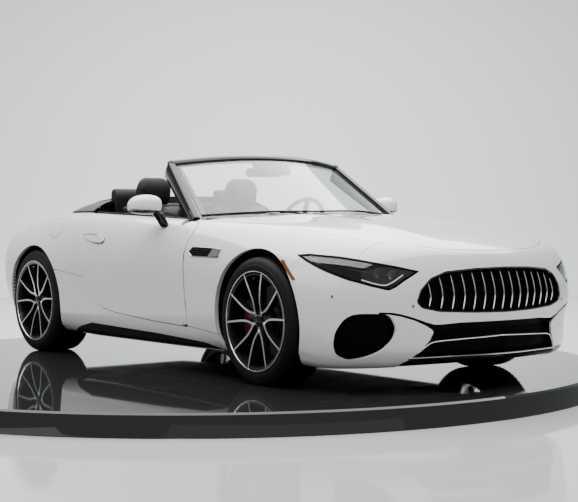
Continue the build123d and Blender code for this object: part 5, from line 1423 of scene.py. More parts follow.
    def _markers(self) -> None:
        """Publishes the amber side markers and the reflectors of the rear bumper."""
        marker, reflector = (prism(outline, axis, -0.003, 0.003, corner, 3) for outline, axis, corner in
                             ((self.marker, Axis.X, 0.003), (self.reflector, Axis.Y, 0.004)))
        for bm in (marker, reflector):
            bmesh.ops.triangulate(bm, faces=bm.faces[:])
            bmesh.ops.subdivide_edges(bm, edges=bm.edges[:], cuts=2)
        publish_pair("side_marker", self.hull.draped_side(marker), AMBER_LENS, "car")
        publish_pair("rear_reflector", self.hull.draped_rear(reflector), RED_LENS, "car")

    def build(self) -> None:
        """Publishes every lamp."""
        self._headlamp()
        self._tail_lamp()
        self._markers()


# ------------------------------------------------------------------ wheels
@dataclass
class RoadWheel:
    """One wheel with its tyre; the outer face is towards +X."""

    name: str
    centre: Point3
    width: float
    body: str
    tyre_radius: float = 0.360
    rim_radius: float = 0.284
    bead_radius: float = 0.268
    barrel_radius: float = 0.258
    turn: float = -31.8  # degrees from the top to the middle of the first pair of spokes
    spoke_pairs: int = 5
    # how far a spoke stands from its pair's middle, in degrees, at shares of the rim's radius
    fork: tuple[Point2, ...] = ((0.15, 0.0), (0.20, 5.0), (0.26, 13.0), (0.33, 18.5), (0.42, 20.6), (0.60, 20.0),
                                (0.80, 18.8), (1.0, 18.0))
    spoke_width: float = 0.0105  # machined face
    spoke_depth: float = 0.040
    stem_depth: float = 0.042
    dish: float = 0.034  # how far the spokes' roots are set back
    sipe_count: int = 72
    grooves: int = 4
    disc_radius: float = 0.195

    def _at(self, across: float, angle: float, radius: float) -> Vector:
        """Returns a point across the wheel, at an angle from the top and a radius."""
        x, y, z = self.centre
        return Vector((x + across, y + radius * math.sin(angle), z + radius * math.cos(angle)))

    def _tyre(self) -> BMesh:
        """Turns the tyre with its bead, bulging wall, shoulder and grooved tread."""
        half = self.width / 2
        radius = self.tyre_radius
        wall = [(half - 0.012, self.bead_radius), (half - 0.004, self.rim_radius - 0.004),
                (half - 0.0005, self.rim_radius + 0.010), (half - 0.002, self.rim_radius + 0.028),
                (half - 0.0045, self.rim_radius + 0.030), (half - 0.005, self.rim_radius + 0.036),
                (half - 0.011, self.rim_radius + 0.050), (half - 0.020, radius - 0.012),
                (half - 0.030, radius - 0.004), (half - 0.044, radius - 0.0012)]
        tread: list[Point2] = []
        span = 2 * (half - 0.050)
        for k in range(self.grooves):
            middle = half - 0.050 - span * (k + 0.5) / self.grooves
            for across, drop in ((0.005, 0), (0.004, 0.007), (-0.004, 0.007), (-0.005, 0)):
                tread.append((middle + across, radius - drop))
        profile = [*wall, *tread, *((-a, r) for a, r in reversed(wall))]
        return turned(profile, self.centre, (1, 0, 0), 96)

    def _sipes(self) -> BMesh:
        """Returns the shoulder blocks' raised bars, as a ring of small low blocks."""
        half = self.width / 2
        bars: list[BMesh] = []
        for side in (1, -1):
            for k in range(self.sipe_count):
                angle = math.tau * k / self.sipe_count
                bar = block((-0.011, -0.0022, -0.0010), (0.011, 0.0022, 0.0010))
                place = self._at(side * (half - 0.034), angle, self.tyre_radius - 0.0024)
                turn = Matrix.Rotation(-angle, 4, "X") @ Matrix.Rotation(side * 0.35, 4, "Z")
                bmesh.ops.transform(bar, matrix=Matrix.Translation(place) @ turn, verts=bar.verts[:])
                bars.append(bar)
        return joined(*bars)

    def _rim(self) -> BMesh:
        """Turns the rim: bright outer lip and dark barrel."""
        half = self.width / 2
        barrel = [(half, self.rim_radius), (half, self.rim_radius - 0.004), (half - 0.004, self.rim_radius - 0.010),
                  (half - 0.006, self.barrel_radius), (half - 0.05, self.barrel_radius - 0.012),
                  (-half + 0.03, self.barrel_radius - 0.016), (-half, self.barrel_radius),
                  (-half, self.rim_radius), (-half + 0.0064, self.rim_radius), (-half + 0.0064, self.bead_radius),
                  (half - 0.0064, self.bead_radius), (half - 0.0064, self.rim_radius)]
        return turned(barrel, self.centre, (1, 0, 0), 96)

    def _lip(self) -> BMesh:
        """Turns the machined ring round the rim's face."""
        half = self.width / 2
        ring = [(half - 0.0015, self.rim_radius - 0.0015), (half, self.rim_radius - 0.004),
                (half - 0.0005, self.rim_radius - 0.0075), (half - 0.006, self.rim_radius - 0.010),
                (half - 0.006, self.rim_radius - 0.002)]
        return turned(ring, self.centre, (1, 0, 0), 96)

    def _spoke_path(self, pair: int, side: int, radius: float) -> tuple[float, float]:
        """Returns a spoke's angle and its set-back at a radius."""
        share = radius / self.rim_radius
        angle = self.turn + 360 * pair / self.spoke_pairs + side * height_at(self.fork, share)
        return math.radians(angle), self.dish * (1 - share) ** 1.5

    @staticmethod
    def _bar(cuts: int) -> BMesh:
        """Makes a unit bar that stands on the hub, cut into steps, with a bright outer face."""
        bar = block((0, -0.5, 0), (1, 0.5, 1))
        bmesh.ops.subdivide_edges(bar, edges=uprights(bar, 0.5), cuts=cuts, use_grid_fill=True)
        for face in bar.faces:
            face.material_index = 1 if face.calc_center_median().x > 0.9 else 0
        return bar

    def _spoke(self, pair: int, side: int) -> BMesh:
        """Builds one spoke: a machined face on a deeper dark rib."""
        half = self.width / 2
        start, end = 0.17 * self.rim_radius, self.rim_radius - 0.012
        bar = self._bar(15)
        for vert in bar.verts:
            share = vert.co.z ** 1.25
            radius = start + (end - start) * share
            angle, dish = self._spoke_path(pair, side, radius)
            back = vert.co.x < 0.5
            width = self.spoke_width * (1.25 - 0.35 * share) * (2.1 if back else 1.0)
            vert.co = self._at(half - 0.003 - dish - (self.spoke_depth if back else 0.0),
                               angle + vert.co.y * width / radius, radius)
        bmesh.ops.recalc_face_normals(bar, faces=bar.faces[:])
        return bar

    def _stem(self, pair: int) -> BMesh:
        """Builds the bright foot that a pair of spokes grows from."""
        half = self.width / 2
        angle = math.radians(self.turn + 360 * pair / self.spoke_pairs)
        bar = self._bar(5)
        for vert in bar.verts:
            radius = self.rim_radius * (0.125 + 0.120 * vert.co.z)
            dish = self.dish * (1 - radius / self.rim_radius) ** 1.5
            back = vert.co.x < 0.5
            width = 0.014 + 0.020 * vert.co.z ** 1.5 + (0.014 if back else 0.0)
            vert.co = self._at(half - 0.0035 - dish - (self.stem_depth if back else 0.0),
                               angle + vert.co.y * width / radius, radius)
        bmesh.ops.recalc_face_normals(bar, faces=bar.faces[:])
        return bar

    def _hub(self) -> BMesh:
        """Turns the hub that the spokes grow from."""
        face = self.width / 2 - 0.033
        return turned([(face - 0.10, 0), (face - 0.10, 0.078), (face - 0.03, 0.080), (face - 0.006, 0.062),
                       (face - 0.003, 0.036), (face - 0.003, 0)], self.centre, (1, 0, 0), 48, closed=False)

    def _cap(self) -> BMesh:
        """Turns the plain centre cap with its bright ring."""
        face = self.width / 2 - 0.034
        return turned([(face - 0.002, 0), (face - 0.002, 0.033), (face + 0.006, 0.0325), (face + 0.008, 0.030),
                       (face + 0.0065, 0.027), (face + 0.009, 0.018), (face + 0.010, 0)], self.centre, (1, 0, 0), 40,
                      closed=False)

    def _bolts(self) -> BMesh:
        """Builds the five wheel bolts between the spokes."""
        half = self.width / 2
        bolts: list[BMesh] = []
        for k in range(self.spoke_pairs):
            angle = math.radians(self.turn) + math.tau * k / self.spoke_pairs
            place = self._at(half - 0.031, angle, 0.0555)
            bolt = bmesh.new()
            bmesh.ops.create_cone(bolt, cap_ends=True, segments=6, radius1=0.0066, radius2=0.0060, depth=0.012)
            bmesh.ops.transform(bolt, matrix=Matrix.Translation(place) @ Matrix.Rotation(math.pi / 2, 4, "Y"),
                                verts=bolt.verts[:])
            bolts.append(bolt)
        return joined(*bolts)

    def _disc(self) -> BMesh:
        """Turns the brake disc with its bell."""
        return turned([(-0.020, 0.105), (-0.020, self.disc_radius), (0.010, self.disc_radius), (0.010, 0.105),
                       (0.030, 0.100), (0.034, 0.084), (0.034, 0), (-0.018, 0)], self.centre, (1, 0, 0), 72,
                      closed=False)

    def _valve(self) -> BMesh:
        """Builds the valve near the rim."""
        half = self.width / 2
        angle = math.radians(self.turn) + math.tau * 0.5 / self.spoke_pairs
        inner, outer = self._at(half - 0.030, angle, 0.250), self._at(half - 0.006, angle, 0.236)
        return tube([tuple(inner), tuple(outer)], 0.0035, smooth=False)

    def build(self) -> None:
        """Publishes the wheel and its tyre, left and right."""
        tyre = joined(self._tyre(), self._sipes())
        publish_pair(f"{self.name}_tyre", tyre, TYRE_RUBBER, f"{self.body}_left",
                     f"tyre_{self.name}", sharp=28.0)
        spokes = [self._spoke(pair, side) for pair in range(self.spoke_pairs) for side in (-1, 1)]
        stems = [self._stem(pair) for pair in range(self.spoke_pairs)]
        rim = joined(self._rim(), self._hub(), *stems, *spokes, painted(self._lip(), 1))
        publish_pair(f"{self.name}_rim", rim, (DARK_ALLOY, BRIGHT_ALLOY), f"{self.body}_left",
                     f"wheel_{self.name}")
        publish_pair(f"{self.name}_cap", self._cap(), GLOSS_BLACK, f"{self.body}_left")
        bolts = joined(self._bolts(), self._valve())
        publish_pair(f"{self.name}_bolts", bolts, CHROME, f"{self.body}_left")
        # the disc's darkened steel is painted shade, not the colour of bare steel
        publish_pair(f"{self.name}_disc", self._disc(), DISC_STEEL_PAINTED_SHADE, f"{self.body}_left")


@dataclass
class BrakeCaliper:
    """Red cover of a fixed brake caliper over the disc's edge."""

    name: str
    centre: Point3
    body: str
    side: int  # +1 behind the axle, -1 ahead of it
    inner_radius: float = 0.133
    outer_radius: float = 0.231
    half_angle: float = 27.0  # degrees
    across: Point2 = (0.012, 0.047)

    def build(self) -> None:
        """Publishes the caliper's covers on both sides of the car."""
        x, y, z = self.centre
        middle = math.pi / 2 * self.side
        profile = [(self.across[0], self.inner_radius), (self.across[1] - 0.008, self.inner_radius),
                   (self.across[1], self.inner_radius + 0.02), (self.across[1], self.outer_radius - 0.018),
                   (self.across[1] - 0.012, self.outer_radius), (self.across[0], self.outer_radius)]
        bm = bmesh.new()
        start = middle - math.radians(self.half_angle)
        verts = [bm.verts.new((x + a, y + r * math.sin(start), z + r * math.cos(start))) for a, r in profile]
        face = bm.faces.new(verts)
        bmesh.ops.spin(bm, geom=[face, *face.edges, *face.verts], cent=self.centre, axis=(-1, 0, 0),
                       angle=math.radians(2 * self.half_angle), steps=14, use_merge=False, use_duplicate=False)
        bmesh.ops.remove_doubles(bm, verts=bm.verts[:], dist=1e-6)
        bmesh.ops.holes_fill(bm, edges=[e for e in bm.edges if e.is_boundary], sides=0)
        bmesh.ops.recalc_face_normals(bm, faces=bm.faces[:])
        publish_pair(f"{self.name}_caliper_cover", bm, CALIPER_RED, self.body)


# ------------------------------------------------------------------ screen and mirrors
def arc_through(left: Vector, middle: Vector, share: float) -> Vector:
    """Returns a point of the shallow arc that runs from left through the middle, mirrored in X."""
    offset = 1 - (2 * share - 1) ** 2
    x = left.x * (1 - 2 * share)
    return Vector((x, left.y + (middle.y - left.y) * offset, left.z + (middle.z - left.z) * offset))


@dataclass
class Windscreen:
    """Screen frame, curved glass, seals, wipers and the mirror inside."""

    base_corner: Point3 = (-0.774, -0.525, 0.925)
    base_middle: Point3 = (0.0, -0.848, 0.948)
    top_corner: Point3 = (-0.650, -0.030, 1.288)
    top_middle: Point3 = (0.0, -0.160, 1.330)
    glass_thickness: float = 0.005
    border: Point2 = (0.030, 0.055)  # shares of the glass across and up
    seal_inset: float = 0.012
    pillar: Point2 = (0.046, 0.040)
    pillar_out: float = 0.42  # of its width, that the pillar's line stands outside the glass
    pillar_top: float = 0.975  # share of the glass's height
    header: Point2 = (0.058, 0.036)
    header_drop: float = 0.005
    cap_radius: float = 0.027
    cap_drop: float = 0.012
    # sections of a rail: shares of its width towards the glass and of its height over the glass
    rail_section: tuple[Point2, ...] = ((-0.5, 0.25), (-0.32, 0.5), (0.32, 0.5), (0.5, 0.2), (0.5, -0.35), (0.3, -0.5),
                                        (-0.35, -0.5), (-0.5, -0.25))
    pillar_section: tuple[Point2, ...] = ((-0.5, 0.20), (-0.32, 0.5), (0.32, 0.5), (0.5, 0.2), (0.42, -0.7),
                                          (0.22, -1.7), (0.0, -2.1), (-0.25, -1.9), (-0.52, -0.8))
    columns: int = 24
    rows: int = 14
    mirror_centre: Point3 = (0.02, -0.095, 1.236)
    mirror_turn: float = -15.0  # degrees towards the driver
    # outlines across the car and up; the pod's lies on the glass
    pod: tuple[Point2, ...] = ((-0.125, 0.060), (0.125, 0.060), (0.132, -0.030), (0.095, -0.085), (-0.095, -0.085),
                               (-0.132, -0.030))
    mirror_back: tuple[Point2, ...] = ((-0.115, -0.028), (0.115, -0.028), (0.125, 0.0), (0.112, 0.030),
                                       (-0.112, 0.030), (-0.125, 0.0))
    mirror_face: tuple[Point2, ...] = ((-0.108, -0.022), (0.108, -0.022), (0.117, 0.0), (0.105, 0.024),
                                       (-0.105, 0.024), (-0.117, 0.0))
    wiper_rise: Point3 = (0, -0.010, 0.012)  # of the arm over the glass
    arm_radius: float = 0.0065
    blade_radius: float = 0.0055
    blade_share: float = 0.46  # of the glass's width

    def point(self, across: float, up: float) -> Vector:
        """Returns a point of the glass's outer face, at shares across and up."""
        low = arc_through(Vector(self.base_corner), Vector(self.base_middle), across)
        high = arc_through(Vector(self.top_corner), Vector(self.top_middle), across)
        return low.lerp(high, up)

    def _sheet(self, across: Point2, up: Point2, lift: float, thickness: float) -> BMesh:
        """Makes a curved sheet between shares of the glass, lifted off its outer face."""
        def place(v: Vector) -> Vector:
            """Takes a point of the unit grid to the glass."""
            s = across[0] + (across[1] - across[0]) * (v.x + 0.5)
            t = up[0] + (up[1] - up[0]) * (v.y + 0.5)
            return self.point(s, t)

        sheet = facing(spread(self.columns, self.rows, place), (0, -1, 0))
        return walled(pushed(sheet, lift), thickness)

    def _frame_rail(self, points: Sequence[Vector], widths: Point2, inward: Sequence[Vector],
                    section: Sequence[Point2], deepen: Point2 = (1.0, 1.0)) -> BMesh:
        """Makes a rounded rail along points, set to the outer side of the glass's edge.

        Args:
            points: The rail's line.
            widths: Width towards the glass and height over it.
            inward: Direction towards the glass at each point.
            section: Its section, in shares of the widths.
            deepen: How much deeper the part under the glass is at the first and the last point.

        Returns:
            The rail.
        """
        rings = []
        for index, (place, across) in enumerate(zip(points, inward)):
            ahead = points[min(index + 1, len(points) - 1)] - points[max(index - 1, 0)]
            along = ahead.normalized()
            side = (across - along * across.dot(along)).normalized()
            up = along.cross(side)
            if up.y > 0:
                up = -up
            deep = deepen[0] + (deepen[1] - deepen[0]) * index / (len(points) - 1)
            rings.append([place + side * u * widths[0] + up * v * widths[1] * (deep if v < 0 else 1.0)
                          for u, v in section])
        return lofted(rings)

    def _frame(self) -> BMesh:
        """Builds the two pillars and the header as one dark frame."""
        pillars = []
        steps = 14
        for side in (0.0, 1.0):
            sign = 1 if side == 0.0 else -1
            across = Vector((sign, 0, 0))
            line = [self.point(side, t / steps * self.pillar_top) - across * self.pillar[0] * self.pillar_out
                    for t in range(steps + 1)]
            pillars.append(self._frame_rail(line, self.pillar, [across] * len(line), self.pillar_section, (0.85, 1.25)))
        top = [self.point(s / 24, 1.0) for s in range(25)]
        down = (self.point(0.5, 0.9) - self.point(0.5, 1.0)).normalized()
        header = self._frame_rail([p + down * self.header_drop for p in top], self.header, [down] * len(top),
                                  self.rail_section, (1.6, 1.6))
        caps = []
        for side in (0.0, 1.0):
            sign = 1 if side == 0.0 else -1
            outward = Vector((sign, 0, 0)) * self.pillar[0] * self.pillar_out
            corner = self.point(side, 1.0) - outward + down * self.cap_drop
            cap = bmesh.new()
            bmesh.ops.create_uvsphere(cap, u_segments=20, v_segments=12, radius=self.cap_radius)
            bmesh.ops.translate(cap, vec=corner, verts=cap.verts[:])
            caps.append(cap)
        return joined(*pillars, header, *caps)

    def _border(self) -> BMesh:
        """Builds the printed dark border just inside the glass."""
        u, t = self.border
        lift = -self.glass_thickness - 0.0005
        bands = [((0.0, u), (0.0, 1.0)), ((1 - u, 1.0), (0.0, 1.0)), ((u, 1 - u), (0.0, t)),
                 ((u, 1 - u), (1 - t * 1.4, 1.0))]
        return joined(*(self._sheet(across, up, lift, 0.0008) for across, up in bands))

    def _seal(self) -> BMesh:
        """Builds the thin seal round the glass."""
        inset = self.seal_inset
        sides = [[self.point(s, t / 10) for t in range(11)] for s in (inset, 1 - inset)]
        bars = [tube([tuple(p + Vector((0, -0.001, 0.001))) for p in line], 0.0035) for line in sides]
        top = [tuple(self.point(inset + (1 - 2 * inset) * s / 16, 0.985) + Vector((0, -0.001, 0.001)))
               for s in range(17)]
        return joined(*bars, tube(top, 0.0035))

    def _wiper(self, pivot: Point2, reach: Point2) -> BMesh:
        """Builds one wiper: its arm and its blade lying along the foot of the glass."""
        rise = Vector(self.wiper_rise)
        start = self.point(pivot[0], pivot[1] - 0.05) + rise
        elbow = self.point((pivot[0] + reach[0]) / 2, (pivot[1] + reach[1]) / 2 + 0.015) + rise
        end = self.point(*reach) + rise
        arm = tube([tuple(start), tuple(start + Vector((0, -0.004, 0.008))), tuple(elbow), tuple(end)], self.arm_radius)
        line = [self.point(reach[0] + (k / 8 - 0.5) * self.blade_share,
                           reach[1] + 0.012 * math.sin(math.pi * k / 8)) + rise * 0.55 for k in range(9)]
        blade = tube([tuple(p) for p in line], self.blade_radius)
        hub = turned([(-0.012, 0), (-0.012, 0.018), (0.010, 0.016), (0.014, 0.010), (0.014, 0)], tuple(start),
                     (0, -0.5, 0.86), 20, closed=False)
        return joined(arm, blade, hub)

    def _inner_mirror(self) -> None:
        """Publishes the sensor housing and the mirror behind the top of the glass."""
        foot = self.point(0.5, 0.90)
        down = (self.point(0.5, 0.75) - self.point(0.5, 0.9)).normalized()
        pod = prism(self.pod, Axis.Z, -0.034, 0.0, 0.016, 4)
        across = Vector((1, 0, 0))
        up = -down
        out = across.cross(up)
        if out.y > 0:
            out = -out
        turn = Matrix((across, up, out)).transposed().to_4x4()
        place = foot - out * (self.glass_thickness + 0.003)
        bmesh.ops.transform(pod, matrix=Matrix.Translation(place) @ turn, verts=pod.verts[:])
        bmesh.ops.recalc_face_normals(pod, faces=pod.faces[:])
        housing = prism(self.mirror_back, Axis.Y, 0.0, 0.022, 0.012, 4)
        centre = Vector(self.mirror_centre)
        aimed = Matrix.Translation(centre) @ Matrix.Rotation(math.radians(self.mirror_turn), 4, "Z")
        bmesh.ops.transform(housing, matrix=aimed, verts=housing.verts[:])
        stem = tube([tuple(place + down * 0.06 - out * 0.03), tuple(centre + Vector((0, 0.008, 0.028)))], 0.009,
                    smooth=False)
        publish("inner_mirror", joined(pod, housing, stem), SATIN_BLACK, "car")
        glass = prism(self.mirror_face, Axis.Y, 0.022, 0.0245, 0.010, 4)
        bmesh.ops.transform(glass, matrix=aimed, verts=glass.verts[:])
        publish("inner_mirror_glass", glass, MIRROR_GLASS, "car")

    def build(self) -> None:
        """Publishes the screen and all that is on it."""
        publish("screen_frame", self._frame(), GLOSS_BLACK, "car", ["windscreen_frame"], sharp=50)
        glass = self._sheet((0.004, 0.996), (0.0, 0.995), 0.0, -self.glass_thickness)
        publish("screen_glass", glass, CLEAR_GLASS, "car", ["windscreen_glass"])
        publish("screen_border", self._border(), GLOSS_BLACK, "car")
        publish("screen_seal", self._seal(), SEAL_RUBBER, "car")
        wipers = joined(self._wiper((0.36, 0.03), (0.24, 0.055)), self._wiper((0.80, 0.03), (0.66, 0.055)))
        publish("wipers", wipers, SATIN_BLACK, "car")
        self._inner_mirror()


@dataclass
class DoorMirror:
    """Outside mirror on its foot; the left-hand one is modelled."""

    hull: BodyHull
    # x, middle y, middle z, depth along Y, height
    sections: tuple[tuple[float, ...], ...] = (
        (0.882, -0.228, 1.010, 0.090, 0.066), (0.902, -0.238, 1.016, 0.140, 0.104),
        (0.942, -0.236, 1.020, 0.174, 0.122), (0.988, -0.228, 1.022, 0.180, 0.124),
        (1.028, -0.216, 1.019, 0.164, 0.112), (1.056, -0.202, 1.013, 0.122, 0.080),
        (1.0705, -0.188, 1.004, 0.060, 0.040))
    foot_sections: tuple[tuple[float, ...], ...] = (
        (0.868, -0.292, 0.872, 0.060, 0.090), (0.884, -0.280, 0.915, 0.054, 0.085),
        (0.902, -0.262, 0.955, 0.060, 0.092), (0.925, -0.245, 0.990, 0.085, 0.120))  # the last two along X and Y
    glass_y: float = -0.160
    corner_points: int = 24
    squareness: float = 0.72  # 1 is an oval, and less is squarer
    dark_below_z: float = 0.984

    def _loop(self, section: Sequence[float]) -> list[Point3]:
        """Returns the ring of one section: a rounded shape, flatter at its rear, glass side."""
        x, y, z, depth, height = section
        ring = []
        for k in range(self.corner_points):
            angle = math.tau * k / self.corner_points
            c, s = math.cos(angle), math.sin(angle)
            u = math.copysign(abs(c) ** self.squareness, c) * (depth / 2)
            v = math.copysign(abs(s) ** self.squareness, s) * (height / 2)
            ring.append((x, min(y + u, self.glass_y), z + v))
        return ring

    def _shell(self) -> BMesh:
        """Lofts the housing through its sections and rounds it by subdivision."""
        bm = subdivided(lofted([self._loop(section) for section in self.sections]), 1)
        for face in bm.faces:
            face.material_index = 1 if face.calc_center_median().z < self.dark_below_z else 0
        return bm

    def _glass(self) -> BMesh:
        """Builds the mirror glass, set in the rear of the housing."""
        outline = ((0.912, 0.988), (1.035, 0.984), (1.056, 1.000), (1.058, 1.024), (1.035, 1.052), (0.925, 1.054),
                   (0.910, 1.028))
        return prism(outline, Axis.Y, self.glass_y - 0.002, self.glass_y + 0.0015, 0.010, 4)

    def _foot(self) -> BMesh:
        """Builds the tapered foot from the door's shoulder to the housing."""
        angles = [math.tau * k / 12 for k in range(12)]
        return subdivided(lofted([[(x + math.cos(a) * wide / 2, y + math.sin(a) * deep / 2, z) for a in angles]
                                  for x, y, z, wide, deep in self.foot_sections]), 1)

    def _repeater(self) -> BMesh:
        """Builds the slim indicator lamp on the housing's outer face."""
        line = [(x, y - depth * 0.4525 + 0.001, z - height * 0.30) for x, y, z, depth, height in self.sections[3:]]
        return tube(line, 0.0032)

    def build(self) -> None:
        """Publishes both mirrors."""
        publish_pair("mirror_shell", self._shell(), (WHITE_PAINT, GLOSS_BLACK), "door_left", "door_mirror")
        publish_pair("mirror_foot", self._foot(), GLOSS_BLACK, "door_left")
        publish_pair("mirror_glass", self._glass(), MIRROR_GLASS, "door_left")
        publish_pair("mirror_repeater", self._repeater(), PANEL_GREY, "door_left")


# ------------------------------------------------------------------ side details
@dataclass
class SideDetails:
    """Door handles, fender vents, belt seals, fuel flap and the sills' bright line."""

    hull: BodyHull
    # side outlines: y, z
    handle: tuple[Point2, ...] = ((0.667, 0.829), (0.589, 0.832), (0.494, 0.829), (0.431, 0.819), (0.384, 0.801),
                                  (0.396, 0.780), (0.463, 0.776), (0.545, 0.785), (0.609, 0.797))
    handle_loop: tuple[Point2, ...] = ((0.530, 0.831), (0.458, 0.825), (0.408, 0.813), (0.385, 0.798), (0.396, 0.781),
                                       (0.450, 0.777), (0.530, 0.784))
    vent: tuple[Point2, ...] = ((-0.644, 0.735), (-0.682, 0.764), (-0.978, 0.757), (-0.960, 0.709), (-0.675, 0.713))
    vent_end: tuple[Point2, ...] = ((-0.897, 0.756), (-0.972, 0.754), (-0.956, 0.712), (-0.858, 0.712))
    vent_bars: tuple[Point3, ...] = ((0.7245, -0.862, -0.668), (0.7365, -0.872, -0.658), (0.749, -0.884, -0.672))
    flap_centre: Point2 = (1.085, 0.905)
    flap_size: Point2 = (0.105, 0.105 * 0.92)  # half length and half height
    flap_top_z: float = 0.955  # the ring stays open above this, on the shoulder

    def _draped_bar(self, outline: Sequence[Point2], low: float, high: float, corner: float) -> BMesh:
        """Makes a flat piece over a side-view outline and lays it on the body's side."""
        bm = prism(outline, Axis.X, low, high, corner, 4)
        bmesh.ops.triangulate(bm, faces=[f for f in bm.faces if len(f.verts) > 4])
        long_edges = [e for e in bm.edges if e.calc_length() > 0.03]
        bmesh.ops.subdivide_edges(bm, edges=long_edges, cuts=3)
        bmesh.ops.triangulate(bm, faces=[f for f in bm.faces if len(f.verts) > 4])
        bm = self.hull.draped_side(bm)
        bmesh.ops.recalc_face_normals(bm, faces=bm.faces[:])
        return bm

    def _handle(self) -> None:
        """Publishes the flush door handles with their dark surrounds and bright loops."""
        rim = self._draped_bar(offset_outline(self.handle, 0.0055), -0.002, 0.0010, 0.010)
        publish_pair("handle_rim", rim, SATIN_BLACK, "door_left")
        grip = self._draped_bar(self.handle, -0.002, 0.0050, 0.010)
        publish_pair("handle_grip", grip, WHITE_PAINT, "door_left")
        path = [(self.hull.side_x(y, z) + 0.0045, y, z) for y, z in self.handle_loop]
        publish_pair("handle_strip", tube(path, 0.0038), CHROME, "door_left")

    def _vent(self) -> None:
        """Publishes the vents behind the front wheels."""
        rim = self._draped_bar(offset_outline(self.vent, 0.004), -0.002, 0.0012, 0.006)
        publish_pair("vent_rim", rim, SATIN_BLACK, "car")
        field_part = self._draped_bar(self.vent, -0.002, 0.0022, 0.005)
        publish_pair("vent_field", field_part, MESH_BLACK, "car")
        outline = divided(offset_outline(self.vent, 0.001), 0.03, True)
        edge = [(self.hull.side_x(y, z) + 0.0025, y, z) for y, z in outline]
        publish_pair("vent_edge", tube(edge, 0.0026, closed=True), CHROME, "car")
        bars = []
        for z, front, rear in self.vent_bars:
            line = divided([(front, z), (rear, z)], 0.05)
            bars.append(tube([(self.hull.side_x(y, z) + 0.0030, y, z) for y, z in line], 0.0034))
        publish_pair("vent_bars", joined(*bars), DARK_ALLOY, "car")
        tip = self._draped_bar(self.vent_end, -0.002, 0.0060, 0.005)
        publish_pair("vent_end", tip, CHROME, "car")

    def _fuel_flap(self) -> None:
        """Publishes the round seam of the fuel flap, on the right rear quarter."""
        (y, z), (half_long, half_high) = self.flap_centre, self.flap_size
        angles = [math.tau * k / 32 for k in range(32)]
        ring = [(y + half_long * math.cos(a), z + half_high * math.sin(a)) for a in angles]
        seam = tube([(-self.hull.side_x(y, z), y, z) for y, z in ring if z < self.flap_top_z], 0.0013)
        publish("fuel_flap_seam", seam, SEAL_RUBBER, "car")

    def _belt(self) -> None:
        """Publishes the belt seals along the tops of the doors."""
        line = [(0.800 - 0.0012 * k, -0.43 + k * 0.0615) for k in range(20)]
        path = [(x - 0.006, y, self.hull.top_z(x, y) + 0.003) for x, y in line]
        publish_pair("belt_seal", tube(path, 0.0055), SATIN_BLACK, "door_left")

    def _skirt_line(self) -> None:
        """Publishes the bright line along the foot of each dark skirt."""
        low = [(-0.92, 0.163), (-0.60, 0.160), (-0.235, 0.158), (0.25, 0.158), (0.57, 0.158), (0.80, 0.163)]
        path = [(self.hull.side_x(y, z) + 0.001, y, z) for y, z in divided(low, 0.12)]
        publish_pair("skirt_line", tube(path, 0.0042), CHROME, "car")

    def build(self) -> None:
        """Publishes every detail of the sides."""
        self._handle()
        self._vent()
        self._fuel_flap()
        self._belt()
        self._skirt_line()


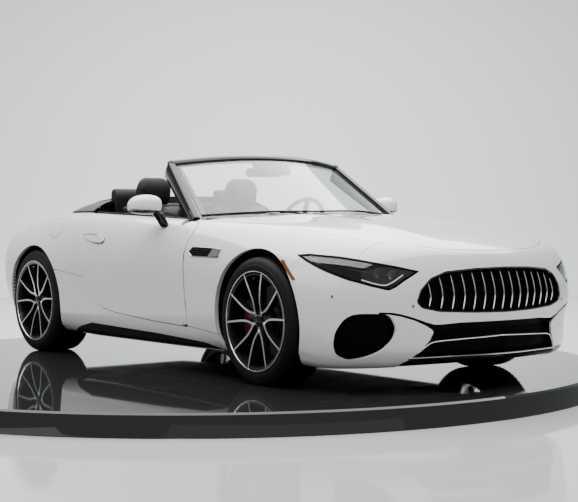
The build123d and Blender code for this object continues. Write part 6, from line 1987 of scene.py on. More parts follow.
# ------------------------------------------------------------------ cabin
@dataclass
class Dashboard:
    """Dashboard with its vents, screens and shelf, and the console between the seats."""

    edge: tuple[Point2, ...] = ((-0.826, 0.645), (-0.826, 0.885), (-0.700, 0.928), (-0.400, 0.928), (-0.330, 0.912),
                                (-0.298, 0.872), (-0.305, 0.790), (-0.420, 0.640))
    half_width: float = 0.738
    vent_x: tuple[float, ...] = (-0.64, -0.11, 0.11, 0.64)
    vent_centre: Point2 = (-0.297, 0.835)  # y, z
    console_edge: tuple[Point2, ...] = ((-0.455, 0.345), (-0.415, 0.600), (-0.385, 0.608), (-0.160, 0.553),
                                        (0.505, 0.553), (0.528, 0.525), (0.528, 0.345))
    console_half: float = 0.106
    # half size, middle and lean in radians of the middle display and of the driver's
    displays: tuple[tuple[Point2, Point3, float], ...] = (
        ((0.096, 0.150), (0, -0.335, 0.735), -0.42), ((0.148, 0.055), (0.37, -0.318, 0.885), -0.25))

    def _dash(self) -> BMesh:
        """Builds the padded upper with its bowed rear edge."""
        def longways() -> list[BMEdge]:
            """Returns the edges that run across the car."""
            return [e for e in bm.edges if abs(e.verts[0].co.x - e.verts[1].co.x) > self.half_width]

        bm = prism(self.edge, Axis.X, -self.half_width, self.half_width)
        rounded(bm, longways(), 0.022, 4)
        bmesh.ops.subdivide_edges(bm, edges=longways(), cuts=23, use_grid_fill=True)
        bmesh.ops.triangulate(bm, faces=[f for f in bm.faces if len(f.verts) > 4])

        def bow(v: Vector) -> Vector:
            """Bows the rear edge and raises the hood over the driver's display."""
            share = abs(v.x) / self.half_width
            hood = math.exp(-((v.x - 0.37) / 0.19) ** 2) * 0.020
            top = max(0.0, (v.z - 0.86) / 0.06)
            back = max(0.0, (v.y + 0.45) / 0.15)
            lift = hood * min(1.0, top) - 0.016 * share ** 4 * top
            return Vector((v.x, v.y - 0.030 * share ** 3 * back, v.z + lift))

        return moved(bm, bow)

    def _vent(self, x: float) -> BMesh:
        """Builds one round air vent: a bright ring and its cross vanes."""
        y, z = self.vent_centre
        ring = turned([(0.0, 0.030), (0.0, 0.036), (0.010, 0.036), (0.012, 0.033), (0.010, 0.030)], (x, y - 0.006, z),
                      (0, 1, 0.12), 36)
        vanes = [block((x - 0.029, y - 0.002, z + dz - 0.0012), (x + 0.029, y + 0.002, z + dz + 0.0012))
                 for dz in (-0.014, 0.0, 0.014)]
        vanes.append(block((x - 0.0012, y - 0.003, z - 0.029), (x + 0.0012, y + 0.001, z + 0.029)))
        return joined(ring, *vanes)

    def _wells(self) -> BMesh:
        """Builds the dark wells behind the vents."""
        y, z = self.vent_centre
        return joined(*(turned([(-0.02, 0), (-0.02, 0.031), (0.003, 0.031), (0.001, 0.0)], (x, y - 0.004, z),
                               (0, 1, 0.12), 30, closed=False) for x in self.vent_x))

    def _screens(self) -> BMesh:
        """Builds the upright middle display and the driver's display."""
        screens = []
        for (half_width, half_height), place, lean in self.displays:
            screen = block((-half_width, -0.006, -half_height), (half_width, 0.006, half_height), 0.005)
            turn = Matrix.Translation(place) @ Matrix.Rotation(lean, 4, "X")
            bmesh.ops.transform(screen, matrix=turn, verts=screen.verts[:])
            screens.append(screen)
        return joined(*screens)

    def _shelf(self) -> BMesh:
        """Builds the flat cover behind the screen."""
        return block((-0.66, -0.72, 0.925), (0.66, -0.60, 0.9335), 0.004)

    def _console(self) -> BMesh:
        """Builds the console with a soft rounded top."""
        bm = prism(self.console_edge, Axis.X, -self.console_half, self.console_half)
        return rounded(bm, bm.edges[:], 0.016, 4)

    def _console_trim(self) -> BMesh:
        """Builds the glossy panel of the console's top with its lids and keys."""
        parts = [block((-0.086, -0.150, 0.5528), (0.086, 0.150, 0.5570), 0.002),
                 block((-0.030, -0.105, 0.556), (0.030, 0.015, 0.562), 0.003)]
        parts += [block((x, 0.040, 0.556), (x + 0.026, 0.062, 0.560), 0.002) for x in (-0.078, -0.044, 0.018, 0.052)]
        return joined(*parts)

    def _armrest(self) -> BMesh:
        """Builds the padded armrest at the back of the console."""
        return block((-0.094, 0.185, 0.545), (0.094, 0.500, 0.592), 0.018, 4)

    def build(self) -> None:
        """Publishes the dashboard and the console."""
        publish("dash_pad", self._dash(), BLACK_LEATHER, "car", ["dashboard"], sharp=40)
        publish("dash_vents", joined(*(self._vent(x) for x in self.vent_x)), CHROME, "car")
        publish("dash_vent_wells", self._wells(), MESH_BLACK, "car")
        publish("dash_displays", self._screens(), DISPLAY, "car")
        publish("dash_shelf", self._shelf(), SATIN_BLACK, "car")
        publish("console_body", self._console(), SATIN_BLACK, "car", ["centre_console"])
        publish("console_panel", self._console_trim(), GLOSS_BLACK, "car")
        publish("console_armrest", self._armrest(), BLACK_LEATHER, "car")


@dataclass
class SteeringWheel:
    """Steering wheel with its padded rim, three spokes and column."""

    centre: Point3 = (0.370, -0.060, 0.905)
    tilt: float = 22.0  # degrees that the wheel's axis rises towards the driver
    radius: float = 0.170  # centre of the rim's section
    grip: float = 0.0148
    column_radius: float = 0.022
    column_length: float = 0.330

    def _placed(self, bm: BMesh) -> BMesh:
        """Turns a piece modelled round +Z, facing +Z, to the wheel's place."""
        turn = Matrix.Rotation(math.radians(self.tilt - 90), 4, "X")
        bmesh.ops.transform(bm, matrix=Matrix.Translation(self.centre) @ turn, verts=bm.verts[:])
        return bm

    def _rim(self) -> BMesh:
        """Turns the padded rim."""
        angles = [math.tau * k / 14 for k in range(14)]
        section = [(self.grip * math.sin(a), self.radius + self.grip * math.cos(a)) for a in angles]
        return self._placed(turned(section, (0, 0, 0), (0, 0, 1), 96))

    def _spokes(self) -> BMesh:
        """Builds the padded boss and the three spokes."""
        boss = block((-0.062, -0.052, -0.012), (0.062, 0.048, 0.018), 0.020, 4)
        arms = [block((-0.166, -0.016, -0.008), (-0.05, 0.022, 0.008), 0.006),
                block((0.05, -0.016, -0.008), (0.166, 0.022, 0.008), 0.006),
                block((-0.019, -0.166, -0.008), (0.019, -0.04, 0.008), 0.006)]
        return self._placed(joined(boss, *arms))

    def _keys(self) -> BMesh:
        """Builds the bright edges of the side spokes."""
        parts = [block((s * 0.108 - 0.034, -0.010, 0.007), (s * 0.108 + 0.034, 0.016, 0.010), 0.002) for s in (-1, 1)]
        return self._placed(joined(*parts))

    def _column(self) -> BMesh:
        """Turns the column."""
        return self._placed(turned([(-self.column_length, 0), (-self.column_length, self.column_radius),
                                    (-0.03, self.column_radius), (-0.005, 0.030), (0, 0)], (0, 0, 0), (0, 0, 1), 32,
                                   closed=False))

    def build(self) -> None:
        """Publishes the steering wheel."""
        publish("steering_rim", self._rim(), BLACK_LEATHER, "steering_wheel", ["steering_wheel"])
        publish("steering_boss", self._spokes(), SATIN_BLACK, "steering_wheel")
        publish("steering_keys", self._keys(), BRIGHT_ALLOY, "steering_wheel")
        publish("steering_column", self._column(), SATIN_BLACK, "steering_wheel")


@dataclass
class DoorTrim:
    """Inner lining of the left door."""

    outline: tuple[Point2, ...] = ((-0.414, 0.506), (-0.414, 0.893), (0.650, 0.916), (0.632, 0.604), (0.474, 0.488))
    inner_x: float = 0.7545
    outer_x: float = 0.7985

    def build(self) -> None:
        """Publishes the lining, its armrest, its speaker and its handle."""
        panel = prism(self.outline, Axis.X, self.inner_x + 0.012, self.outer_x, 0.03, 4)
        publish_pair("door_lining", panel, SATIN_BLACK, "door_left", "door_trim")
        pad = prism([(-0.36, 0.70), (-0.36, 0.86), (0.60, 0.885), (0.58, 0.72)], Axis.X, self.inner_x + 0.004,
                    self.inner_x + 0.016, 0.03, 4)
        rest = block((self.inner_x, -0.05, 0.650), (self.inner_x + 0.020, 0.50, 0.690), 0.009)
        publish_pair("door_lining_pad", joined(pad, rest), BLACK_LEATHER, "door_left")
        speaker = turned([(0, 0), (0, 0.075), (0.004, 0.080), (0.009, 0.080), (0.009, 0)],
                         (self.inner_x + 0.004, -0.24, 0.600), (1, 0, 0), 40, closed=False)
        pull = tube([(self.inner_x + 0.002, -0.20, 0.790), (self.inner_x + 0.0005, -0.15, 0.795),
                     (self.inner_x + 0.002, -0.10, 0.792)], 0.0045)
        publish_pair("door_lining_metal", joined(speaker, pull), BRIGHT_ALLOY, "door_left")


@dataclass
class Seat:
    """Left-hand seat: a cushion, a backrest with its own headrest, and their side shells."""

    x: float = 0.370
    width: float = 0.500
    voxel: float = 0.006
    frames: int = 20
    pressure: float = 4.0
    cloth_mass: float = 0.4
    stiffness: float = 18.0
    smoothings: int = 2
    cushion_side: tuple[Point2, ...] = ((0.034, 0.338), (0.030, 0.478), (0.066, 0.500), (0.28, 0.474), (0.470, 0.457),
                                        (0.536, 0.428), (0.536, 0.338))
    back_side: tuple[Point2, ...] = ((0.556, 0.352), (0.557, 0.480), (0.592, 0.700), (0.638, 0.900), (0.664, 1.030),
                                     (0.735, 1.030), (0.728, 0.880), (0.694, 0.640), (0.652, 0.410))
    head_side: tuple[Point2, ...] = ((0.652, 1.030), (0.628, 1.090), (0.620, 1.150), (0.634, 1.202), (0.672, 1.228),
                                     (0.710, 1.206), (0.728, 1.130), (0.722, 1.035))
    head_width: float = 0.236
    head_crown: float = 0.30  # how much the head rest narrows at its top
    crown_height: float = 0.085
    piping_inset: float = 0.034  # what the padding's own width leaves at the sides
    swell: float = 0.022  # the furthest that a cushion's point may move
    head_swell: float = 0.018
    channel: Point2 = (0.007, 0.0055)  # depth and half width
    channel_reach: float = 0.33  # of the width, each side of the middle
    cushion_channels: tuple[float, ...] = tuple(0.13 + 0.062 * k for k in range(6))  # along Y
    back_channels: tuple[float, ...] = tuple(0.60 + 0.068 * k for k in range(6))  # along Z
    shell_x: Point2 = (0.236, 0.2485)  # inner and outer faces, from the seat's middle

    def _pad(self, side: Sequence[Point2], width: float, rounding: float, waist: float) -> BMesh:
        """Makes the plain start of a padded piece.

        Args:
            side: Side outline.
            width: Width across the car.
            rounding: Radius of its edges.
            waist: How far its flanks pull in at mid height.

        Returns:
            The start shape, centred on the seat.
        """
        bm = prism(side, Axis.X, -width / 2, width / 2)
        rounded(bm, bm.edges[:], rounding, 3)
        zs = [v.co.z for v in bm.verts]
        low, high = min(zs), max(zs)

        def pull(v: Vector) -> Vector:
            """Centres a point on the seat and pulls the flanks in."""
            share = (v.z - low) / (high - low)
            return Vector((self.x + v.x * (1 - waist * math.sin(math.pi * share)), v.y, v.z))

        return moved(bm, pull)

    def _crowned(self, bm: BMesh) -> BMesh:
        """Narrows the upper part of the head rest to a round crown."""
        bmesh.ops.triangulate(bm, faces=bm.faces[:])
        bmesh.ops.subdivide_edges(bm, edges=bm.edges[:], cuts=2)
        top = max(v.co.z for v in bm.verts)

        def narrow(v: Vector) -> Vector:
            """Draws a point near the top towards the middle."""
            rise = max(0.0, 1 - (top - v.z) / self.crown_height)
            return Vector((self.x + (v.x - self.x) * (1 - self.head_crown * rise ** 2), v.y, v.z))

        return moved(bm, narrow)

    def _inflated(self, name: str, bm: BMesh, cap: float) -> BMesh:
        """Args:
            name: Name for the working object.
            bm: Start shape, which is freed.
            cap: The furthest that a point may move.

        Returns:
            The filled shape.
        """
        mesh = bpy.data.meshes.new(name)
        bm.to_mesh(mesh)
        bm.free()
        work = bpy.data.objects.new(name, mesh)
        bpy.context.scene.collection.objects.link(work)
        remesh = work.modifiers.new("remesh", "REMESH")
        remesh.mode, remesh.voxel_size = "VOXEL", self.voxel
        start = bpy.data.meshes.new_from_object(work.evaluated_get(bpy.context.evaluated_depsgraph_get()))
        work.modifiers.clear()
        work.data = start
        places = [v.co.copy() for v in start.vertices]
        cloth = work.modifiers.new("cloth", "CLOTH")
        cloth.settings.use_pressure = True
        cloth.settings.uniform_pressure_force = self.pressure
        cloth.settings.effector_weights.gravity = 0.0
        cloth.settings.mass = self.cloth_mass
        cloth.settings.tension_stiffness = cloth.settings.compression_stiffness = self.stiffness
        cloth.point_cache.frame_start, cloth.point_cache.frame_end = 1, self.frames
        scene = bpy.context.scene
        for step in range(1, self.frames + 1):
            scene.frame_set(step)
        final = bpy.data.meshes.new_from_object(work.evaluated_get(bpy.context.evaluated_depsgraph_get()))
        scene.frame_set(1)
        filled = bmesh.new()
        filled.from_mesh(final)
        for vert, place in zip(filled.verts, places):
            shift = vert.co - place
            if shift.length > cap:
                vert.co = place + shift * (cap / shift.length)
        bpy.data.objects.remove(work)
        for _ in range(self.smoothings):
            bmesh.ops.smooth_vert(filled, verts=filled.verts[:], factor=0.5, use_axis_x=True, use_axis_y=True,
                                  use_axis_z=True)
        return filled

    def _channelled(self, bm: BMesh, lines: Sequence[float], along: int, front: Vector) -> BMesh:
        """Sinks sewn channels across the faces that look towards front.

        Args:
            bm: The padded shape.
            lines: Places of the channels.
            along: Index of the coordinate that the places are measured on.
            front: Direction that the sewn side looks.

        Returns:
            The same mesh.
        """
        bm.normal_update()
        depth, half_width = self.channel
        shifts = []
        for vert in bm.verts:
            facing = max(0.0, vert.normal.dot(front))
            inner = max(0.0, 1 - (abs(vert.co.x - self.x) / (self.width * self.channel_reach)) ** 6)
            sink = sum(math.exp(-((vert.co[along] - line) / half_width) ** 2) for line in lines)
            shifts.append(-vert.normal * depth * facing * inner * sink)
        for vert, shift in zip(bm.verts, shifts):
            vert.co += shift
        return bm

    def _side_shells(self) -> BMesh:
        """Builds the plastic shields low on the sides of the seat."""
        outline = [(0.10, 0.336), (0.10, 0.395), (0.50, 0.395), (0.62, 0.47), (0.66, 0.47), (0.63, 0.345)]
        near, far = self.shell_x
        outer = prism(outline, Axis.X, self.x + near, self.x + far, 0.02, 4)
        inner = prism(outline, Axis.X, self.x - far, self.x - near, 0.02, 4)
        return joined(outer, inner)

    def _back_shell(self) -> BMesh:
        """Builds the glossy panel on the back of the backrest."""
        outline = [(-0.19, 0.50), (-0.21, 0.95), (-0.14, 1.02), (0.14, 1.02), (0.21, 0.95), (0.19, 0.50)]
        bm = prism(outline, Axis.Y, 0.0, 0.008, 0.03, 4)
        lean = math.atan2(0.085, 0.62)

        def place(v: Vector) -> Vector:
            """Leans a point back with the backrest."""
            return Vector((self.x + v.x, 0.674 + v.y + (v.z - 0.50) * math.tan(lean), v.z))

        return moved(bm, place)

    def build(self) -> None:
        """Publishes both seats."""
        width = self.width - self.piping_inset
        cushion = self._inflated("cushion_work", self._pad(self.cushion_side, width, 0.030, 0.0), self.swell)
        cushion = self._channelled(cushion, self.cushion_channels, 1, Vector((0, -0.1, 1)))
        back = self._inflated("back_work", self._pad(self.back_side, width, 0.026, 0.035), self.swell)
        back = self._channelled(back, self.back_channels, 2, Vector((0, -1, 0.2)))
        head = self._crowned(self._pad(self.head_side, self.head_width, 0.030, -0.02))
        head = self._inflated("head_work", head, self.head_swell)
        pieces = [*publish_pair("seat_cushion_pad", cushion, BLACK_LEATHER, "car", "seat_cushion", 60),
                  *publish_pair("seat_back_pad", back, BLACK_LEATHER, "car", "seat_back", 60),
                  *publish_pair("seat_head_pad", head, BLACK_LEATHER, "car", sharp=60)]
        for piece in pieces:
            smooth = piece.modifiers.new("smooth", "SUBSURF")
            smooth.levels = smooth.render_levels = 1
        publish_pair("seat_side_shells", self._side_shells(), SATIN_BLACK, "car")
        publish_pair("seat_back_shell", self._back_shell(), GLOSS_BLACK, "car")


# ------------------------------------------------------------------ stowed top and rear end
@dataclass
class StowedTop:
    """Soft cover over the folded top, with its side panels, and the small seat backs ahead of it."""

    # side outline of the cover along the middle, front to rear: y, z
    crown: tuple[Point2, ...] = ((0.885, 1.092), (0.95, 1.095), (1.04, 1.090), (1.16, 1.073), (1.28, 1.047),
                                 (1.376, 1.020))
    edge_z: float = 0.985
    edge_gap: float = 0.010  # between the cover and the deck
    foot_z: float = 0.945
    hem_drop: float = 0.035
    side_end_y: float = 1.20  # rear end of each side panel
    columns: int = 36
    shoulder: float = 5.5  # how square the cover's shoulders are
    rest_side: tuple[Point2, ...] = ((0.796, 0.945), (0.790, 1.090), (0.806, 1.134), (0.838, 1.150), (0.868, 1.130),
                                     (0.885, 0.945))
    rest_x: float = 0.425
    rest_width: float = 0.35

    def _half_width(self, y: float) -> float:
        """Returns the half width of the cover at y, just inside the deck's opening."""
        return height_at([(along, half) for half, along in DECK_OPENING], y) - self.edge_gap

    def _crown_z(self, y: float) -> float:
        """Returns the height of the cover at the middle of the car."""
        return height_at(self.crown, y)

    def _surface(self, across: float, y: float) -> Vector:
        """Returns a point of the cover, at a share of its half width and a y."""
        flank = abs(across) ** self.shoulder
        share = (y - self.crown[0][0]) / (self.crown[-1][0] - self.crown[0][0])
        edge = self.edge_z - 0.028 * max(0.0, (y - 1.2) / 0.2)
        sag = 0.004 * math.sin(math.pi * 3 * share) ** 2 * (1 - flank)
        z = self._crown_z(y) + (edge - self._crown_z(y)) * flank - sag
        return Vector((across * self._half_width(y), y, z))

    def _cover(self) -> BMesh:
        """Builds the cover as one crowned cloth sheet with its hem turned down."""
        first, last = self.crown[0][0], self.crown[-1][0]
        # more columns towards the shoulders, where the cover bends most
        bm = spread(self.columns, 24,
                    lambda v: self._surface(math.sin(v.x * math.pi), first + (last - first) * (v.y + 0.5)))
        ring = [e for e in bm.edges if e.is_boundary]
        down = bmesh.ops.extrude_edge_only(bm, edges=ring)["geom"]
        for vert in (g for g in down if isinstance(g, BMVert)):
            vert.co.z = self.foot_z if vert.co.y < first + 0.01 else max(self.foot_z, vert.co.z - self.hem_drop)
        ring = [e for e in bm.edges if e.is_boundary]
        bmesh.ops.holes_fill(bm, edges=ring, sides=0)
        bmesh.ops.recalc_face_normals(bm, faces=bm.faces[:])
        return bm

    def _side_panel(self) -> BMesh:
        """Builds the smooth panel that closes the cover's front corner."""
        start, end = self.crown[0][0] - 0.055, self.side_end_y

        def place(v: Vector) -> Vector:
            """Takes a point of the unit grid to the cover's front corner."""
            share = v.y + 0.5
            inner = 0.80 + 0.19 * share ** 1.5
            across = inner + (0.998 - inner) * (v.x + 0.5)
            y = start + (end - start) * share
            point = self._surface(across, max(y, self.crown[0][0]))
            return Vector((point.x + 0.004, y, point.z + 0.004))

        return walled(facing(spread(14, 16, place), (0, 0, 1)), 0.004)

    def _hem(self) -> BMesh:
        """Builds the sewn hems along the front and across the middle of the cover."""
        hems = []
        for y, radius in ((self.crown[0][0] + 0.004, 0.0045), (1.04, 0.0022), (1.055, 0.0022)):
            hems.append(tube([tuple(self._surface(math.sin(k / 32 * math.pi), y)) for k in range(-15, 16)], radius))
        return joined(*hems)

    def _small_backs(self) -> BMesh:
        """Builds the padded backs of the two small rear seats, each with its low head rest."""
        bench = prism([(0.800, 0.945), (0.800, 1.030), (0.818, 1.046), (0.866, 1.046), (0.884, 1.030), (0.884, 0.945)],
                      Axis.X, -0.60, 0.60, 0.012, 3)
        parts = [bench]
        for side in (-1, 1):
            rest = prism(self.rest_side, Axis.X, side * self.rest_x - self.rest_width / 2,
                         side * self.rest_x + self.rest_width / 2)
            parts.append(rounded(rest, rest.edges[:], 0.034, 4))
        return joined(*parts)

    def build(self) -> None:
        """Publishes the stowed top."""
        cover = publish("top_cover", self._cover(), TOP_CLOTH, "car", ["tonneau_cover"], sharp=50)
        publish_pair("top_side_panel", self._side_panel(), PANEL_GREY, "car")
        publish("top_hem", self._hem(), SEAL_RUBBER, "car")
        backs = publish("small_seat_backs", self._small_backs(), BLACK_LEATHER, "car", sharp=60)
        pin = turned([(0, 0), (0, 0.010), (0.012, 0.009), (0.015, 0.0)], (0.700, 0.846, 1.010), (0, 0, 1), 20,
                     closed=False)
        publish_pair("top_pin", pin, CHROME, "car")


@dataclass
class RearEnd:
    """Diffuser with its fins, tailpipes, plate recess and boot details."""

    hull: BodyHull
    panels: BodyPanels
    pipe_x: float = 0.440
    pipe_z: float = 0.340
    pipe_size: Point2 = (0.130, 0.070)
    pipe_wall: float = 0.005
    pipe_face_y: float = 2.297
    pipe_length: float = 0.088
    fin_places: tuple[float, ...] = (-0.27, -0.09, 0.09, 0.27)
    skin_depths: Point2 = (0.004, 0.030)
    lip_width: float = 1.14
    lip_depth: float = 0.055
    lip_z: float = 0.872
    plate_size: Point2 = (0.52, 0.112)
    plate_z: float = 0.535

    def _diffuser(self) -> BMesh:
        """Cuts the dark lower rear from the shell and adds its fins."""
        half_width, front_y, top = self.panels.diffuser
        gap = self.panels.seam
        zone = block((-half_width + gap, front_y + gap, -1), (half_width - gap, REACH, top - gap))
        outer, inner = (self.hull.offset(depth) for depth in self.skin_depths)
        base = boolean(boolean(outer, inner, "DIFFERENCE"), zone, "INTERSECT")
        for side in (-1, 1):
            base = boolean(base, self._pipe_tool(side, 0.004), "DIFFERENCE")
        fins = []
        for x in self.fin_places:
            y = self.hull.tail_y(x, 0.30)
            fins.append(prism([(y - 0.16, 0.272), (y - 0.012, 0.290), (y - 0.004, 0.345), (y - 0.05, 0.372),
                               (y - 0.16, 0.372)], Axis.X, x - 0.005, x + 0.005, 0.006, 3))
        return joined(base, *fins)

    def _pipe_outline(self, side: int, grow: float = 0.0) -> list[Point2]:
        """Returns the outline of one tailpipe, grown all round."""
        w, h = self.pipe_size[0] / 2 + grow, self.pipe_size[1] / 2 + grow
        x, z = side * self.pipe_x, self.pipe_z
        return [(x - w, z - h), (x + w, z - h), (x + w, z + h), (x - w, z + h)]

    def _pipe_tool(self, side: int, grow: float) -> BMesh:
        """Returns a rounded prism round one tailpipe."""
        return prism(self._pipe_outline(side, grow), Axis.Y, self.pipe_face_y - 0.25, self.pipe_face_y + 0.3, 0.026, 5)

    def _pipe(self, side: int) -> BMesh:
        """Builds one bright tailpipe trim, hollow."""
        outline = self._pipe_outline(side)
        outer = prism(outline, Axis.Y, self.pipe_face_y - self.pipe_length, self.pipe_face_y, 0.025, 5)
        inner = prism(offset_outline(outline, -self.pipe_wall), Axis.Y, self.pipe_face_y - self.pipe_length + 0.004,
                      self.pipe_face_y + 0.01, 0.021, 5)
        pipe = boolean(outer, inner, "DIFFERENCE")
        inner.free()
        return pipe

    def _plate(self) -> BMesh:
        """Builds the blank number plate on the rear bumper."""
        w, h = self.plate_size[0] / 2, self.plate_size[1] / 2
        y = max(self.hull.tail_y(x, self.plate_z + dz) for x in (0.0, w) for dz in (-h, h))
        return prism([(-w, self.plate_z - h), (w, self.plate_z - h), (w, self.plate_z + h), (-w, self.plate_z + h)],
                     Axis.Y, self.hull.tail_y(0, self.plate_z) - 0.045, y - 0.0005, 0.012, 4)

    def _lip(self) -> BMesh:
        """Builds the small spoiler lip along the rear edge of the boot lid."""
        def place(v: Vector) -> Vector:
            """Takes a point of the unit grid to the boot lid's rear edge."""
            x = v.x * self.lip_width
            y = self.hull.tail_y(x, self.lip_z) - 0.016 - (0.5 - v.y) * self.lip_depth
            rise = 0.010 * (v.y + 0.5) ** 2 * (1 - (abs(v.x) * 2) ** 6)
            return Vector((x, y, self.hull.top_z(x, y) + 0.0006 + rise))

        return walled(facing(spread(30, 4, place), (0, 0, 1)), 0.004)

    def build(self) -> None:
        """Publishes the rear end."""
        publish("diffuser_panel", self._diffuser(), GLOSS_BLACK, "car", ["rear_diffuser"])
        publish("tailpipes", joined(self._pipe(-1), self._pipe(1)), CHROME, "car")
        publish("rear_plate", self._plate(), SATIN_BLACK, "car")
        publish("boot_lip", self._lip(), WHITE_PAINT, "boot_lid")


@dataclass
class EngineBay:
    """Engine under its ribbed cover, its air box and pipes, and the mat inside the bonnet."""

    hull: BodyHull
    panels: BodyPanels
    bank: tuple[Point2, ...] = ((0.055, 0.560), (0.190, 0.500), (0.266, 0.590), (0.246, 0.680), (0.150, 0.735),
                                (0.055, 0.705))
    bank_y: Point2 = (-1.88, -1.16)
    pipe: tuple[Point3, ...] = ((0.195, -1.900, 0.690), (0.215, -1.780, 0.735), (0.205, -1.600, 0.745),
                                (0.150, -1.500, 0.735))
    pipe_radius: float = 0.034
    pulleys: tuple[Point3, ...] = ((0.0, 0.40, 0.085), (0.14, 0.50, 0.055), (-0.14, 0.50, 0.055), (0.0, 0.60, 0.045))
    pulley_y: float = -1.965
    ribs: tuple[float, ...] = (-0.10, -0.06, -0.02, 0.02, 0.06, 0.10)
    rib_half: float = 0.008
    mat_inset: float = 0.10
    mat_depths: Point2 = (PANEL - 0.001, PANEL + 0.006)

    def _engine(self) -> BMesh:
        """Builds the block, its two banks, the sump and the pulleys."""
        bank = prism(self.bank, Axis.Y, *self.bank_y, 0.012, 3)
        pulleys = [turned([(0, 0), (0, r), (0.022, r), (0.022, r - 0.012), (0.030, r - 0.012), (0.030, 0)],
                          (x, self.pulley_y, z), (0, 1, 0), 32, closed=False) for x, z, r in self.pulleys]
        return joined(block((-0.21, -1.94, 0.36), (0.21, -1.10, 0.60), 0.02), mirrored(bank), bank,
                      block((-0.16, -1.86, 0.265), (0.16, -1.20, 0.38), 0.03), *pulleys)

    def _cover(self) -> BMesh:
        """Builds the ribbed cover between the banks and the air box ahead of it."""
        half = self.rib_half
        ribs = [block((x - half, -1.74, 0.765), (x + half, -1.24, 0.784), 0.004) for x in self.ribs]
        top = block((-0.150, -1.80, 0.690), (0.150, -1.18, 0.772), 0.018)
        box = block((-0.255, -1.995, 0.620), (0.255, -1.885, 0.745), 0.02)
        return joined(top, box, *ribs)

    def build(self) -> None:
        """Publishes the engine and the bonnet's mat."""
        publish("engine_block", self._engine(), CAST_STEEL, "car", ["engine"])
        publish("engine_cover", self._cover(), SATIN_BLACK, "car")
        publish_pair("engine_pipe", tube(self.pipe, self.pipe_radius), SEAL_RUBBER, "car")
        outline = offset_outline(whole(self.panels.bonnet_edge), -self.mat_inset)
        edge = prism(outline, Axis.Z, self.panels.bonnet_floor_z, REACH)
        outer, inner = (self.hull.offset(depth) for depth in self.mat_depths)
        mat = boolean(boolean(outer, inner, "DIFFERENCE"), edge, "INTERSECT")
        publish("bonnet_mat", mat, UNDER_BLACK, "bonnet")


@dataclass
class CarriedNodes:
    """Finishes for the nodes whose own shape stays in view."""

    finishes: tuple[tuple[str, Finish], ...] = (
        ("underbody", UNDER_BLACK), ("wheel_liners", UNDER_BLACK), ("firewall", UNDER_BLACK),
        ("rear_bulkhead", CARPET), ("boot_tub", CARPET), ("front_suspension", CAST_STEEL),
        ("rear_suspension", CAST_STEEL), ("front_knuckle_left", CAST_STEEL), ("front_knuckle_right", CAST_STEEL),
        ("lid_hinges", CAST_STEEL), ("door_hinges", CAST_STEEL), ("seat_bases", SATIN_BLACK), ("cowl", SATIN_BLACK))

    def build(self) -> None:
        """Gives each node its material."""
        for name, finish in self.finishes:
            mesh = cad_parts[name].data
            mesh.materials.clear()
            mesh.materials.append(finish.material())
            LOG.info("%s: finished in %s", name, finish.name)


# ------------------------------------------------------------------ studio
@dataclass(frozen=True)
class SoftLight:
    """One rectangular soft light."""

    name: str
    place: Point3
    aim: Point3
    size: Point2
    power: float

    def build(self) -> None:
        """Adds the light."""
        data = bpy.data.lights.new(self.name, "AREA")
        data.shape, data.size, data.size_y, data.energy = "RECTANGLE", *self.size, self.power
        light = bpy.data.objects.new(self.name, data)
        bpy.context.scene.collection.objects.link(light)
        turn = (Vector(self.aim) - Vector(self.place)).to_track_quat("-Z", "Y").to_matrix().to_4x4()
        light.matrix_world = Matrix.Translation(self.place) @ turn


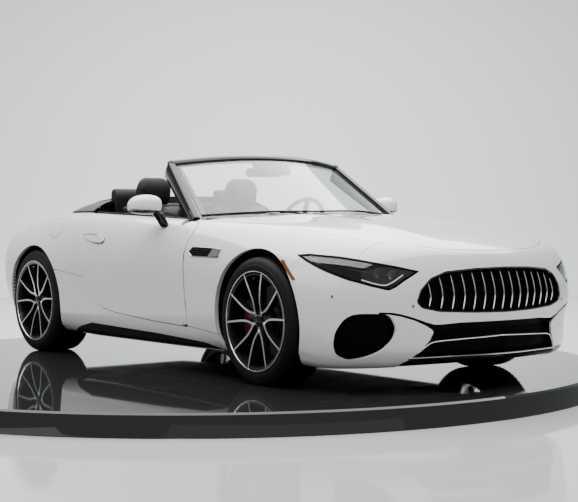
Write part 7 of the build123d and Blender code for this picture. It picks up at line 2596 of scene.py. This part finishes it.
@dataclass
class Studio:
    """Pale floor and wall, dark turntable, soft lights and the camera."""

    camera_place: Point3 = (-5.4154, -7.6388, 0.9134)
    camera_yaw: float = 0.6423  # from +Y towards +X, radians
    camera_pitch: float = -0.0212
    camera_roll: float = -0.0033
    lens: float = 86.8
    sensor: float = 36.0
    floor_half: float = 16.0
    wall_distance: float = 9.5
    wall_height: float = 9.0
    cove_radius: float = 2.5
    table_centre: Point2 = (-0.35, -0.03)
    table_radius: float = 2.50
    table_height: float = 0.12
    lights: tuple[SoftLight, ...] = (
        SoftLight("ceiling_light", (0.5, 1.0, 5.4), (0.5, 1.0, 0), (11.0, 12.0), 2050),
        SoftLight("side_light", (-7.5, 0.5, 3.4), (0, 0, 0.6), (7.0, 2.6), 60),
        SoftLight("front_light", (-2.5, -8.5, 4.2), (0, -1, 0.5), (10.0, 4.0), 34),
        SoftLight("wall_light", (1.8, 2.4, 5.6), (5.7, 7.6, 2.2), (8.0, 2.0), 700))
    room_colour: tuple[float, ...] = (0.86, 0.89, 0.90, 1)
    room_strength: float = 0.30

    def _camera(self) -> None:
        """Adds the camera and makes it the scene's."""
        data = bpy.data.cameras.new("camera")
        data.lens, data.sensor_width, data.sensor_fit = self.lens, self.sensor, "HORIZONTAL"
        data.clip_end = 100.0
        camera = bpy.data.objects.new("camera", data)
        bpy.context.scene.collection.objects.link(camera)
        flat = math.cos(self.camera_pitch)
        forward = Vector((math.sin(self.camera_yaw) * flat, math.cos(self.camera_yaw) * flat,
                          math.sin(self.camera_pitch)))
        turn = forward.to_track_quat("-Z", "Y").to_matrix().to_4x4() @ Matrix.Rotation(self.camera_roll, 4, "Z")
        camera.matrix_world = Matrix.Translation(self.camera_place) @ turn
        bpy.context.scene.camera = camera

    def _set(self) -> None:
        """Adds the floor and, behind the car, the wall that rises from it in one cove."""
        floor = bmesh.new()
        bmesh.ops.create_grid(floor, x_segments=8, y_segments=8, size=self.floor_half)
        bmesh.ops.translate(floor, vec=(0, 0, -self.table_height), verts=floor.verts[:])
        dressed("studio_floor", floor, [STUDIO_FLOOR])
        edge, low = self.table_radius, -self.table_height
        table = turned([(0, 0), (0, edge - 0.012), (-0.010, edge), (low + 0.012, edge + 0.012), (low, edge + 0.020)],
                       (*self.table_centre, 0), (0, 0, 1), 192, closed=False)
        dressed("turntable", table, [TURNTABLE])
        ahead = Vector((math.sin(self.camera_yaw), math.cos(self.camera_yaw), 0))
        across = Vector((ahead.y, -ahead.x, 0))
        start = ahead * self.wall_distance - across * self.floor_half
        wall = bmesh.new()
        steps = 12
        base = Vector((0, 0, 0.002 - self.table_height))
        profile = [start + base]
        for step in range(steps + 1):
            angle = step / steps * math.pi / 2
            profile.append(start + ahead * self.cove_radius * math.sin(angle)
                           + Vector((0, 0, self.cove_radius * (1 - math.cos(angle)))) + base)
        profile.append(profile[-1] + Vector((0, 0, self.wall_height)))
        verts = [wall.verts.new(point) for point in profile]
        edges = [wall.edges.new(pair) for pair in zip(verts, verts[1:])]
        grown = bmesh.ops.extrude_edge_only(wall, edges=edges)["geom"]
        bmesh.ops.translate(wall, vec=across * 2 * self.floor_half,
                            verts=[g for g in grown if isinstance(g, BMVert)])
        dressed("studio_wall", wall, [STUDIO_WALL])

    def build(self) -> None:
        """Builds the set, the lights and the camera."""
        self._set()
        for light in self.lights:
            light.build()
        world = bpy.data.worlds.new("studio")
        world.use_nodes = True
        background = world.node_tree.nodes["Background"]
        background.inputs["Color"].default_value = self.room_colour
        background.inputs["Strength"].default_value = self.room_strength
        bpy.context.scene.world = world
        self._camera()


def main() -> None:
    """Builds every sub-assembly round the frame and reports it."""
    logging.basicConfig(level=logging.INFO, format="%(message)s")
    Studio().build()
    hull = BodyHull()
    panels = BodyPanels(hull)
    panels.build()

    FrontEnd(hull, panels).build()
    Lamps(hull, panels).build()
    RoadWheel("front", FRONT_HUB, 0.275, "front_wheel").build()
    RoadWheel("rear", REAR_HUB, 0.300, "rear_wheel").build()
    BrakeCaliper("front", FRONT_HUB, "knuckle_left", 1).build()
    BrakeCaliper("rear", REAR_HUB, "car", -1).build()

    Windscreen().build()
    DoorMirror(hull).build()
    SideDetails(hull).build()

    Dashboard().build()
    SteeringWheel().build()
    DoorTrim().build()
    Seat().build()
    StowedTop().build()
    RearEnd(hull, panels).build()
    EngineBay(hull, panels).build()
    CarriedNodes().build()


if __name__ == "__main__":
    main()
